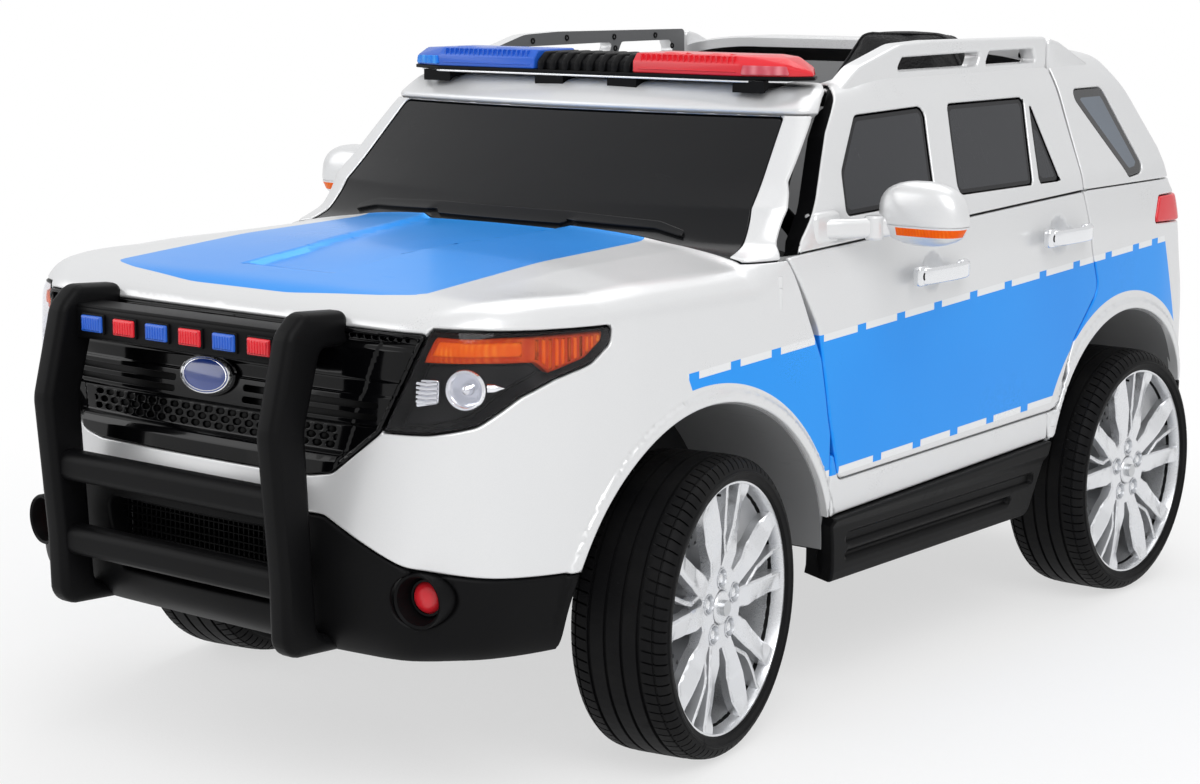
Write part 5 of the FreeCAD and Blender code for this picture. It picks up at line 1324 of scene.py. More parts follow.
    def slope(self, points: Array, shift: float = 1.6) -> Array:
        """Gradient of the distance."""
        return np.column_stack([self.value(points + shift * axis) - self.value(points - shift * axis)
                                for axis in np.eye(3)]) / (2.0 * shift)

    def _surface(self) -> Skin:
        """Net the surface on a grid, then draw its vertices onto it."""
        cell = self.cell
        side_chart = self.charts[View.SIDE]
        axes = [np.arange(-HALF - 12.0, HALF + 12.0 + cell, cell),
                np.arange(side_chart.low[0] + 60.0,
                          side_chart.low[0] + side_chart.grid.shape[0] * 2.0 - 60.0, cell),
                np.arange(118.0, 618.0, cell)]
        x, y, z = (axis.astype(np.float32) for axis in axes)
        flat = [side_chart(*np.broadcast_arrays(*self.bowed(x[:, None, None], y[None, :, None], z[None,
            None, :]))),
                self.charts[View.FRONT](*np.meshgrid(x, z, indexing="ij"))[:, None, :],
                self.charts[View.PLAN](*np.meshgrid(x, y, indexing="ij"))[:, :, None]]
        parts = np.broadcast_arrays(*(part.astype(np.float32) for part in flat))
        grid = self._meet(parts, self._radius(z)[None, None, :])
        grid = grid - self.lips(x[:, None, None], y[None, :, None], z[None, None, :])
        inside = grid < 0
        count = sum(inside[i:inside.shape[0] - 1 + i, j:inside.shape[1] - 1 + j,
                           k:inside.shape[2] - 1 + k].astype(np.int8)
                    for i in (0, 1) for j in (0, 1) for k in (0, 1))
        active = (count > 0) & (count < 8)
        number = np.full(active.shape, -1)
        number[active] = np.arange(active.sum())
        where = np.argwhere(active)
        verts = np.column_stack([axes[part][where[:, part]] + cell / 2.0 for part in range(3)])
        faces = []
        for axis in range(3):
            first, second = (axis + 1) % 3, (axis + 2) % 3
            near = [slice(None)] * 3
            far = [slice(None)] * 3
            near[axis], far[axis] = slice(0, -1), slice(1, None)
            change = inside[tuple(near)] != inside[tuple(far)]
            spots = np.argwhere(change)
            good = np.all(spots[:, [first, second]] > 0, axis=1) & np.all(
                spots[:, [first, second]] < np.array(active.shape)[[first, second]], axis=1)
            spots = spots[good]
            leaving = inside[tuple(spots.T)]
            corners = []
            for shift in ((0, 0), (1, 0), (1, 1), (0, 1)):
                cell_at = spots.copy()
                cell_at[:, first] -= 1 - shift[0]
                cell_at[:, second] -= 1 - shift[1]
                corners.append(number[tuple(cell_at.T)])
            quads = np.column_stack(corners)
            quads[~leaving] = quads[~leaving][:, ::-1]
            faces.append(quads[np.all(quads >= 0, axis=1)])
        for _ in range(4):
            slope = self.slope(verts)
            length = np.sum(slope * slope, axis=1, keepdims=True)
            verts = verts - slope * (self.value(verts)[:, None] / np.maximum(length, 0.2))
        slope = self.slope(verts)
        normals = slope / np.maximum(np.linalg.norm(slope, axis=1, keepdims=True), 1e-6)
        quads = np.vstack(faces)
        one = np.linalg.norm(verts[quads[:, 0]] - verts[quads[:, 2]], axis=1)
        two = np.linalg.norm(verts[quads[:, 1]] - verts[quads[:, 3]], axis=1)
        short = one < two
        triangles = np.vstack([quads[short][:, [0, 1, 2]], quads[short][:, [0, 2, 3]],
                               quads[~short][:, [0, 1, 3]], quads[~short][:, [1, 2, 3]]])
        return Skin(verts, normals, triangles)


# ---- body panels ------------------------------------------------------------


class Side(Enum):
    """The car's left and right, with the sign of X."""

    LEFT = 1
    RIGHT = -1

    @property
    def word(self) -> str:
        """The side's name in node names."""
        return self.name.lower()

    def turn(self, shape: Shape) -> Shape:
        """A left-hand shape, made for this side."""
        return shape if self is Side.LEFT else shape.mirrored()


@dataclass
class BodyPanels:
    """Every painted panel, window and moulding that follows the hull."""

    hull: Hull
    wall: float = 12.0
    door_wall: float = 22.0
    seam: float = 1.3
    door: tuple = (
        ("front", 112, 431, 0), ("front", 160, 360, 40), ("front", 179, 274, 0), ("front", 197, 214, 10),
        ("rear", -154, 222, 16), ("rear", -117, 293, 30), ("rear", -66, 342, 20), ("rear", -82, 386, 0),
        ("rear", -95, 449, 0))
    door_frame: tuple = (
        ("front", 129, 431, 0), ("front", 173, 478, 0), ("front", 216, 534, 0), ("front", 258, 574, 22),
        ("front", 300, 581, 0),
        ("rear", -98, 581, 10), ("rear", -97, 523, 0), ("rear", -95, 449, 0))
    front_window: tuple = (
        ("front", 214, 458, 6), ("front", 225, 497, 14), ("front", 271, 546, 12), ("middle", 14, 549, 8),
        ("middle", -10, 462, 8))
    rear_window: tuple = (
        ("middle", 34, 463, 8), ("middle", 58, 549, 8), ("rear", -172, 549, 5), ("rear", -200, 463, 5))
    corner_window: tuple = (("rear", -162, 546, 2), ("rear", -186, 463, 3), ("rear", -142, 463, 3))
    quarter_window: tuple = (
        ("rear", -74, 553, 8), ("rear", 0, 553, 10), ("rear", 48, 460, 10), ("rear", 10, 456, 8))
    grille_hole: tuple = ((128, 281, 14), (152, 285, 14), (197, 321, 14), (216.5, 364, 0), (231, 401, 3))
    bumper_top: tuple = ((HALF + 20, 190, 0), (222, 216, 40), (178, 235, 30), (146, 250, 16))
    lamp_front: tuple = ((198, 321, 3), (217.5, 364, 0), (233, 406, 4), (400, 406, 0), (400, 321, 0))
    lamp_side: tuple = (("front", -400, 321, 0), ("front", -290, 322, 0), ("front", -264, 328, 12),
                        ("front", -230, 349, 24),
                        ("front", -197, 361, 20), ("front", -160, 369, 20), ("front", -138, 383, 7),
                        ("front", -136, 398, 4), ("front", -213, 401, 0), ("front", -282, 406, 0), ("front",
                            -400, 406, 0))
    screen: tuple = ((HALF - 47, 424, 6), (HALF - 74, 548, 5))
    cowl_strip: tuple = ((78, 449, 0), (82, 452.5, 0), (176, 449.5, 0), (204, 444, 0), (204, 449, 0), (176,
        456, 0), (80, 460, 0))
    tail_window: tuple = ((205, 466, 14), (176, 548, 14))
    bonnet_paint: tuple = ((100, -296, 6), (176, -300, 26), (188, -622, 12), (150, -634, 50), (60, -648, 90))
    header_plan: tuple = ((40, 120, 0), (48, 190, 8), (48, 212, 20), (60, 240, 20), (86, 272, 8))

    def zone(self, rows: Sequence[tuple]) -> Zone:
        """A region drawn from the side, from rows by datum."""
        return Zone.drawn(rounded(side(rows)), View.SIDE)

    def front_zone(self, half: Sequence[tuple]) -> Zone:
        """A region drawn from the front, from one half's corners."""
        return Zone.drawn(rounded(mirrored(half)), View.FRONT)

    def arch(self, end: str, sizes: tuple[float, float]) -> Zone:
        """A wheel opening, open downwards."""
        radius, level = sizes
        top = circle(radius, 180, (DATUM[end], level))
        top = top[top[:, 1] >= level - 1e-6]
        top = top[np.argsort(-top[:, 0])]
        outline = np.vstack([top, [(DATUM[end] - radius, 0.0), (DATUM[end] + radius, 0.0)]])
        return Zone.drawn(outline, View.SIDE)

    def __post_init__(self) -> None:
        """Draw the regions that the panels are made of."""
        self.left = Zone.beyond(0, 0.0)
        self.door_zone = self.zone(self.door)
        self.frame_zone = self.zone(self.door_frame)
        self.arches = self.arch("front", self.hull.front_arch) | self.arch("rear", self.hull.rear_arch)
        self.nose = ~Zone.beyond(1, FRONT - 150.0)
        bumper = [(HALF + 40, 0, 0), (HALF + 40, 197, 0)] + list(self.bumper_top)
        self.bumper_zone = self.front_zone(bumper) & self.nose
        self.grille_zone = self.front_zone(self.grille_hole) & self.nose
        lamp = (Zone.drawn(rounded(self.lamp_front), View.FRONT) | Zone.drawn(
            rounded([(-a, b, c) for a, b, c in self.lamp_front]), View.FRONT)) & ~Zone.beyond(1, FRONT)
        self.lamp_zone = lamp & self.zone(self.lamp_side)
        self.screen_zone = self.front_zone(self.screen) & ~Zone.beyond(1, FRONT + 232.0)
        self.cowl = Zone.leaf(lambda p: FRONT + 58.0 - self.hull.bowed(*p.T)[0])
        self.tail_zone = self.front_zone(self.tail_window) & Zone.beyond(1, REAR + 30.0)
        self.tail_lamps = self.zone((("rear", 60, 402, 4), ("rear", 74, 431, 4), ("rear", 240, 431, 0),
                                     ("rear", 240, 396, 0)))
        self.tail_lamps &= Zone.beyond(0, 190.0) | ~Zone.beyond(0, -190.0)
        self.windows = (self.zone(self.front_window) | self.zone(self.rear_window)
                        | self.zone(self.corner_window))

    def bonnet_line(self) -> Field:
        """Distance to the painted panel on the bonnet, counted only on the top."""
        corners = [(a, MIDDLE + b, c) for a, b, c in self.bonnet_paint]
        chart = Chart(rounded(mirrored(corners)), 24.0, 1.5)
        return lambda points: np.maximum(chart(points[:, 0], points[:, 1]), 404.0 - points[:, 2])

    def cut(self, zone: Zone, **sizes: object) -> Shape:
        """Cut a panel of the body's own thickness from the hull."""
        return self.hull.skin.panel(zone, **{"wall": self.wall, "gap": self.seam / 2.0, **sizes})

    def build_front(self) -> None:
        """Wings, nose and bonnet; bumper; grille and lamp covers are built by their own classes."""
        shell = self.zone((("front", -400, 100, 0), ("front", 183, 100, 0), ("front", 183, 300, 0),
                           ("front", 116, 428, 0), ("front", -400, 428, 0)))
        shell = shell | (Zone.beyond(2, 412.0) & ~Zone.beyond(2, 480.0) & ~Zone.beyond(1,
            FRONT + 112.0) & ~self.cowl)
        body = shell - self.door_zone - self.frame_zone - self.arches - self.bumper_zone - self.grille_zone
        body = body - self.lamp_zone
        body = body & (Zone.beyond(2, 181.0) | self.nose)
        shape = self.cut(body, line=self.bonnet_line(), inner=1)
        shape.join(self.hinge_posts()).piece("body_front", "root", (SILVER, INNER_GREY), ("front_body",),
                                             "silver_shell")
        fog = Zone.drawn(circle(21.0, 48, (233.0, 189.0)), View.FRONT)
        fog = fog | Zone.drawn(circle(21.0, 48, (-233.0, 189.0)), View.FRONT)
        intake = Zone.drawn(rounded(mirrored([(96, 170, 6), (112, 232, 8)])), View.FRONT)
        bumper = self.bumper_zone & Zone.beyond(2, 133.0)
        bumper = bumper - self.arches - fog - intake
        self.cut(bumper, wall=20.0, roll=3.0).piece("bumper_front", "root", (MATT_BLACK,), (), "matt_black")

    def hinge_posts(self) -> Shape:
        """The door hinges' pins on their bosses inside the wings."""
        x, y = HINGE_ACROSS, HINGE_ALONG
        boss = lathe([(384, 0), (384, 4.4), (403.5, 4.4), (403.5, 2.6), (412, 2.6), (412, 0)], 24)
        return boss.changed(lambda v: np.column_stack([v[:, 1] + x, v[:, 2] + y, v[:, 0]])).both()

    def build_sides(self) -> None:
        """Rocker strips and the rear quarters, with the rear bumper and the tail lamp lenses."""
        doors = self.door_zone | self.frame_zone
        strip = self.zone((("front", 183, 181, 0), ("rear", -168, 193, 0), ("rear", -168, 240, 0),
                           ("front", 183, 240, 0)))
        rocker = self.cut(strip - self.door_zone - self.arches, inner=1, gap=0.4)
        rocker.piece("rocker_strips", "root", (SILVER, INNER_GREY), ("rocker_panels",), "silver_shell")
        tail = self.zone((("rear", -168, 193, 0), ("rear", 0, 193, 0), ("rear", 160, 214, 0), ("rear", 260,
            214, 0),
                          ("rear", 260, 449, 0), ("rear", -168, 449, 0)))
        rear = self.cut(tail - doors - self.arches - self.tail_lamps, inner=1)
        rear.piece("body_rear", "root", (SILVER, INNER_GREY), ("rear_body",), "silver_shell")
        low = self.zone((("rear", 100, 134, 0), ("rear", 260, 134, 0), ("rear", 260, 214, 0), ("rear", 160,
            214, 0),
                         ("rear", 100, 206, 0)))
        self.cut(low - self.arches, wall=20.0, roll=3.0).piece(
            "bumper_rear", "root", (MATT_BLACK,), ("rear_bumper",), "matt_black")
        lamps = self.cut(self.tail_lamps, sink=-1.0, roll=2.5)
        lamps.piece("tail_lamp_lenses", "root", (RED_LENS,), ("tail_lamps",), "small_lamp")

    def build_top(self) -> None:
        """Rear roof, its windows, the windscreen and its frame, and the header."""
        upper = self.zone((("rear", -94, 449, 0), ("rear", 260, 449, 0), ("rear", 260, 640, 0),
                           ("rear", -94, 640, 0)))
        quarter = self.zone(self.quarter_window)
        shell = self.cut(upper - self.frame_zone - quarter - self.tail_zone, inner=1)
        foot = rounded(side((("rear", -96, 570, 0), ("rear", -96, 608, 6), ("rear", -72, 603, 24), ("rear",
            -10, 579, 0),
                             ("rear", -10, 562, 0))), 5.0)
        shell.join(prism(foot, HALF - 80.0, HALF - 62.0, View.SIDE, 3.5).both())
        shell.piece("roof_rear", "root", (SILVER, INNER_GREY), ("rear_upper",), "silver_shell")
        self.cut(quarter & Zone.beyond(1, 0.0), wall=6.0, sink=1.6, gap=0.5, roll=1.0).piece(
            "quarter_windows", "root", (QUARTER_GLASS,), ("quarter_glass",), "dark_window")
        self.cut(self.tail_zone, wall=6.0, sink=1.6, gap=0.5, roll=1.0).piece(
            "tailgate_window", "root", (QUARTER_GLASS,), ("tailgate_glass",), "dark_window")
        posts = self.zone((("front", 0, 428, 0), ("front", 107, 428, 0), ("front", 151, 493, 0), ("front",
            209, 550, 0),
                           ("front", 0, 550, 0))) & self.cowl
        frame_shape = self.cut(posts - self.frame_zone - self.screen_zone, inner=1, edge=1, wall=20.0,
                               roll=1.6)
        frame_shape.piece("windscreen_frame", "root", (SILVER, DARK_UNIT), ("windshield_frame",),
                          "silver_shell")
        pane = self.cut(self.screen_zone & self.cowl & Zone.beyond(2, 428.0) & ~Zone.beyond(2, 549.0),
                        wall=8.0, sink=2.0, gap=0.4, roll=1.2)
        pane.piece("windscreen", "root", (SCREEN_BLACK,), ("windshield",), "dark_window")
        strip = self.front_zone(self.cowl_strip) & ~Zone.beyond(1, FRONT + 120.0) & Zone.beyond(1,
            FRONT + 20.0)
        self.cut(strip, wall=6.0, sink=-1.0, gap=0.0, roll=0.8).piece(
            "cowl_strip", "root", (SCREEN_BLACK,), (), "dark_window")
        beam = self.zone((("front", 150, 550, 0), ("front", 258, 550, 0), ("front", 272, 560, 14),
                          ("front", 272, 640, 0), ("front", 150, 640, 0)))
        seen = rounded(mirrored([(HALF - inset, FRONT + y, radius) for inset, y, radius in self.header_plan]))
        beam = beam & Zone.drawn(seen, View.PLAN)
        self.cut(beam - self.frame_zone, inner=1, wall=16.0, roll=3.0, sink=-2.0).piece(
            "header_beam", "root", (SILVER, INNER_GREY), ("header",), "silver_shell")

    def build_door(self, at: Side) -> None:
        """One door: its panel, window frame, windows."""
        here = self.left if at is Side.LEFT else ~self.left
        body = "door_" + at.word
        panel = self.cut(self.door_zone & here, wall=self.door_wall, gap=self.seam, inner=1, roll=2.6)
        panel.join(at.turn(self.hinge_eye()))
        panel.piece("door_panel_" + at.word, body, (SILVER, INNER_GREY), ("door_" + at.word,), "silver_shell")
        outer = self.frame_zone & here & (Zone.beyond(0, 221.0) if at is Side.LEFT else ~Zone.beyond(0,
            -221.0))
        frame_shape = self.cut(outer - self.windows, wall=self.door_wall, gap=0.8, inner=1, edge=1, roll=1.8)
        frame_shape.join(at.turn(self.rail()))
        frame_shape.piece("window_frame_" + at.word, body, (SILVER, DARK_UNIT, INNER_GREY),
                          ("door_frame_" + at.word,), "silver_shell")
        panes = self.cut(self.windows & here, wall=7.0, sink=2.6, gap=0.6, roll=0.8)
        panes.piece("door_windows_" + at.word, body, (SIDE_GLASS,), ("door_glass_" + at.word,), "dark_window")

    def hinge_eye(self) -> Shape:
        """The eye and swan neck that reach round the wing's edge."""
        x, y, low, high = HINGE_ACROSS, HINGE_ALONG, 404.0, 414.0
        ring = lathe([(low, 3.0), (low, 4.4), (high, 4.4), (high, 3.0), (low, 3.0)], 24)
        ring = ring.changed(lambda v: np.column_stack([v[:, 1] + x, v[:, 2] + y, v[:, 0]]))
        middle = (low + high) / 2.0
        neck = brick((x - 13.5, y, middle), (16, 5, 14), 1.0)
        strap = brick((x - 20.0, y + 19.0, middle), (5, 43, 14), 1.0)
        pad = brick((x - 16.0, y + 36.0, middle), (14, 10, 14), 1.0)
        return Shape().join(ring, neck, strap, pad)

    def rail(self) -> Shape:
        """The roof rail with its two openings, its inner face dark with screw bosses."""
        outside = HALF - 62.0
        outline = rounded(side((("front", 262, 566, 0), ("front", 300, 590, 40), ("front", 372, 609, 60),
                                ("front", 430, 611, 0), ("rear", -100, 609, 5), ("rear", -100, 576, 0))))
        openings = [rounded(side(rows)) for rows in (
            (("middle", -14, 583, 3), ("middle", -3, 596, 4), ("middle", 146, 597, 4), ("middle", 138, 583,
                3)),
            (("middle", 154, 583, 3), ("middle", 162, 597, 4), ("rear", -128, 597, 4), ("rear", -121, 583,
                3)))]
        zone = Zone.drawn(outline, View.SIDE) - Zone.drawn(openings[0], View.SIDE) - Zone.drawn(openings[1],
            View.SIDE)
        flat = flat_skin(outline, 3.0, View.SIDE, outside)
        rail = flat.panel(zone, 18.0, roll=3.5, gap=0.0, inner=2)
        screw = lathe([(0.0, 3.4), (-1.0, 3.2), (-1.2, 2.0), (0.2, 1.8), (0.4, 0.1)], 16, slot=1)
        for middle, level in ((6, 602), (64, 604), (148, 603), (150, 590), (224, 603), (256, 590), (-40,
            592)):
            rail.join(screw.moved(x=outside - 18.0, y=MIDDLE + middle, z=level))
        return rail

    def build(self) -> None:
        """Build every panel."""
        self.build_front()
        self.build_sides()
        self.build_top()
        for at in Side:
            self.build_door(at)


def flat_skin(outline: Array, spacing: float, view: View, across: float,
              shape: Optional[Callable[[Array, Array], Array]] = None) -> Skin:
    """An even triangle mesh over an outline's box, facing outwards along the view.

    Args:
        outline: what it has to cover.
        spacing: size of its triangles.
        view: the plane.
        across: its place across the plane.
        shape: height over that plane from the plane's two coordinates.

    Returns:
        The mesh with its normals.
    """
    low, high = outline.min(axis=0) - 2 * spacing, outline.max(axis=0) + 2 * spacing
    size = np.ceil((high - low) / spacing).astype(int) + 1
    a, b = np.meshgrid(low[0] + spacing * np.arange(size[0]), low[1] + spacing * np.arange(size[1]),
                       indexing="ij")
    flat = np.column_stack([a.ravel(), b.ravel()])
    height = (lambda one, two: np.zeros(len(one))) if shape is None else shape
    verts = view.lift(flat, across + height(flat[:, 0], flat[:, 1]))
    shift = 0.5
    along_a = (height(flat[:, 0] + shift, flat[:, 1]) - height(flat[:, 0] - shift, flat[:, 1])) / (2 * shift)
    along_b = (height(flat[:, 0], flat[:, 1] + shift) - height(flat[:, 0], flat[:, 1] - shift)) / (2 * shift)
    normals = view.lift(np.column_stack([-along_a, -along_b]), 1.0)
    normals /= np.linalg.norm(normals, axis=1, keepdims=True)
    faces = split_quads(grid_faces(size[0], size[1]))
    return Skin(verts, normals, faces if view is View.FRONT else faces[:, ::-1])


# ---- copies by geometry nodes -----------------------------------------------


class Copies:
    """A geometry node tree that repeats a shape by steps along a line or round an axis."""

    tree: Optional[bpy.types.NodeTree] = None

    @classmethod
    def _tree(cls) -> bpy.types.NodeTree:
        """Build the tree once: each copy is moved and turned by its number times a step."""
        if cls.tree is not None:
            return cls.tree
        tree = bpy.data.node_groups.new("copies", "GeometryNodeTree")
        face = tree.interface
        face.new_socket("Geometry", in_out="INPUT", socket_type="NodeSocketGeometry")
        for name, kind in (("Count", "Int"), ("Step", "Vector"), ("Turn", "Vector"), ("Material",
            "Material")):
            face.new_socket(name, in_out="INPUT", socket_type="NodeSocket" + kind)
        face.new_socket("Geometry", in_out="OUTPUT", socket_type="NodeSocketGeometry")
        node = {key: tree.nodes.new(kind) for key, kind in (
            ("in", "NodeGroupInput"), ("index", "GeometryNodeInputIndex"), ("points", "GeometryNodePoints"),
            ("step", "ShaderNodeVectorMath"), ("turn", "ShaderNodeVectorMath"), ("copy",
                "GeometryNodeInstanceOnPoints"),
            ("real", "GeometryNodeRealizeInstances"), ("dress", "GeometryNodeSetMaterial"), ("out",
                "NodeGroupOutput"))}
        links = (("in", "Count", "points", "Count"), ("in", "Step", "step", 0), ("in", "Turn", "turn", 0),
                 ("index", 0, "step", 1), ("index", 0, "turn", 1), ("step", 0, "points", "Position"),
                 ("points", 0, "copy", "Points"), ("in", "Geometry", "copy", "Instance"), ("turn", 0,
                     "copy", "Rotation"),
                 ("copy", 0, "real", 0), ("real", 0, "dress", "Geometry"), ("in", "Material", "dress",
                     "Material"),
                 ("dress", 0, "out", 0))
        node["step"].operation = node["turn"].operation = "MULTIPLY"
        for start, output, end, target in links:
            tree.links.new(node[start].outputs[output], node[end].inputs[target])
        cls.tree = tree
        return tree

    @classmethod
    def of(cls, shape: Shape, count: int, step: Sequence[float] = (0, 0, 0), turn: Sequence[float] = (0, 0,
        0),
           finish: "Finish | None" = None, slot: int = 0) -> Shape:
        """Repeat a shape.

        Args:
            shape: the first copy, in its place.
            count: how many copies.
            step: movement from one to the next, in millimetres.
            turn: turn about the origin's axes from one to the next, in degrees.
            finish: the finish of the copies.
            slot: their slot in the piece that they join.

        Returns:
            All the copies as one shape.
        """
        source = bpy.data.objects.new("copies_source", shape._mesh("copies_source"))
        bpy.context.scene.collection.objects.link(source)
        modifier = source.modifiers.new("copies", "NODES")
        modifier.node_group = cls._tree()
        given = {"Count": count, "Step": [part * MM for part in step],
                 "Turn": [math.radians(part) for part in turn],
                 "Material": (finish or MATT_BLACK).material()}
        for item in modifier.node_group.interface.items_tree:
            if item.item_type == "SOCKET" and item.in_out == "INPUT" and item.name in given:
                modifier[item.identifier] = given[item.name]
        source.update_tag()
        graph = bpy.context.evaluated_depsgraph_get()
        mesh = bpy.data.meshes.new_from_object(source.evaluated_get(graph))
        bpy.data.objects.remove(source)
        verts = np.zeros(len(mesh.vertices) * 3)
        mesh.vertices.foreach_get("co", verts)
        mesh.calc_loop_triangles()
        faces = np.zeros(len(mesh.loop_triangles) * 3, np.int32)
        mesh.loop_triangles.foreach_get("vertices", faces)
        bpy.data.meshes.remove(mesh)
        return Shape().block(verts.reshape(-1, 3) / MM, faces.reshape(-1, 3), slot)


# ---- wheels -----------------------------------------------------------------


class Corner(Enum):
    """The four wheels: end of the car and side."""

    FRONT_LEFT = ("front", Side.LEFT)
    FRONT_RIGHT = ("front", Side.RIGHT)
    REAR_LEFT = ("rear", Side.LEFT)
    REAR_RIGHT = ("rear", Side.RIGHT)


@dataclass
class Wheel:
    """A low tyre with grooves and sipes on a rim of ten wide spokes and five thin ribs.

    It is built about the origin with its outer face towards +X, in millimetres.
    """

    radius: float = 134.0
    bead: float = 111.5
    sipes: int = 84
    rim: float = 112.0
    lip: float = 42.0
    hub: float = 37.0
    lug_circle: float = 26.0
    lug_hole: float = 8.3
    steer: float = 9.6
    kingpin: float = 282.0
    track: float = 275.0

    def tread_profile(self) -> Array:
        """Half of the tyre's section from its middle to its bead: distance out, radius, sipe depth."""
        rows = [(0, 0), (6.2, 0), (6.6, 2.4), (9.0, 2.4), (9.4, 0), (15, 0), (21.6, 0.1), (22.0, 2.6),
                (24.6, 2.6),
                (25.0, 0.3), (28, 0.4), (32, 0.9), (35.6, 1.6), (36.0, 3.0), (37.4, 3.4), (37.8, 2.3),
                (40.0, 3.6),
                (42.5, 5.6), (44.6, 8.4), (45.6, 11.0), (45.9, 12.6), (46.9, 13.2), (47.0, 15.0), (46.2,
                    16.2),
                (45.9, 18.4), (45.2, 20.6), (43.6, 21.6), (42.4, 22.4), (38.0, 23.2)]
        return np.array([(out, self.radius - fall, float(25.5 < out < 45.0 and fall < 10.0)) for out,
                         fall in rows])

    def tyre(self) -> Shape:
        """The tyre, with sipes cut over its shoulders."""
        half = self.tread_profile()
        profile = np.vstack([half[:0:-1] * (-1, 1, 1), half])
        pitch = 2.0 * math.pi / self.sipes
        steps = np.array([0.0, 0.025, 0.15, 0.175, 0.42, 0.72])
        cut = np.array([0.0, 1.0, 1.0, 0.0, 0.0, 0.0])
        turns = (np.arange(self.sipes)[:, None] + steps[None, :]).ravel() * pitch
        depth = np.tile(cut, self.sipes)[None, :] * profile[:, 2][:, None] * 1.8
        slant = np.abs(profile[:, 0])[:, None] * 0.0016 * np.sign(profile[:, 0])[:, None]
        radius = profile[:, 1][:, None] - depth
        out = profile[:, 0][:, None] - np.sign(profile[:, 0])[:, None] * depth * np.clip(
            (np.abs(profile[:, 0])[:, None] - 36.0) / 9.0, 0.0, 1.0)
        verts = np.stack([np.broadcast_to(out, radius.shape), radius * np.cos(turns + slant),
                          radius * np.sin(turns + slant)], axis=-1)
        inner = lathe([(38.0, self.radius - 23.2), (30.0, 106.0), (-30.0, 106.0), (-38.0,
            self.radius - 23.2)], 96)
        near = np.where((profile[:, 1] > 120) & (np.abs(profile[:, 0]) > 36), 18.6, 0.0)
        return Shape().block(verts.reshape(-1, 3), grid_faces(len(profile), len(turns), False, True),
                             nearness=np.repeat(near, len(turns))).join(inner)

    def _sector(self, points: Array, period: float) -> tuple[Array, Array]:
        """Points of the wheel's face turned into the sector about one axis."""
        turn = np.arctan2(points[:, 1], points[:, 2])
        radius = np.hypot(points[:, 1], points[:, 2])
        turn = (turn + period / 2.0) % period - period / 2.0
        return radius * np.cos(turn), radius * np.sin(turn)

    def _spoke_place(self, points: Array) -> tuple[Array, Array]:
        """Distance out along the nearest wide spoke, and to its side."""
        out, aside = self._sector(points, math.radians(72.0))
        tilt = math.radians(17.0)
        aside = np.abs(aside)
        return out * math.cos(tilt) + aside * math.sin(tilt), aside * math.cos(tilt) - out * math.sin(tilt)

    def height(self, y: Array, z: Array) -> Array:
        """Height of the spoked face: hollow at the hub, with a ridge down each spoke's outer part."""
        points = np.column_stack([np.zeros(len(y)), y, z])
        radius = np.hypot(y, z)
        out, aside = self._spoke_place(points)
        base = np.interp(radius, [0, 36, 42, 72, 92, 106, 110, 114], [-7.5, -7.5, -6.5, -1.8, -1.4, -1.6,
                                                                      -0.8, -0.5])
        ridge = np.clip((out - 50.0) / 18.0, 0.0, 1.0) * np.clip((104.0 - out) / 10.0, 0.0, 1.0)
        return base - ridge * np.clip((aside + 7.0) * 0.30, 0.0, 6.0)

    def face(self) -> Shape:
        """The rim's face: hub, spokes, ribs and outer ring, cut from one dished sheet."""
        def wide(points: Array) -> Array:
            """Distance to the ten wide spokes."""
            out, aside = self._spoke_place(points)
            half = np.interp(out, [24, 60, 84, 112], [8.6, 10.6, 10.4, 9.0])
            return np.maximum(np.abs(aside) - half, 20.0 - out)

        def thin(points: Array) -> Array:
            """Distance to the five thin ribs."""
            out, aside = self._sector(points, math.radians(72.0))
            line = np.interp(out, [34, 46, 66, 80, 112], [8.5, 6.0, -2.6, -2.8, 0.5])
            return np.maximum(np.abs(aside - line) - 2.0, 30.0 - out)

        def lugs(points: Array) -> Array:
            """Distance to the wheel nuts' holes."""
            out, aside = self._sector(points, math.radians(72.0))
            return np.hypot(out - self.lug_circle, aside) - self.lug_hole

        disc = Zone.leaf(lambda p: np.hypot(p[:, 1], p[:, 2]) - self.hub)
        ring = Zone.leaf(lambda p: 108.6 - np.hypot(p[:, 1], p[:, 2]))
        edge = Zone.leaf(lambda p: np.hypot(p[:, 1], p[:, 2]) - self.rim)
        cap = Zone.leaf(lambda p: 15.2 - np.hypot(p[:, 1], p[:, 2]))
        zone = ((disc | Zone.leaf(wide) | Zone.leaf(thin) | ring) & edge & cap) - Zone.leaf(lugs)
        square = np.array([(-self.rim, -self.rim), (self.rim, self.rim)])
        sheet = flat_skin(square, 2.1, View.SIDE, self.lip, self.height)
        return sheet.panel(zone, 11.0, roll=1.9, gap=0.0, chamfer=True)

    def barrel(self) -> Shape:
        """The rim's barrel, hub cap, lug cups and hub."""
        lip = self.lip
        shell = lathe([(-lip, 108), (-lip, 112), (-38, 110.6), (38, 110.6), (lip - 0.6, 112.2), (lip + 0.2,
            111.6),
                       (lip + 0.1, 109.8), (lip - 3, 108.6), (lip - 16, 105.5), (-34, 103.5), (-lip, 108)],
                      128)
        cap = lathe([(lip - 16, 0.1), (lip - 16, 14.4), (lip - 8.0, 14.6), (lip - 6.6, 13.6), (lip - 6.4,
            12.0),
                     (lip - 6.2, 6), (lip - 6.1, 0.1)], 64)
        hub = lathe([(-30, 0.1), (-30, 17), (lip - 15, 20), (lip - 15, 0.1)], 48)
        cup = lathe([(lip - 16, 7.2), (lip - 7.2, 8.9), (lip - 6.9, 8.4), (lip - 15.5, 6.8), (lip - 15.5,
            0.1)], 32)
        cups = Copies.of(cup.moved(z=self.lug_circle), 5, turn=(72, 0, 0), finish=WHEEL_SILVER)
        return Shape().join(shell, cap, hub, cups)

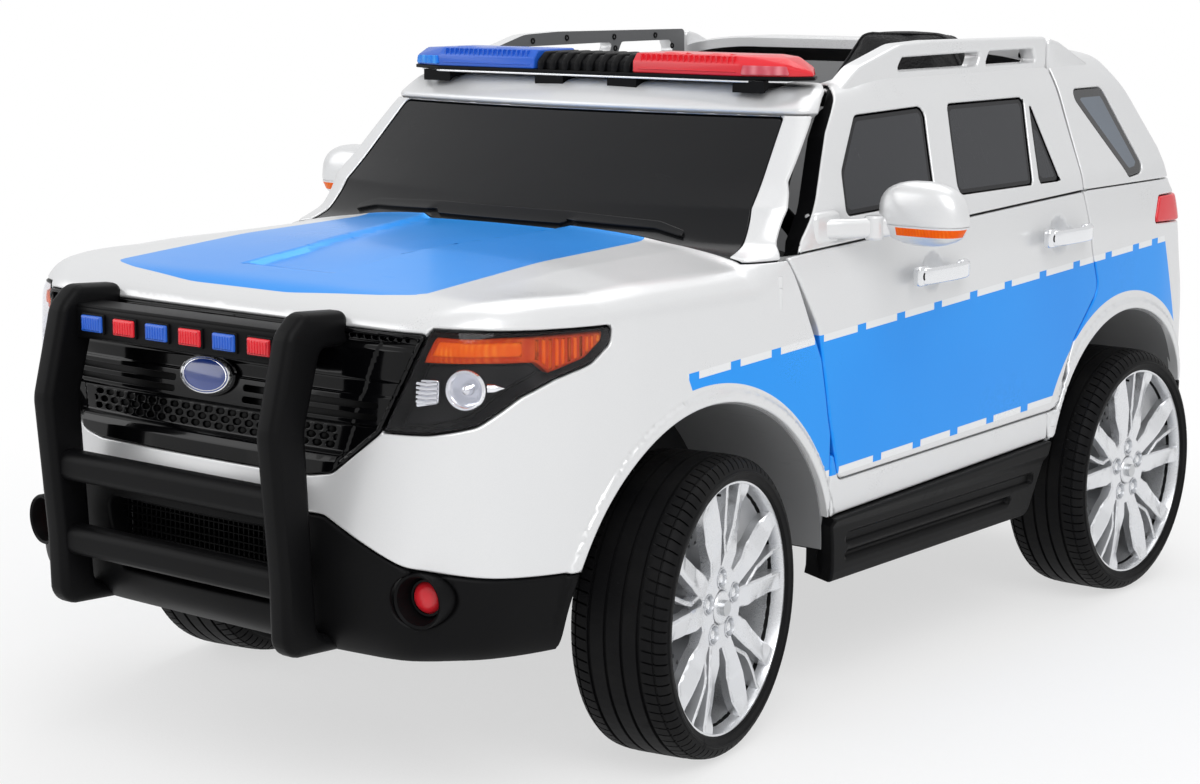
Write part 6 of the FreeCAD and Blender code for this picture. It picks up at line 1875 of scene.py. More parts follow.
    def nuts(self) -> Shape:
        """Five lug nuts in their cups."""
        hexagon = circle(5.3, 6)
        nut = prism(hexagon, self.lip - 17.0, self.lip - 9.5, View.SIDE, 0.8, steps=2)
        tip = lathe([(self.lip - 10, 4.2), (self.lip - 8.4, 3.8), (self.lip - 7.6, 2.4), (self.lip - 7.4,
            0.1)], 20)
        return Copies.of(nut.join(tip).moved(z=self.lug_circle), 5, turn=(72, 0, 0), finish=BRIGHT, slot=1)

    def disc(self) -> Shape:
        """The drilled brake disc behind the spokes."""
        square = np.array([(-78.0, -78.0), (78.0, 78.0)])

        def holes(points: Array) -> Array:
            """Distance to the disc's drilled holes."""
            turn = np.arctan2(points[:, 1], points[:, 2])
            radius = np.hypot(points[:, 1], points[:, 2])
            nearest = np.full(len(points), 50.0)
            for ring, (count, shift) in {70.0: (30, 0.0), 62.5: (30, 0.5), 55.0: (30, 0.0)}.items():
                period = 2.0 * math.pi / count
                part = (turn + (shift + 0.5) * period) % period - period / 2.0
                nearest = np.minimum(nearest, np.hypot(radius - ring, radius * part) - 1.9)
            return nearest

        zone = Zone.leaf(lambda p: np.hypot(p[:, 1], p[:, 2]) - 77.0) - Zone.leaf(holes)
        return flat_skin(square, 2.6, View.SIDE, 8.0).panel(zone, 5.0, roll=0.6, gap=0.0).slotted(2)

    def valve(self) -> Shape:
        """The valve on the rim's barrel."""
        stem = lathe([(0, 0.1), (0, 2.6), (10, 2.2), (11, 3.0), (18, 3.0), (19, 2.2), (19, 0.1)], 16)
        return stem.moved(x=self.lip - 26, z=100.0).slotted(3)

    def place(self, shape: Shape, end: str, at: Side) -> Shape:
        """A wheel's shape at its corner of the car."""
        shape = shape.moved(x=self.track)
        if at is Side.RIGHT:
            shape = shape.mirrored()
        turn = Matrix.Identity(4)
        if end == "front":
            pin = Vector((self.kingpin * at.value, 0.0, 0.0))
            turn = Matrix.Translation(pin) @ Matrix.Rotation(math.radians(self.steer), 4,
                                                             "Z") @ Matrix.Translation(-pin)
        return shape.turned(Matrix.Translation((0.0, DATUM[end], AXLE)) @ turn)

    def build(self) -> None:
        """Build all four wheels from one set of shapes."""
        tyre, face = self.tyre(), self.face()
        rim = Shape().join(face, self.barrel(), self.nuts(), self.disc(), self.valve())
        for corner in Corner:
            end, at = corner.value
            name = corner.name.lower()
            self.place(tyre, end, at).piece("tyre_tread_" + name, "wheel_" + name, (TYRE,), ("tyre_" + name,
                ), "tyre_rubber")
            self.place(rim, end, at).piece("rim_spokes_" + name, "wheel_" + name,
                                           (WHEEL_SILVER, BRIGHT, DISC_GREY, MATT_BLACK), ("rim_" + name,),
                                           "bright_plastic")


# ---- nose: grille, badge, lamps, push bar -----------------------------------


def aimed(shape: Shape, place: Sequence[float], aim: Sequence[float]) -> Shape:
    """A shape made along +X, turned to another direction and moved to its place."""
    turn = Vector(aim).to_track_quat("X", "Z").to_matrix().to_4x4()
    return shape.turned(Matrix.Translation(Vector(place)) @ turn)


@dataclass
class Grille:
    """The gloss grille with its slots, its pierced band, the row of holes above and the oval badge."""

    panels: BodyPanels
    slots: tuple = ((329.6, 333.4), (339.0, 343.0))
    slot_ends: tuple[float, float] = (44.0, 188.0)
    band: tuple[float, float] = (303.4, 320.6)
    holes: tuple[float, float] = (14.3, 6.2)
    hole: tuple[float, float] = (4.0, 2.1)
    badge: tuple[float, float, float] = (0.0, -304.0, 347.5)
    badge_half: tuple[float, float] = (31.0, 16.0)

    def relief(self, x: Array, z: Array) -> Array:
        """How far each level of the grille lies behind the nose's surface."""
        levels = [276, 281, 294, 299, 302, 323, 326, 348, 350, 360, 362, 386, 388, 391, 393, 404]
        depths = [2.0, -1.5, -2.5, 1.0, 5.5, 5.5, 2.5, 2.5, 4.5, 4.0, 2.6, 2.6, 4.6, 4.6, 2.4, 2.4]
        return np.interp(z, levels, depths) + 1.2 * np.clip((np.abs(x) - 158.0 - 0.3 * (z - 300.0)) / 2.0,
                                                            0.0, 1.0)

    def pierced(self, points: Array) -> Array:
        """Distance to the oval holes of the band, in staggered rows."""
        pitch, rise = self.holes
        row = np.round((points[:, 2] - self.band[0] - 2.4) / rise)
        up = points[:, 2] - self.band[0] - 2.4 - row * rise
        shift = points[:, 0] + (row % 2) * pitch / 2.0
        across = shift - np.round(shift / pitch) * pitch
        oval = (np.hypot(across / self.hole[0], up / self.hole[1]) - 1.0) * self.hole[1]
        edge = np.maximum(np.maximum(self.band[0] - points[:, 2], points[:, 2] - self.band[1]),
                          np.abs(points[:, 0]) - 146.0 - 0.3 * (points[:, 2] - 303.0))
        return np.maximum(oval, edge)

    def slotted(self, points: Array) -> Array:
        """Distance to the long slots and the row of round holes."""
        x, z = np.abs(points[:, 0]), points[:, 2]
        nearest = np.hypot(x - np.round(x / 8.2) * 8.2, z - 395.6) - 2.2
        nearest = np.maximum(nearest, x - 214.0)
        for low, high in self.slots:
            middle, half = (low + high) / 2.0, (high - low) / 2.0
            beyond = np.maximum(np.maximum(self.slot_ends[0] - x, x - self.slot_ends[1]), 0.0)
            nearest = np.minimum(nearest, np.hypot(beyond, z - middle) - half)
        return nearest

    def build_grille(self) -> None:
        """Cut the grille from a fine copy of the nose's surface, over a dark backing."""
        hull = self.panels.hull
        area = np.array([(-232.0, 274.0), (232.0, 404.0)])
        sheet = flat_skin(area, 1.7, View.FRONT, 0.0, lambda x, z: hull.nose(x, z) + self.relief(x, z))
        sheet.normals = -sheet.normals * np.sign(sheet.normals[:, 1:2])
        sheet.faces = sheet.faces if facing(sheet)[1] < 0 else sheet.faces[:, ::-1]
        zone = self.panels.front_zone(self.panels.grille_hole)
        pierced = zone - Zone.leaf(self.pierced) - Zone.leaf(self.slotted)
        face = sheet.panel(pierced, 3.0, roll=0.6, gap=0.6)
        backing = hull.skin.panel(self.panels.grille_zone, 20.0, sink=13.0, gap=0.5, roll=0.5, slot=1,
                                  inner=1)
        frame = self.panels.grille_zone - self.panels.grille_zone.shrunk(5.0)
        surround = hull.skin.panel(frame, 14.0, sink=-0.6, gap=0.5, roll=2.0)
        face.join(backing, surround).piece("grille_pierced", "root", (GLOSS_BLACK, DARK_UNIT), ("grille",),
                                           "gloss_black")

    def build_badge(self) -> None:
        """The blank oval badge: bright rim, blue field, thin inner line."""
        rim = lathe([(-4, 0.1), (-4, 30), (2.6, 31), (4.6, 30.2), (4.8, 29.0), (3.4, 28.0)], 72)
        plate = lathe([(3.4, 28.0), (4.4, 20), (4.9, 10), (5.1, 0.1)], 72).slotted(1)
        line = lathe([(3.6, 26.6), (4.3, 26.5), (4.35, 25.7), (3.7, 25.6)], 72)
        back = lathe([(-10, 0.1), (-10, 33), (-1, 34.5), (0.5, 33.5), (0.5, 0.1)], 72).slotted(2)
        oval = Shape().join(rim, plate, line, back)
        oval = oval.changed(lambda v: v * np.array([1.0, 1.0, self.badge_half[1] / self.badge_half[0]]))
        place = (self.badge[0], FRONT + self.badge[1], self.badge[2])
        aimed(oval, place, (0.0, -math.cos(math.radians(11.0)), math.sin(math.radians(11.0)))).piece(
            "badge_oval", "root", (BRIGHT, BADGE_BLUE, GLOSS_BLACK), ("badge_plate",), "bright_plastic")

    def build(self) -> None:
        """Build the grille and the badge."""
        self.build_grille()
        self.build_badge()


def facing(skin: Skin) -> Array:
    """The mean direction of a sheet's faces."""
    a, b, c = (skin.verts[skin.faces[:, part]] for part in range(3))
    return np.cross(b - a, c - a).mean(axis=0)


@dataclass
class Headlamps:
    """Wrapped lamp units: black housing, ribbed amber band, ring reflector, clear cover."""

    panels: BodyPanels
    ring: tuple[float, float, float] = (256.0, -266.0, 357.0)
    small: tuple[float, float, float] = (231.0, -282.5, 354.0)

    def amber(self, points: Array) -> Array:
        """Distance to the band's lower edge, which drops towards the corner."""
        behind = points[:, 1] - FRONT
        return np.interp(behind, [-310, -289, -212, -199, -183, -100], [380.5, 379, 374.5, 364, 361,
            352]) - points[:, 2]

    def reflectors(self) -> Shape:
        """The ring with its bowl and bulb, the small ribbed reflector and a side glint."""
        ring = lathe([(-14, 15.0), (0, 16.5), (1.8, 15.6), (2.0, 14.2), (0.4, 12.6), (-6, 9.0), (-10, 4.5),
                      (-11, 0.1)], 48)
        bulb = lathe([(-11, 4.0), (-3, 4.4), (0, 3.6), (1.6, 1.6), (2.0, 0.1)], 24)
        teeth = Copies.of(brick((0.4, 0, 15.0), (2.0, 0.9, 2.4), 0.2), 40, turn=(9, 0, 0), finish=REFLECTOR)
        place = (self.ring[0], FRONT + self.ring[1], self.ring[2])
        shape = aimed(Shape().join(ring, bulb, teeth), place, (0.42, -0.9, 0.08))
        body = prism(rounded([(-11, -12, 2), (9, -8, 2), (9, 11, 2), (-7, 11, 2)]), -6.0, 0.0, View.SIDE, 1.0)
        rib = sweep(np.array([(0.2, -9.5, -6.5), (0.8, 0.0, -7.2), (0.2, 8.5, -6.0)]), circle(1.5, 8))
        ribs = Copies.of(rib, 5, step=(0, 0, 3.6), finish=REFLECTOR)
        near = (self.small[0], FRONT + self.small[1], self.small[2])
        shape.join(aimed(Shape().join(body, ribs), near, (0.3, -0.95, 0.08)))
        glint = lathe([(-2, 0.1), (-2, 4.2), (4, 3.6), (12, 0.1)], 12)
        shape.join(aimed(glint, (place[0] + 13.0, place[1] + 14.0, place[2] + 1.0), (0.75, 0.66, 0.0)))
        return shape.slotted(2)

    def build(self) -> None:
        """Build both lamp units."""
        hull, zone = self.panels.hull, self.panels.lamp_zone
        housing = hull.skin.panel(zone, 30.0, sink=23.0, gap=0.6, roll=0.5)
        frame = hull.skin.panel(zone - zone.shrunk(3.2), 24.0, sink=0.2, gap=0.6, roll=1.4)
        inner = zone.shrunk(4.6)
        band = Zone.leaf(self.amber)
        shelf = hull.skin.panel(inner & band, 16.0, sink=6.0, gap=0.0, roll=3.0, slot=1, inner=1)
        core = hull.skin.panel(inner.shrunk(5.0)
                               & Zone.leaf(lambda p: self.amber(p) + 5.5) & ~Zone.beyond(1, FRONT - 226.0),
                               8.0, sink=4.0, gap=0.0, roll=2.0, slot=3, inner=3)
        slats = Shape()
        for place in range(11):
            near, far = FRONT - 214.0 + 6.4 * place, FRONT - 214.0 + 6.4 * place + 3.4
            strip = Zone.beyond(1, near) & ~Zone.beyond(1, far)
            slats.join(hull.skin.panel(inner.shrunk(3.0) & Zone.leaf(lambda p: self.amber(p) + 3.0) & strip,
                                       8.0, sink=4.6, gap=0.0,
                                       roll=1.2, slot=3, inner=3))
        tray = hull.skin.panel((inner & ~band).shrunk(1.0), 26.0, sink=17.0, gap=0.0, roll=3.0)
        shape = Shape().join(housing, frame, shelf, core, slats, tray, self.reflectors().both())
        shape.piece("headlamp_units", "root", (DARK_UNIT, AMBER, REFLECTOR, AMBER_CORE), ("headlamps",),
                    "lamp_unit")
        cover = hull.skin.panel(zone, 1.2, sink=0.6, gap=1.6, roll=0.5)
        cover.piece("headlamp_covers", "root", (LENS_GLASS,), (), "lamp_unit")


@dataclass
class PushBar:
    """Two kinked uprights, cross tubes and the bar with its six lamps."""

    half: float = 138.0
    plate: float = 23.0
    outline: tuple = (("front", -285, 146, 0), ("front", -326, 152, 12), ("front", -329, 200, 60), ("front",
        -335, 322, 40),
                      ("front", -316, 385, 10), ("front", -284, 385, 0), ("front", -286, 413, 8), ("front",
                          -334, 416, 18),
                      ("front", -352, 400, 24), ("front", -373, 322, 40), ("front", -363, 200, 60),
                      ("front", -362, 138, 18),
                      ("front", -285, 134, 0))
    tubes: tuple = ((-350, 262), (-346, 196))
    lamps: tuple = (-2.5, -1.5, -0.5, 0.5, 1.5, 2.5)
    pitch: float = 41.0

    def frame(self, half: float, tall: float, near: float, far: float, bevel: float) -> Shape:
        """A bevelled block on the lamp bar, at the first lamp's place."""
        corners = [(a * half, 385.5 + b * tall, 1.4) for a, b in ((-1, -1), (1, -1), (1, 1), (-1, 1))]
        block = prism(rounded(corners), FRONT - near, FRONT - far, View.FRONT, bevel)
        return block.moved(x=self.lamps[0] * self.pitch)

    def build(self) -> None:
        """Build the bar and its lamps."""
        inner, outer = self.half - self.plate / 2.0, self.half + self.plate / 2.0
        shape = prism(rounded(side(self.outline), 5.0), inner, outer, View.SIDE, 7.0, steps=5).both()
        tube = rounded([(a * 12.0, b * 13.0, 9.0) for a, b in ((-1, -1), (1, -1), (1, 1), (-1, 1))], 15.0)
        for y, z in self.tubes:
            ends = np.array([(-self.half, FRONT + y, z), (0, FRONT + y, z), (self.half, FRONT + y, z)], float)
            shape.join(sweep(ends, tube, up=(0, 1, 0)))
        bar = brick((0, FRONT - 331.0, 385.0), (2 * self.half - 18, 16, 28), 2.5)
        lip = brick((0, FRONT - 323.0, 398.6), (2 * self.half - 18, 30, 4), 1.5)
        frames = Copies.of(self.frame(14.4, 8.6, 341.0, 336.0, 0.9), 6, step=(self.pitch, 0, 0),
                           finish=MATT_BLACK)
        shape.join(bar, lip, frames).piece("push_bar_frame", "root", (MATT_BLACK,), ("push_bar",),
                                           "matt_black")
        lens = self.frame(12.8, 7.0, 343.6, 337.0, 1.8)
        ribs = Copies.of(brick((self.lamps[0] * self.pitch - 9.6, FRONT - 343.4, 385.5), (1.3, 1.6, 10.4),
                               0.4), 7,
                         step=(3.2, 0, 0), finish=RED_LENS)
        for name, finish, first in (("blue", BLUE_LENS, 0), ("red", RED_LENS, 1)):
            start = Shape().join(lens, ribs).slotted(0).moved(x=first * self.pitch)
            row = Copies.of(start, 3, step=(2 * self.pitch, 0, 0), finish=finish)
            row.piece("bar_lamps_" + name, "root", (finish,), ("push_bar_lamps",) if first == 0 else (),
                      "small_lamp")


@dataclass
class BumperTrim:
    """The intake's mesh and the round lamps of the front bumper."""

    fog: tuple[float, float, float] = (233.0, -300.0, 189.0)

    def build(self) -> None:
        """Build the mesh and both lamps."""
        upright = brick((-110.0, FRONT - 306.0, 201.0), (1.3, 4.0, 66.0), 0.3)
        bars = Copies.of(upright, 37, step=(6.1, 0, 0), finish=MATT_BLACK)
        cross = brick((0.0, FRONT - 307.0, 172.0), (226.0, 4.0, 1.3), 0.3)
        mesh = bars.join(Copies.of(cross, 10, step=(0, 0, 6.4), finish=MATT_BLACK))
        mesh.join(brick((0.0, FRONT - 290.0, 201.0), (236.0, 4.0, 76.0), 1.0))
        mesh.piece("bumper_intake_mesh", "root", (MATT_BLACK,), ("lower_bumper",), "matt_black")
        cup = lathe([(-34, 0.1), (-34, 23.0), (-1, 23.0), (0.8, 22.0), (-0.6, 20.0), (-9, 17.6), (-20,
            15.6), (-20, 0.1)], 48)
        lens = lathe([(-20, 0.1), (-20, 13.6), (-15, 13.2), (-12, 11.0), (-10, 6.5), (-9.4, 0.1)],
                     40).slotted(1)
        ring = lathe([(-18, 15.6), (-13.6, 15.0), (-13.8, 13.2), (-18, 13.0)], 40).slotted(2)
        place = (self.fog[0], FRONT + self.fog[1], self.fog[2])
        lamp = aimed(Shape().join(cup, lens, ring), place, (0.16, -0.98, 0.0))
        lamp.both().piece("fog_lamp_units", "root", (MATT_BLACK, RED_LENS, DARK_UNIT), ("fog_lamps",),
                          "small_lamp")


# ---- light bar, mirrors, handles, sills -------------------------------------


@dataclass
class LightBar:
    """A base with two faceted lenses and a ribbed middle housing."""

    half: float = 250.0
    core: float = 62.0
    middle: float = FRONT + 225.0
    low: float = 583.0
    high: float = 602.0
    ribs: int = 8

    def lens(self) -> Shape:
        """The left lens as a faceted block whose outer end slopes down to a blunt point."""
        tall = self.high - self.low
        inner = [(self.core, y, z) for y, z in ((-34.5, 0), (-34.5, 11), (-28, tall), (28, tall), (34.5,
            11), (34.5, 0))]
        outer = [(190, -34.5, 0), (190, -34.5, 11), (188, -28, tall), (236, -17.5, 0), (236, -17.5, 9),
                 (226, -12, tall - 1.5),
                 (self.half - 2, 0.5, 0), (self.half - 3, 0.5, 4), (236, 21.5, 0), (234, 21.5, 8), (220, 18,
                     tall - 1.5),
                 (200, 34.5, 0), (200, 34.5, 10), (196, 28, tall)]
        points = [(x, self.middle + y, self.low + z) for x, y, z in inner + outer]
        return faceted(points, 1.6)

    def details(self) -> Shape:
        """A pale reflector by the outer end, steps along the top and a row of slots."""
        plate = prism(rounded([(-24, self.low + 1.6, 1.5), (23, self.low + 1.6, 1.5), (20, self.low + 9.6,
            1.5), (-22, self.low + 10.4, 1.5)]),
                      -1.4, 1.4, View.FRONT, 0.7).slotted(1)
        lean = math.atan2(17.0, 46.0)
        plate = plate.turned(Matrix.Translation(Vector((212.6, self.middle - 26.6,
                                                        0.0))) @ Matrix.Rotation(lean, 4, "Z"))
        steps = Shape()
        for x, wide in ((104.0, 16.0), (158.0, 14.0)):
            steps.join(faceted([(x - wide, self.middle - 30, self.high - 1.5), (x + wide, self.middle - 30,
                self.high - 1.5),
                                (x - wide * 0.5, self.middle - 24, self.high + 1.2), (x + wide,
                                    self.middle - 24, self.high + 1.2),
                                (x - wide, self.middle - 6, self.high - 1), (x + wide, self.middle - 6,
                                    self.high - 1)], 0.4))
        rib = brick((72.0, self.middle - 31.6, self.low + 14.6), (1.2, 5.0, 7.5), 0.4)
        ledge = brick((126.0, self.middle - 34.4, self.low + 4.2), (116.0, 1.6, 1.2), 0.4)
        return plate.join(steps, ledge, Copies.of(rib, 18, step=(6.4, 0, 0), finish=RED_LENS))

    def build(self) -> None:
        """Build the lenses, base and housing."""
        for at, finish, pale, node in ((Side.LEFT, RED_LENS, PALE_RED, "lightbar_lens_red"),
                                       (Side.RIGHT, BLUE_LENS, PALE_BLUE, "lightbar_lens_blue")):
            shape = at.turn(self.lens().join(self.details()))
            shape.sharp = 22.0
            shape.piece("beacon_lens_" + at.word, "root", (finish, pale), (node,), finish.name)
        y, low = self.middle, self.low
        hump = prism(rounded([(y - 31, low, 0), (y - 31, 592, 6), (y - 22, 598, 6), (y + 22, 598, 6),
                              (y + 31, 592, 6),
                              (y + 31, low, 0)]), -61.0, 61.0, View.SIDE, 1.5)
        ridge = prism(rounded([(y - 34.5, low, 0), (y - 34.5, 591, 6), (y - 24, 600.5, 8), (y + 24, 600.5, 8),
                               (y + 34.5, 591, 6), (y + 34.5, low, 0)]), -58.5, -50.0, View.SIDE, 2.4)
        ribs = Copies.of(ridge, self.ribs, step=(15.5, 0, 0), finish=MATT_BLACK)
        hump.join(ribs).piece("beacon_housing", "root", (MATT_BLACK,), ("lightbar_core",), "matt_black")
        plan = [(190, y - 36, 8), (237, y - 18.5, 6), (self.half, y, 6), (237, y + 22.5, 6), (200, y + 35.5,
            8)]
        base = prism(rounded(mirrored(plan)), 579.5, 583.0, View.PLAN, 1.0)
        strip = prism(rounded(mirrored([(189, y - 34, 4), (230, y - 17, 3), (230, y - 6, 3)])), 577.4,
                      579.5, View.PLAN, 0.5, slot=1)
        base.join(strip).piece("beacon_base", "root", (MATT_BLACK, BRIGHT), ("lightbar_base",), "matt_black")


@dataclass
class Mirror:
    """A door mirror: domed cap, lower tray with an amber strip, glass and a jointed arm."""

    centre: tuple[float, float, float] = (360.0, -50.5, 462.5)
    half: tuple[float, float, float] = (44.0, 21.5, 29.5)
    strip: tuple[float, float] = (443.0, 450.5)
    seam: float = 452.5

    def housing(self) -> Shape:
        """A rounded shell whose levels part the cap, the strip and the tray."""
        low, high = self.centre[2] - self.half[2], self.centre[2] + self.half[2]
        levels = np.array([low, low + 0.6, low + 2.2, low + 5.0, 440.5, self.strip[0] - 0.4, self.strip[0],
                           self.strip[1],
                           self.strip[1] + 0.4, self.seam - 0.5, self.seam - 0.4, self.seam + 0.4,
                           self.seam + 0.5, 456, 460, 465,
                           470, 475, 480, 484, 487, 489.5, 491, high - 0.3, high])
        around = np.linspace(0.0, 2.0 * math.pi, 72, endpoint=False)
        up = (levels - self.centre[2]) / self.half[2]
        size = np.clip(1.0 - np.abs(up) ** 2.9, 0.0, 1.0) ** (1.0 / 2.4)
        size = np.maximum(size, 0.02)
        groove = np.where(np.abs(levels - self.seam) < 0.45, 1.2, 0.0)
        power = 2.0 / 2.7
        cos, sin = np.cos(around), np.sin(around)
        x = np.sign(cos) * np.abs(cos) ** power
        y = np.sign(sin) * np.abs(sin) ** power
        shrink = 1.0 + 0.12 * np.clip(-up, 0, 1)[:, None] * x[None, :]
        out = np.zeros((len(levels), len(around), 3))
        out[:, :, 0] = self.centre[0] + (self.half[0] * size[:, None] - groove[:,
            None]) * x * (1.0 - 0.06 * (up[:, None] > 0) * up[:, None]) - 2.0 * up[:, None]
        out[:, :, 1] = self.centre[1] + (self.half[1] * size[:, None] - groove[:, None]) * np.minimum(y,
            0.72) * shrink
        out[:, :, 2] = levels[:, None]
        faces = split_quads(grid_faces(len(levels), len(around), False, True))
        caps = cap_triangles(np.column_stack([x, y]))
        faces = np.vstack([faces, caps[:, ::-1], caps + (len(levels) - 1) * len(around)])
        verts = out.reshape(-1, 3)
        middle = verts[faces].mean(axis=1)
        slots = np.where(middle[:, 2] < self.seam, 1, 0)
        lamp = (middle[:, 2] > self.strip[0]) & (middle[:, 2] < self.strip[1]) & (middle[:,
            1] < self.centre[1] + 4) & (
            middle[:, 0] > self.centre[0] - 18)
        return Shape().block(verts, faces, np.where(lamp, 2, slots))

    def build(self) -> None:
        """Build both mirrors."""
        shell = self.housing()
        back = self.centre[1] + self.half[1] * 0.72
        glass = prism(rounded([(self.centre[0] - 34, 441, 10), (self.centre[0] + 35, 443, 10),
                               (self.centre[0] + 33, 483, 12),
                               (self.centre[0] - 32, 483, 12)]), back - 1.0, back + 1.2, View.FRONT,
                      0.8).slotted(3)
        arm = sweep(along([(284, -116, 449), (298, -107, 449), (318, -78, 449), (333, -57, 450), (346, -50,
            452)], 4.0),
                    rounded([(-9, -6, 5), (9, -6, 5), (9, 6, 5), (-9, 6, 5)], 20.0), up=(0, 0, 1), slot=1)
        joint = lathe([(438, 0.1), (438, 7.5), (440, 9), (458, 9), (460, 7.5), (460, 0.1)], 24, slot=1)
        joint = joint.changed(lambda v: np.column_stack([v[:, 1] + 321, v[:, 2] - 73, v[:, 0]]))
        foot = brick((290.0, -112.0, 450.0), (16.0, 42.0, 30.0), 5.0, slot=0)
        shape = Shape().join(shell, glass, arm, joint, foot)
        for at in Side:
            at.turn(shape).piece("door_mirror_" + at.word, "door_" + at.word,
                                 (SILVER, SILVER, AMBER_CORE, SCREEN_BLACK), ("mirror_" + at.word,),
                                 "silver_shell")


@dataclass
class Handles:
    """Bar handles over round dishes, with a lock cap at the front end."""

    places: tuple = (("middle", -26, 394), ("rear", -156, 408))
    length: float = 92.0

    def handle(self, middle: float, level: float) -> Shape:
        """One handle on the left door."""
        half = self.length / 2.0
        skin = HALF - 0.5
        path = along([(skin - 3, middle - half + 5, level), (skin + 6, middle - half + 8, level),
                      (skin + 9.2, middle - half + 22, level),
                      (skin + 9.8, middle, level), (skin + 9.2, middle + half - 22, level), (skin + 6,
                          middle + half - 8, level),
                      (skin - 3, middle + half - 5, level)], 4.0)
        section = rounded([(-8, -3, 2.8), (8, -3, 2.8), (8, 3, 2.8), (-8, 3, 2.8)], 20.0)
        bar = sweep(path, section, up=(0, 0, 1))
        boss = brick((skin + 2.5, middle - half + 7.5, level), (9.0, 20.0, 19.0), 3.0)
        end = brick((skin + 2.0, middle + half - 7.5, level), (8.0, 16.0, 18.0), 3.0)
        lock = lathe([(skin + 6.6, 4.6), (skin + 7.6, 4.4), (skin + 7.9, 3.6), (skin + 7.5, 3.2),
                      (skin + 7.4, 0.1)], 24, slot=1)
        return Shape().join(bar, boss, end, lock.moved(y=middle - half + 8.0, z=level))

    def build(self) -> None:
        """Build the handles of both doors."""
        pairs = Shape().join(*(self.handle(DATUM[datum] + behind, level) for datum, behind,
                               level in self.places))
        for at in Side:
            at.turn(pairs).piece("bar_handles_" + at.word, "door_" + at.word, (BRIGHT, MATT_BLACK),
                                 ("door_handles_" + at.word,), "bright_plastic")


@dataclass
class Sills:
    """Black sills with two long slots each."""

    slots: tuple = ((("front", 214), ("rear", -206), 157.0, 5.0), (("front", 214), ("rear", -250), 141.0,
                                                                   3.6))

    def height(self, y: Array, z: Array) -> Array:
        """The sill's surface: leaning in downwards, with a step and two sunk slots."""
        out = -np.interp(z, [100, 128, 172, 178, 215], [15, 9.5, 7.0, 3.0, 2.0])
        for (near, start), (far, end), level, half in self.slots:
            low, high = DATUM[near] + start, DATUM[far] + end
            beyond = np.maximum(np.maximum(low - y, y - high), 0.0)
            reach = np.hypot(beyond, z - level) - half
            out = out - 5.0 * np.clip((1.2 - reach) / 2.4, 0.0, 1.0)
        return out

    def build(self, panels: BodyPanels) -> None:
        """Build both sills."""
        corners = side((("front", 176, 117, 6), ("rear", -206, 117, 12), ("rear", -168, 192.5, 0), ("front",
            183, 180.5, 0)))
        outline = rounded(corners)
        sheet = flat_skin(outline, 2.4, View.SIDE, HALF, self.height)
        sill = sheet.panel(Zone.drawn(outline, View.SIDE) - panels.arches, 30.0, roll=3.0, gap=0.5)
        sill.both().piece("sill_covers", "root", (MATT_BLACK,), ("side_skirts",), "matt_black")


# ---- cabin and running gear -------------------------------------------------


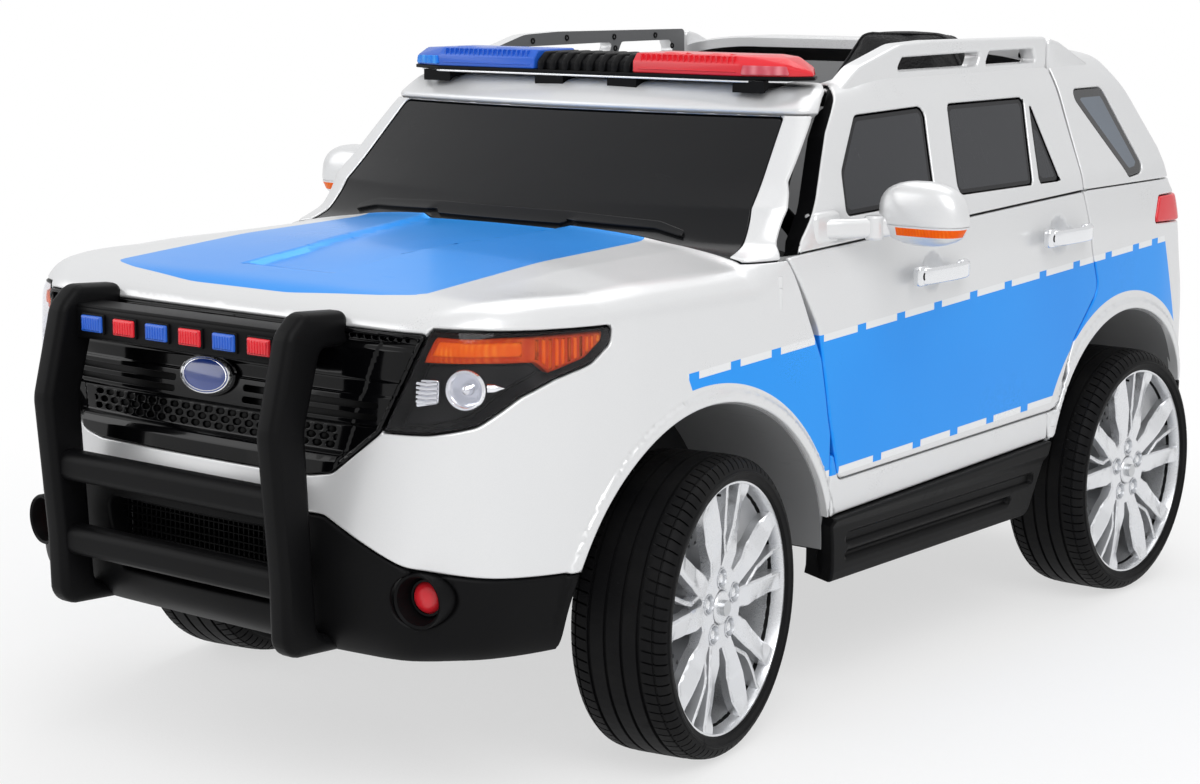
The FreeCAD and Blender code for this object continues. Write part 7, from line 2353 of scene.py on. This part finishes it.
@dataclass
class Padding:
    """Stuffs a plain block until it swells like a cushion, then sews it."""

    voxel: float = 0.005
    pressure: float = 6.0
    last_frame: int = 20
    cap: float = 9.0

    def applied(self, item: bpy.types.Object) -> bpy.types.Mesh:
        """The object's mesh with its modifiers applied."""
        graph = bpy.context.evaluated_depsgraph_get()
        return bpy.data.meshes.new_from_object(item.evaluated_get(graph), depsgraph=graph)

    def points(self, mesh: bpy.types.Mesh) -> Array:
        """A mesh's vertices in millimetres."""
        flat = np.empty(len(mesh.vertices) * 3)
        mesh.vertices.foreach_get("co", flat)
        return flat.reshape(-1, 3) / MM

    def swollen(self, shape: Shape, finish: Finish, keep_in: Callable[[Array], Array]) -> bpy.types.Object:
        """Remesh a block and let air pressure fill it out.

        Args:
            shape: the block, a little smaller than the cushion.
            finish: the cover.
            keep_in: brings points back into the cushion's room.

        Returns:
            The cushion, not yet handed to the frame.
        """
        item = bpy.data.objects.new("padding", shape._mesh("padding"))
        bpy.context.scene.collection.objects.link(item)
        remesh = item.modifiers.new("remesh", "REMESH")
        remesh.mode, remesh.voxel_size, remesh.use_smooth_shade = "VOXEL", self.voxel, True
        item.data = self.applied(item)
        item.modifiers.clear()
        start = self.points(item.data)
        cloth = item.modifiers.new("cloth", "CLOTH")
        cloth.settings.use_pressure = True
        cloth.settings.uniform_pressure_force = self.pressure
        cloth.settings.quality = 4
        cloth.settings.effector_weights.gravity = 0.0
        cloth.point_cache.frame_start, cloth.point_cache.frame_end = 1, self.last_frame
        for frame_number in range(1, self.last_frame + 1):
            bpy.context.scene.frame_set(frame_number)
        swollen = self.points(self.applied(item))
        item.modifiers.clear()
        bpy.context.scene.frame_set(1)
        move = swollen - start
        length = np.linalg.norm(move, axis=1, keepdims=True)
        start = start + move * np.minimum(1.0, self.cap / np.maximum(length, 1e-6))
        item.data.vertices.foreach_set("co", (keep_in(start) * MM).ravel())
        smooth = item.modifiers.new("smooth", "SUBSURF")
        smooth.levels = smooth.render_levels = 1
        item.data = self.applied(item)
        item.modifiers.clear()
        item.data.shade_smooth()
        item.data.materials.clear()
        item.data.materials.append(finish.material())
        return item

    def pressed(self, item: bpy.types.Object, lines: Sequence[Array], deep: float, wide: float) -> None:
        """Press sewn channels into a cushion along lines, towards its middle."""
        verts = self.points(item.data)
        inward = verts.mean(axis=0) - verts
        inward /= np.linalg.norm(inward, axis=1, keepdims=True)
        for line in lines:
            reach = np.min(np.linalg.norm(verts[:, None, :] - line[None, ::3, :], axis=2), axis=1)
            verts = verts + inward * (deep * np.exp(-(reach / wide) ** 2))[:, None]
        item.data.vertices.foreach_set("co", (verts * MM).ravel())
        item.data.update()

    def landed(self, item: bpy.types.Object, line: Array) -> Array:
        """A line laid on the cushion's surface."""
        bpy.context.view_layer.update()
        place = [item.closest_point_on_mesh(Vector(point * MM))[1] for point in line]
        return np.array(place) / MM

    def sewn(self, item: bpy.types.Object, lines: Sequence[Array], piping: Sequence[Array]) -> Shape:
        """Stitches along the channels and piping round the edges."""
        shape = Shape()
        for line in lines:
            path = self.landed(item, line)
            for near, far in zip(path[:-1:2], path[1::2]):
                stitch = brick((0, 0, 0), (4.2, 1.1, 1.1), 0.3, slot=1)
                shape.join(aimed(stitch, (near + far) / 2.0, far - near))
        for line in piping:
            shape.join(sweep(self.landed(item, line), circle(1.9, 8), closed=True))
        return shape


@dataclass
class Seat:
    """The driver's padded seat, a cushion and a leaning back."""

    middle: float = 130.0
    half: float = 91.0
    bench: float = 262.5
    front: float = 74.5
    back: float = 227.5
    back_front: float = 228.5
    lean: float = 6.0
    shoulder: float = 571.0
    top: float = 619.0
    taper: float = 36.0
    padding: Padding = field(default_factory=Padding)

    def keep_in(self, low: Sequence[float], high: Sequence[float]) -> Callable[[Array], Array]:
        """Holds points between two corners."""
        return lambda points: np.clip(points, low, high)

    def finish_off(self, item: bpy.types.Object, name: str, node: str, lines: Sequence[Array],
                   piping: Sequence[Array]) -> None:
        """Sew a cushion and hand it over with its seams."""
        self.padding.pressed(item, lines, 4.0, 5.0)
        item.name = item.data.name = name
        keep(item, "root", (node,), "seat_pad")
        seams = self.padding.sewn(item, lines, piping)
        seams.piece(name + "_seams", "root", (SEAT_PIPING, SEAT_THREAD), (), "seat_pad")

    def build_cushion(self) -> None:
        """The part that the child sits on."""
        left, right = self.middle - self.half, self.middle + self.half
        plan = rounded([(left + 3, self.front + 4, 22), (right - 3, self.front + 4, 22), (right - 3,
            self.back - 3, 14),
                        (left + 3, self.back - 3, 14)])
        block = prism(plan, self.bench, 299.0, View.PLAN, 12.0, steps=4)
        item = self.padding.swollen(block, SEAT_PAD, self.keep_in((left + 0.6, self.front + 1, self.bench),
                                                                  (right - 0.6, self.back - 0.4, 309.0)))
        lines = [along([(self.middle + a, self.front + 16, 302), (self.middle + a, self.back - 12, 302)], 4.0)
                 for a in (-48.0, -16.0, 16.0, 48.0)]
        rim = View.PLAN.lift(grown(plan, -2.0), 296.0)
        self.finish_off(item, "seat_cushion_pad", "seat_cushion", lines, [rim])

    def build_back(self) -> None:
        """The leaning back with its narrower top."""
        half, base = self.half - 2.5, self.bench + 2.0
        outline = rounded([(self.middle + a * b, z, radius) for a, rows in (
            (1, ((half, base, 12), (half, self.shoulder, 34), (half - self.taper, self.top - 1, 24))),
            (-1, ((half - self.taper, self.top - 1, 24), (half, self.shoulder, 34), (half, base, 12))))
            for b, z, radius in rows])
        turn = (Matrix.Translation(Vector((0.0, self.back_front, self.bench + 5.0)))
                @ Matrix.Rotation(math.radians(-self.lean), 4, "X")
                @ Matrix.Translation(Vector((0.0, 0.0, -self.bench))))
        block = prism(outline, 5.0, 40.0, View.FRONT, 9.0, steps=4).turned(turn)
        item = self.padding.swollen(block, SEAT_PAD, self.keep_in(
            (self.middle - self.half + 0.6, self.back_front + 0.6, self.bench),
            (self.middle + self.half - 0.6, 312.0, 619.0)))
        matrix = np.array(turn)
        place = lambda points: np.asarray(points) @ matrix[:3, :3].T + matrix[:3, 3]
        lines = [place(along([(self.middle + a, 1.0, base + 46), (self.middle + a, 1.0,
                                                                  self.shoulder - 60)], 4.0))
                 for a in (-48.0, -16.0, 16.0, 48.0)]
        lines.append(place(along([(self.middle - 74, 1.0, self.shoulder - 46), (self.middle + 74, 1.0,
            self.shoulder - 46)], 4.0)))
        rims = [place(View.FRONT.lift(grown(outline, -1.5), depth)) for depth in (8.0, 36.0)]
        self.finish_off(item, "seat_back_pad", "seat_back", lines, rims)

    def build(self) -> None:
        """Build the cushion and the back."""
        self.build_cushion()
        self.build_back()


@dataclass
class Dashboard:
    """Dials, switches and gear lever on the dashboard; hub cap on the wheel."""

    face: float = FRONT + 183.5
    driver: float = 130.0
    wheel: tuple[float, float, float] = (130.0, -29.5, 416.0)
    rake: float = 35.0

    def dial(self, radius: float) -> Shape:
        """A dial that faces +X: rim, face, ticks and needle."""
        rim = lathe([(-2, radius - 1), (-2, radius + 3), (3, radius + 3.4), (5, radius + 1.6), (3, radius),
                     (1, radius - 1)], 40, slot=1)
        plate = lathe([(0.4, radius), (1.0, radius - 3), (1.0, 0.1)], 40)
        tick = brick((1.2, 0, radius - 4.5), (0.8, 0.9, 4.0), 0.2)
        ticks = Copies.of(tick, 24, turn=(15, 0, 0), finish=DIAL_WHITE, slot=2)
        needle = brick((2.0, 0, radius * 0.35), (0.8, 1.4, radius * 0.8), 0.3, slot=3)
        cap = lathe([(1, 3), (3.4, 2.6), (3.8, 0.1)], 16, slot=1)
        return Shape().join(rim, plate, ticks, needle, cap)

    def build(self) -> None:
        """Build the parts on the dashboard and the steering wheel."""
        shape = Shape()
        aim = (0.0, 0.9, 0.42)
        for offset, radius in ((-34.0, 20.0), (34.0, 20.0), (0.0, 12.0)):
            shape.join(aimed(self.dial(radius), (self.driver + offset, self.face - 2.0, 392.0), aim))
        panel = prism(rounded([(-58, 348, 8), (58, 348, 8), (58, 388, 12), (-58, 388, 12)]),
                      self.face + 1.0, self.face + 12.0,
                      View.FRONT, 2.5)
        switch = brick((-42.0, self.face + 13.0, 378.0), (17.0, 5.0, 10.0), 1.8, slot=1)
        slots = Copies.of(brick((0.0, self.face + 12.5, 352.5), (84.0, 2.0, 1.6), 0.5), 4, step=(0, 0, 4.0),
                          finish=MATT_BLACK)
        switches = Copies.of(switch, 5, step=(21.0, 0, 0), finish=GLOSS_BLACK, slot=1)
        lever = lathe([(0, 15), (3, 15.5), (7, 8), (30, 5.5), (34, 9.5), (44, 10.5), (50, 8), (52, 0.1)], 24)
        lever = aimed(lever, (0.0, self.face + 14.0, 338.0), (0.0, 0.94, 0.34))
        vent = prism(rounded([(178, 384, 5), (232, 384, 5), (228, 404, 5), (182, 404, 5)]), self.face - 4.0,
                     self.face + 5.0,
                     View.FRONT, 1.6)
        vents = Copies.of(brick((205.0, self.face + 5.5, 388.0), (44.0, 3.0, 1.6), 0.5), 4, step=(0, 0,
            4.2), finish=MATT_BLACK)
        vents = vent.join(vents)
        shape.join(panel, slots, switches, lever, vents, vents.mirrored())
        shape.piece("dashboard_parts", "root", (MATT_BLACK, GLOSS_BLACK, DIAL_WHITE, RED_LENS), (),
                    "matt_black")
        axis = Vector((0.0, math.sin(math.radians(self.rake)) * 1.0, math.cos(math.radians(self.rake))))
        hub = lathe([(7, 30), (10, 30.5), (13, 28), (16, 20), (17.4, 8), (17.6, 0.1)], 48)
        ring = lathe([(12.6, 26.5), (14.4, 26), (14.2, 23), (12.8, 22.5)], 48, slot=1)
        aimed(hub.join(ring), self.wheel, axis).piece(
            "steering_hub_cap", "steering_wheel", (GLOSS_BLACK, BRIGHT), (), "matt_black")


class CadFinish(Enum):
    """Finishes of the parts whose modelled shape is shown as it is."""

    UNDERSIDE = ("chassis_tub",)
    LINER = ("front_wheel_liners", "rear_wheel_liners", "rear_bulkhead")
    PLASTIC = ("dashboard", "steering_wheel", "battery", "motor_gearboxes", "lightbar_feet")
    METAL = ("front_axle", "knuckle_left", "knuckle_right", "tie_rod", "rear_axle")

    def finish(self) -> Finish:
        """The finish of this group."""
        return {"UNDERSIDE": UNDERSIDE, "LINER": LINER_GREY, "PLASTIC": MATT_BLACK, "METAL": STEEL}[self.name]


def dress_kept_nodes() -> None:
    """Give every CAD node that stays on show its finish, in its object's own slots."""
    for group in CadFinish:
        for node in group.value:
            item = bpy.data.objects.get(node)
            if item is None:
                LOG.info("no node %s", node)
                continue
            for slot in item.material_slots:
                slot.link = "OBJECT"
                slot.material = group.finish().material()
            LOG.info("%s: %s", node, group.finish().name)


# ---- camera, floor and light ------------------------------------------------


@dataclass
class Studio:
    """A pale floor, three soft lamps and the camera."""

    eye: tuple[float, float, float] = (1.548, -1.9825, 0.693)
    azimuth: float = 39.04
    elevation: float = 9.96
    roll: float = 0.04
    lens: float = 74.46

    def camera(self) -> None:
        """Place the camera."""
        data = bpy.data.cameras.new("camera")
        data.lens, data.sensor_width, data.sensor_fit = self.lens, 36.0, "HORIZONTAL"
        item = bpy.data.objects.new("camera", data)
        item.location = self.eye
        item.rotation_euler = (math.radians(90.0 - self.elevation), math.radians(self.roll),
                               math.radians(self.azimuth))
        bpy.context.scene.collection.objects.link(item)
        bpy.context.scene.camera = item

    def lamp(self, name: str, place: tuple[float, float, float], size: float, power: float) -> None:
        """A square soft lamp aimed at the car."""
        data = bpy.data.lights.new(name, "AREA")
        data.energy, data.size = power, size
        item = bpy.data.objects.new(name, data)
        item.location = place
        item.rotation_euler = (Vector((0.0, 0.0, 0.3)) - Vector(place)).to_track_quat("-Z", "Y").to_euler()
        bpy.context.scene.collection.objects.link(item)

    def floor(self) -> None:
        """A wide pale floor that keeps the car's shadow."""
        mesh = bpy.data.meshes.new("floor")
        build = bmesh.new()
        bmesh.ops.create_grid(build, x_segments=8, y_segments=8, size=14.0)
        build.to_mesh(mesh)
        build.free()
        paint = Paint("pale_floor")
        place = paint.place()
        color = paint.mix(paint.noise(place, 2.0), (0.90, 0.90, 0.90), (0.93, 0.93, 0.93))
        matt = paint.add("ShaderNodeBsdfPrincipled", inputs={
            "Base Color": color, "Roughness": paint.noise(place, 9.0) * 0.1 + 0.75,
            "Specular IOR Level": 0.15,
            "Normal": paint.bump(paint.noise(place, 320.0, 3.0), 0.0006, 0.3)})
        x, y, _ = paint.axes(place)
        away = (x * x + y * y) * 1e-6
        bright = paint.smooth(away, 0.45, 1.9) * 0.38 + 0.62
        seen = paint.add("ShaderNodeLightPath", output="Is Camera Ray")
        for ray in ("Is Glossy Ray", "Is Transmission Ray"):
            seen = seen | paint.add("ShaderNodeLightPath", output=ray)
        white = paint.add("ShaderNodeEmission", inputs={"Strength": 1.0})
        matt = paint.add("ShaderNodeMixShader", inputs={0: seen * bright, 1: matt, 2: white})
        mesh.materials.append(paint.surface(matt))
        item = bpy.data.objects.new("floor", mesh)
        bpy.context.scene.collection.objects.link(item)

    def world(self) -> None:
        """An even pale surround, white where the camera looks at it."""
        world = bpy.data.worlds.new("surround")
        bpy.context.scene.world = world
        world.use_nodes = True
        tree = world.node_tree
        tree.nodes.clear()
        path = tree.nodes.new("ShaderNodeLightPath")
        plain = tree.nodes.new("ShaderNodeBackground")
        plain.inputs["Color"].default_value = (0.80, 0.805, 0.812, 1.0)
        plain.inputs["Strength"].default_value = 0.62
        white = tree.nodes.new("ShaderNodeBackground")
        white.inputs["Color"].default_value = (1.0, 1.0, 1.0, 1.0)
        mix = tree.nodes.new("ShaderNodeMixShader")
        out = tree.nodes.new("ShaderNodeOutputWorld")
        either = tree.nodes.new("ShaderNodeMath")
        either.operation = "MAXIMUM"
        glossy = tree.nodes.new("ShaderNodeMath")
        glossy.operation = "MULTIPLY"
        tree.links.new(path.outputs["Is Glossy Ray"], glossy.inputs[0])
        glossy.inputs[1].default_value = 0.6
        tree.links.new(path.outputs["Is Camera Ray"], either.inputs[0])
        tree.links.new(glossy.outputs[0], either.inputs[1])
        tree.links.new(either.outputs[0], mix.inputs[0])
        tree.links.new(plain.outputs[0], mix.inputs[1])
        tree.links.new(white.outputs[0], mix.inputs[2])
        tree.links.new(mix.outputs[0], out.inputs["Surface"])

    def build(self) -> None:
        """Build the studio."""
        bpy.context.scene.view_settings.view_transform = "Standard"
        self.camera()
        self.floor()
        self.world()
        self.lamp("key_lamp", (2.2, -1.8, 2.8), 2.6, 69.0)
        self.lamp("fill_lamp", (-2.8, -2.4, 1.9), 2.6, 33.0)
        self.lamp("top_lamp", (-0.4, 1.2, 3.2), 2.4, 34.0)


# ---- the whole car ----------------------------------------------------------


def main() -> None:
    """Build the car piece by piece."""
    logging.basicConfig(level=logging.INFO, format="%(message)s")
    Studio().build()
    hull = Hull()
    panels = BodyPanels(hull)
    for part in (panels, Wheel(), Grille(panels), Headlamps(panels), PushBar(), BumperTrim(), LightBar(),
                 Mirror(), Handles(),
                 Seat(), Dashboard()):
        part.build()
    Sills().build(panels)
    dress_kept_nodes()
    bpy.context.view_layer.update()


if __name__ == "__main__":
    main()
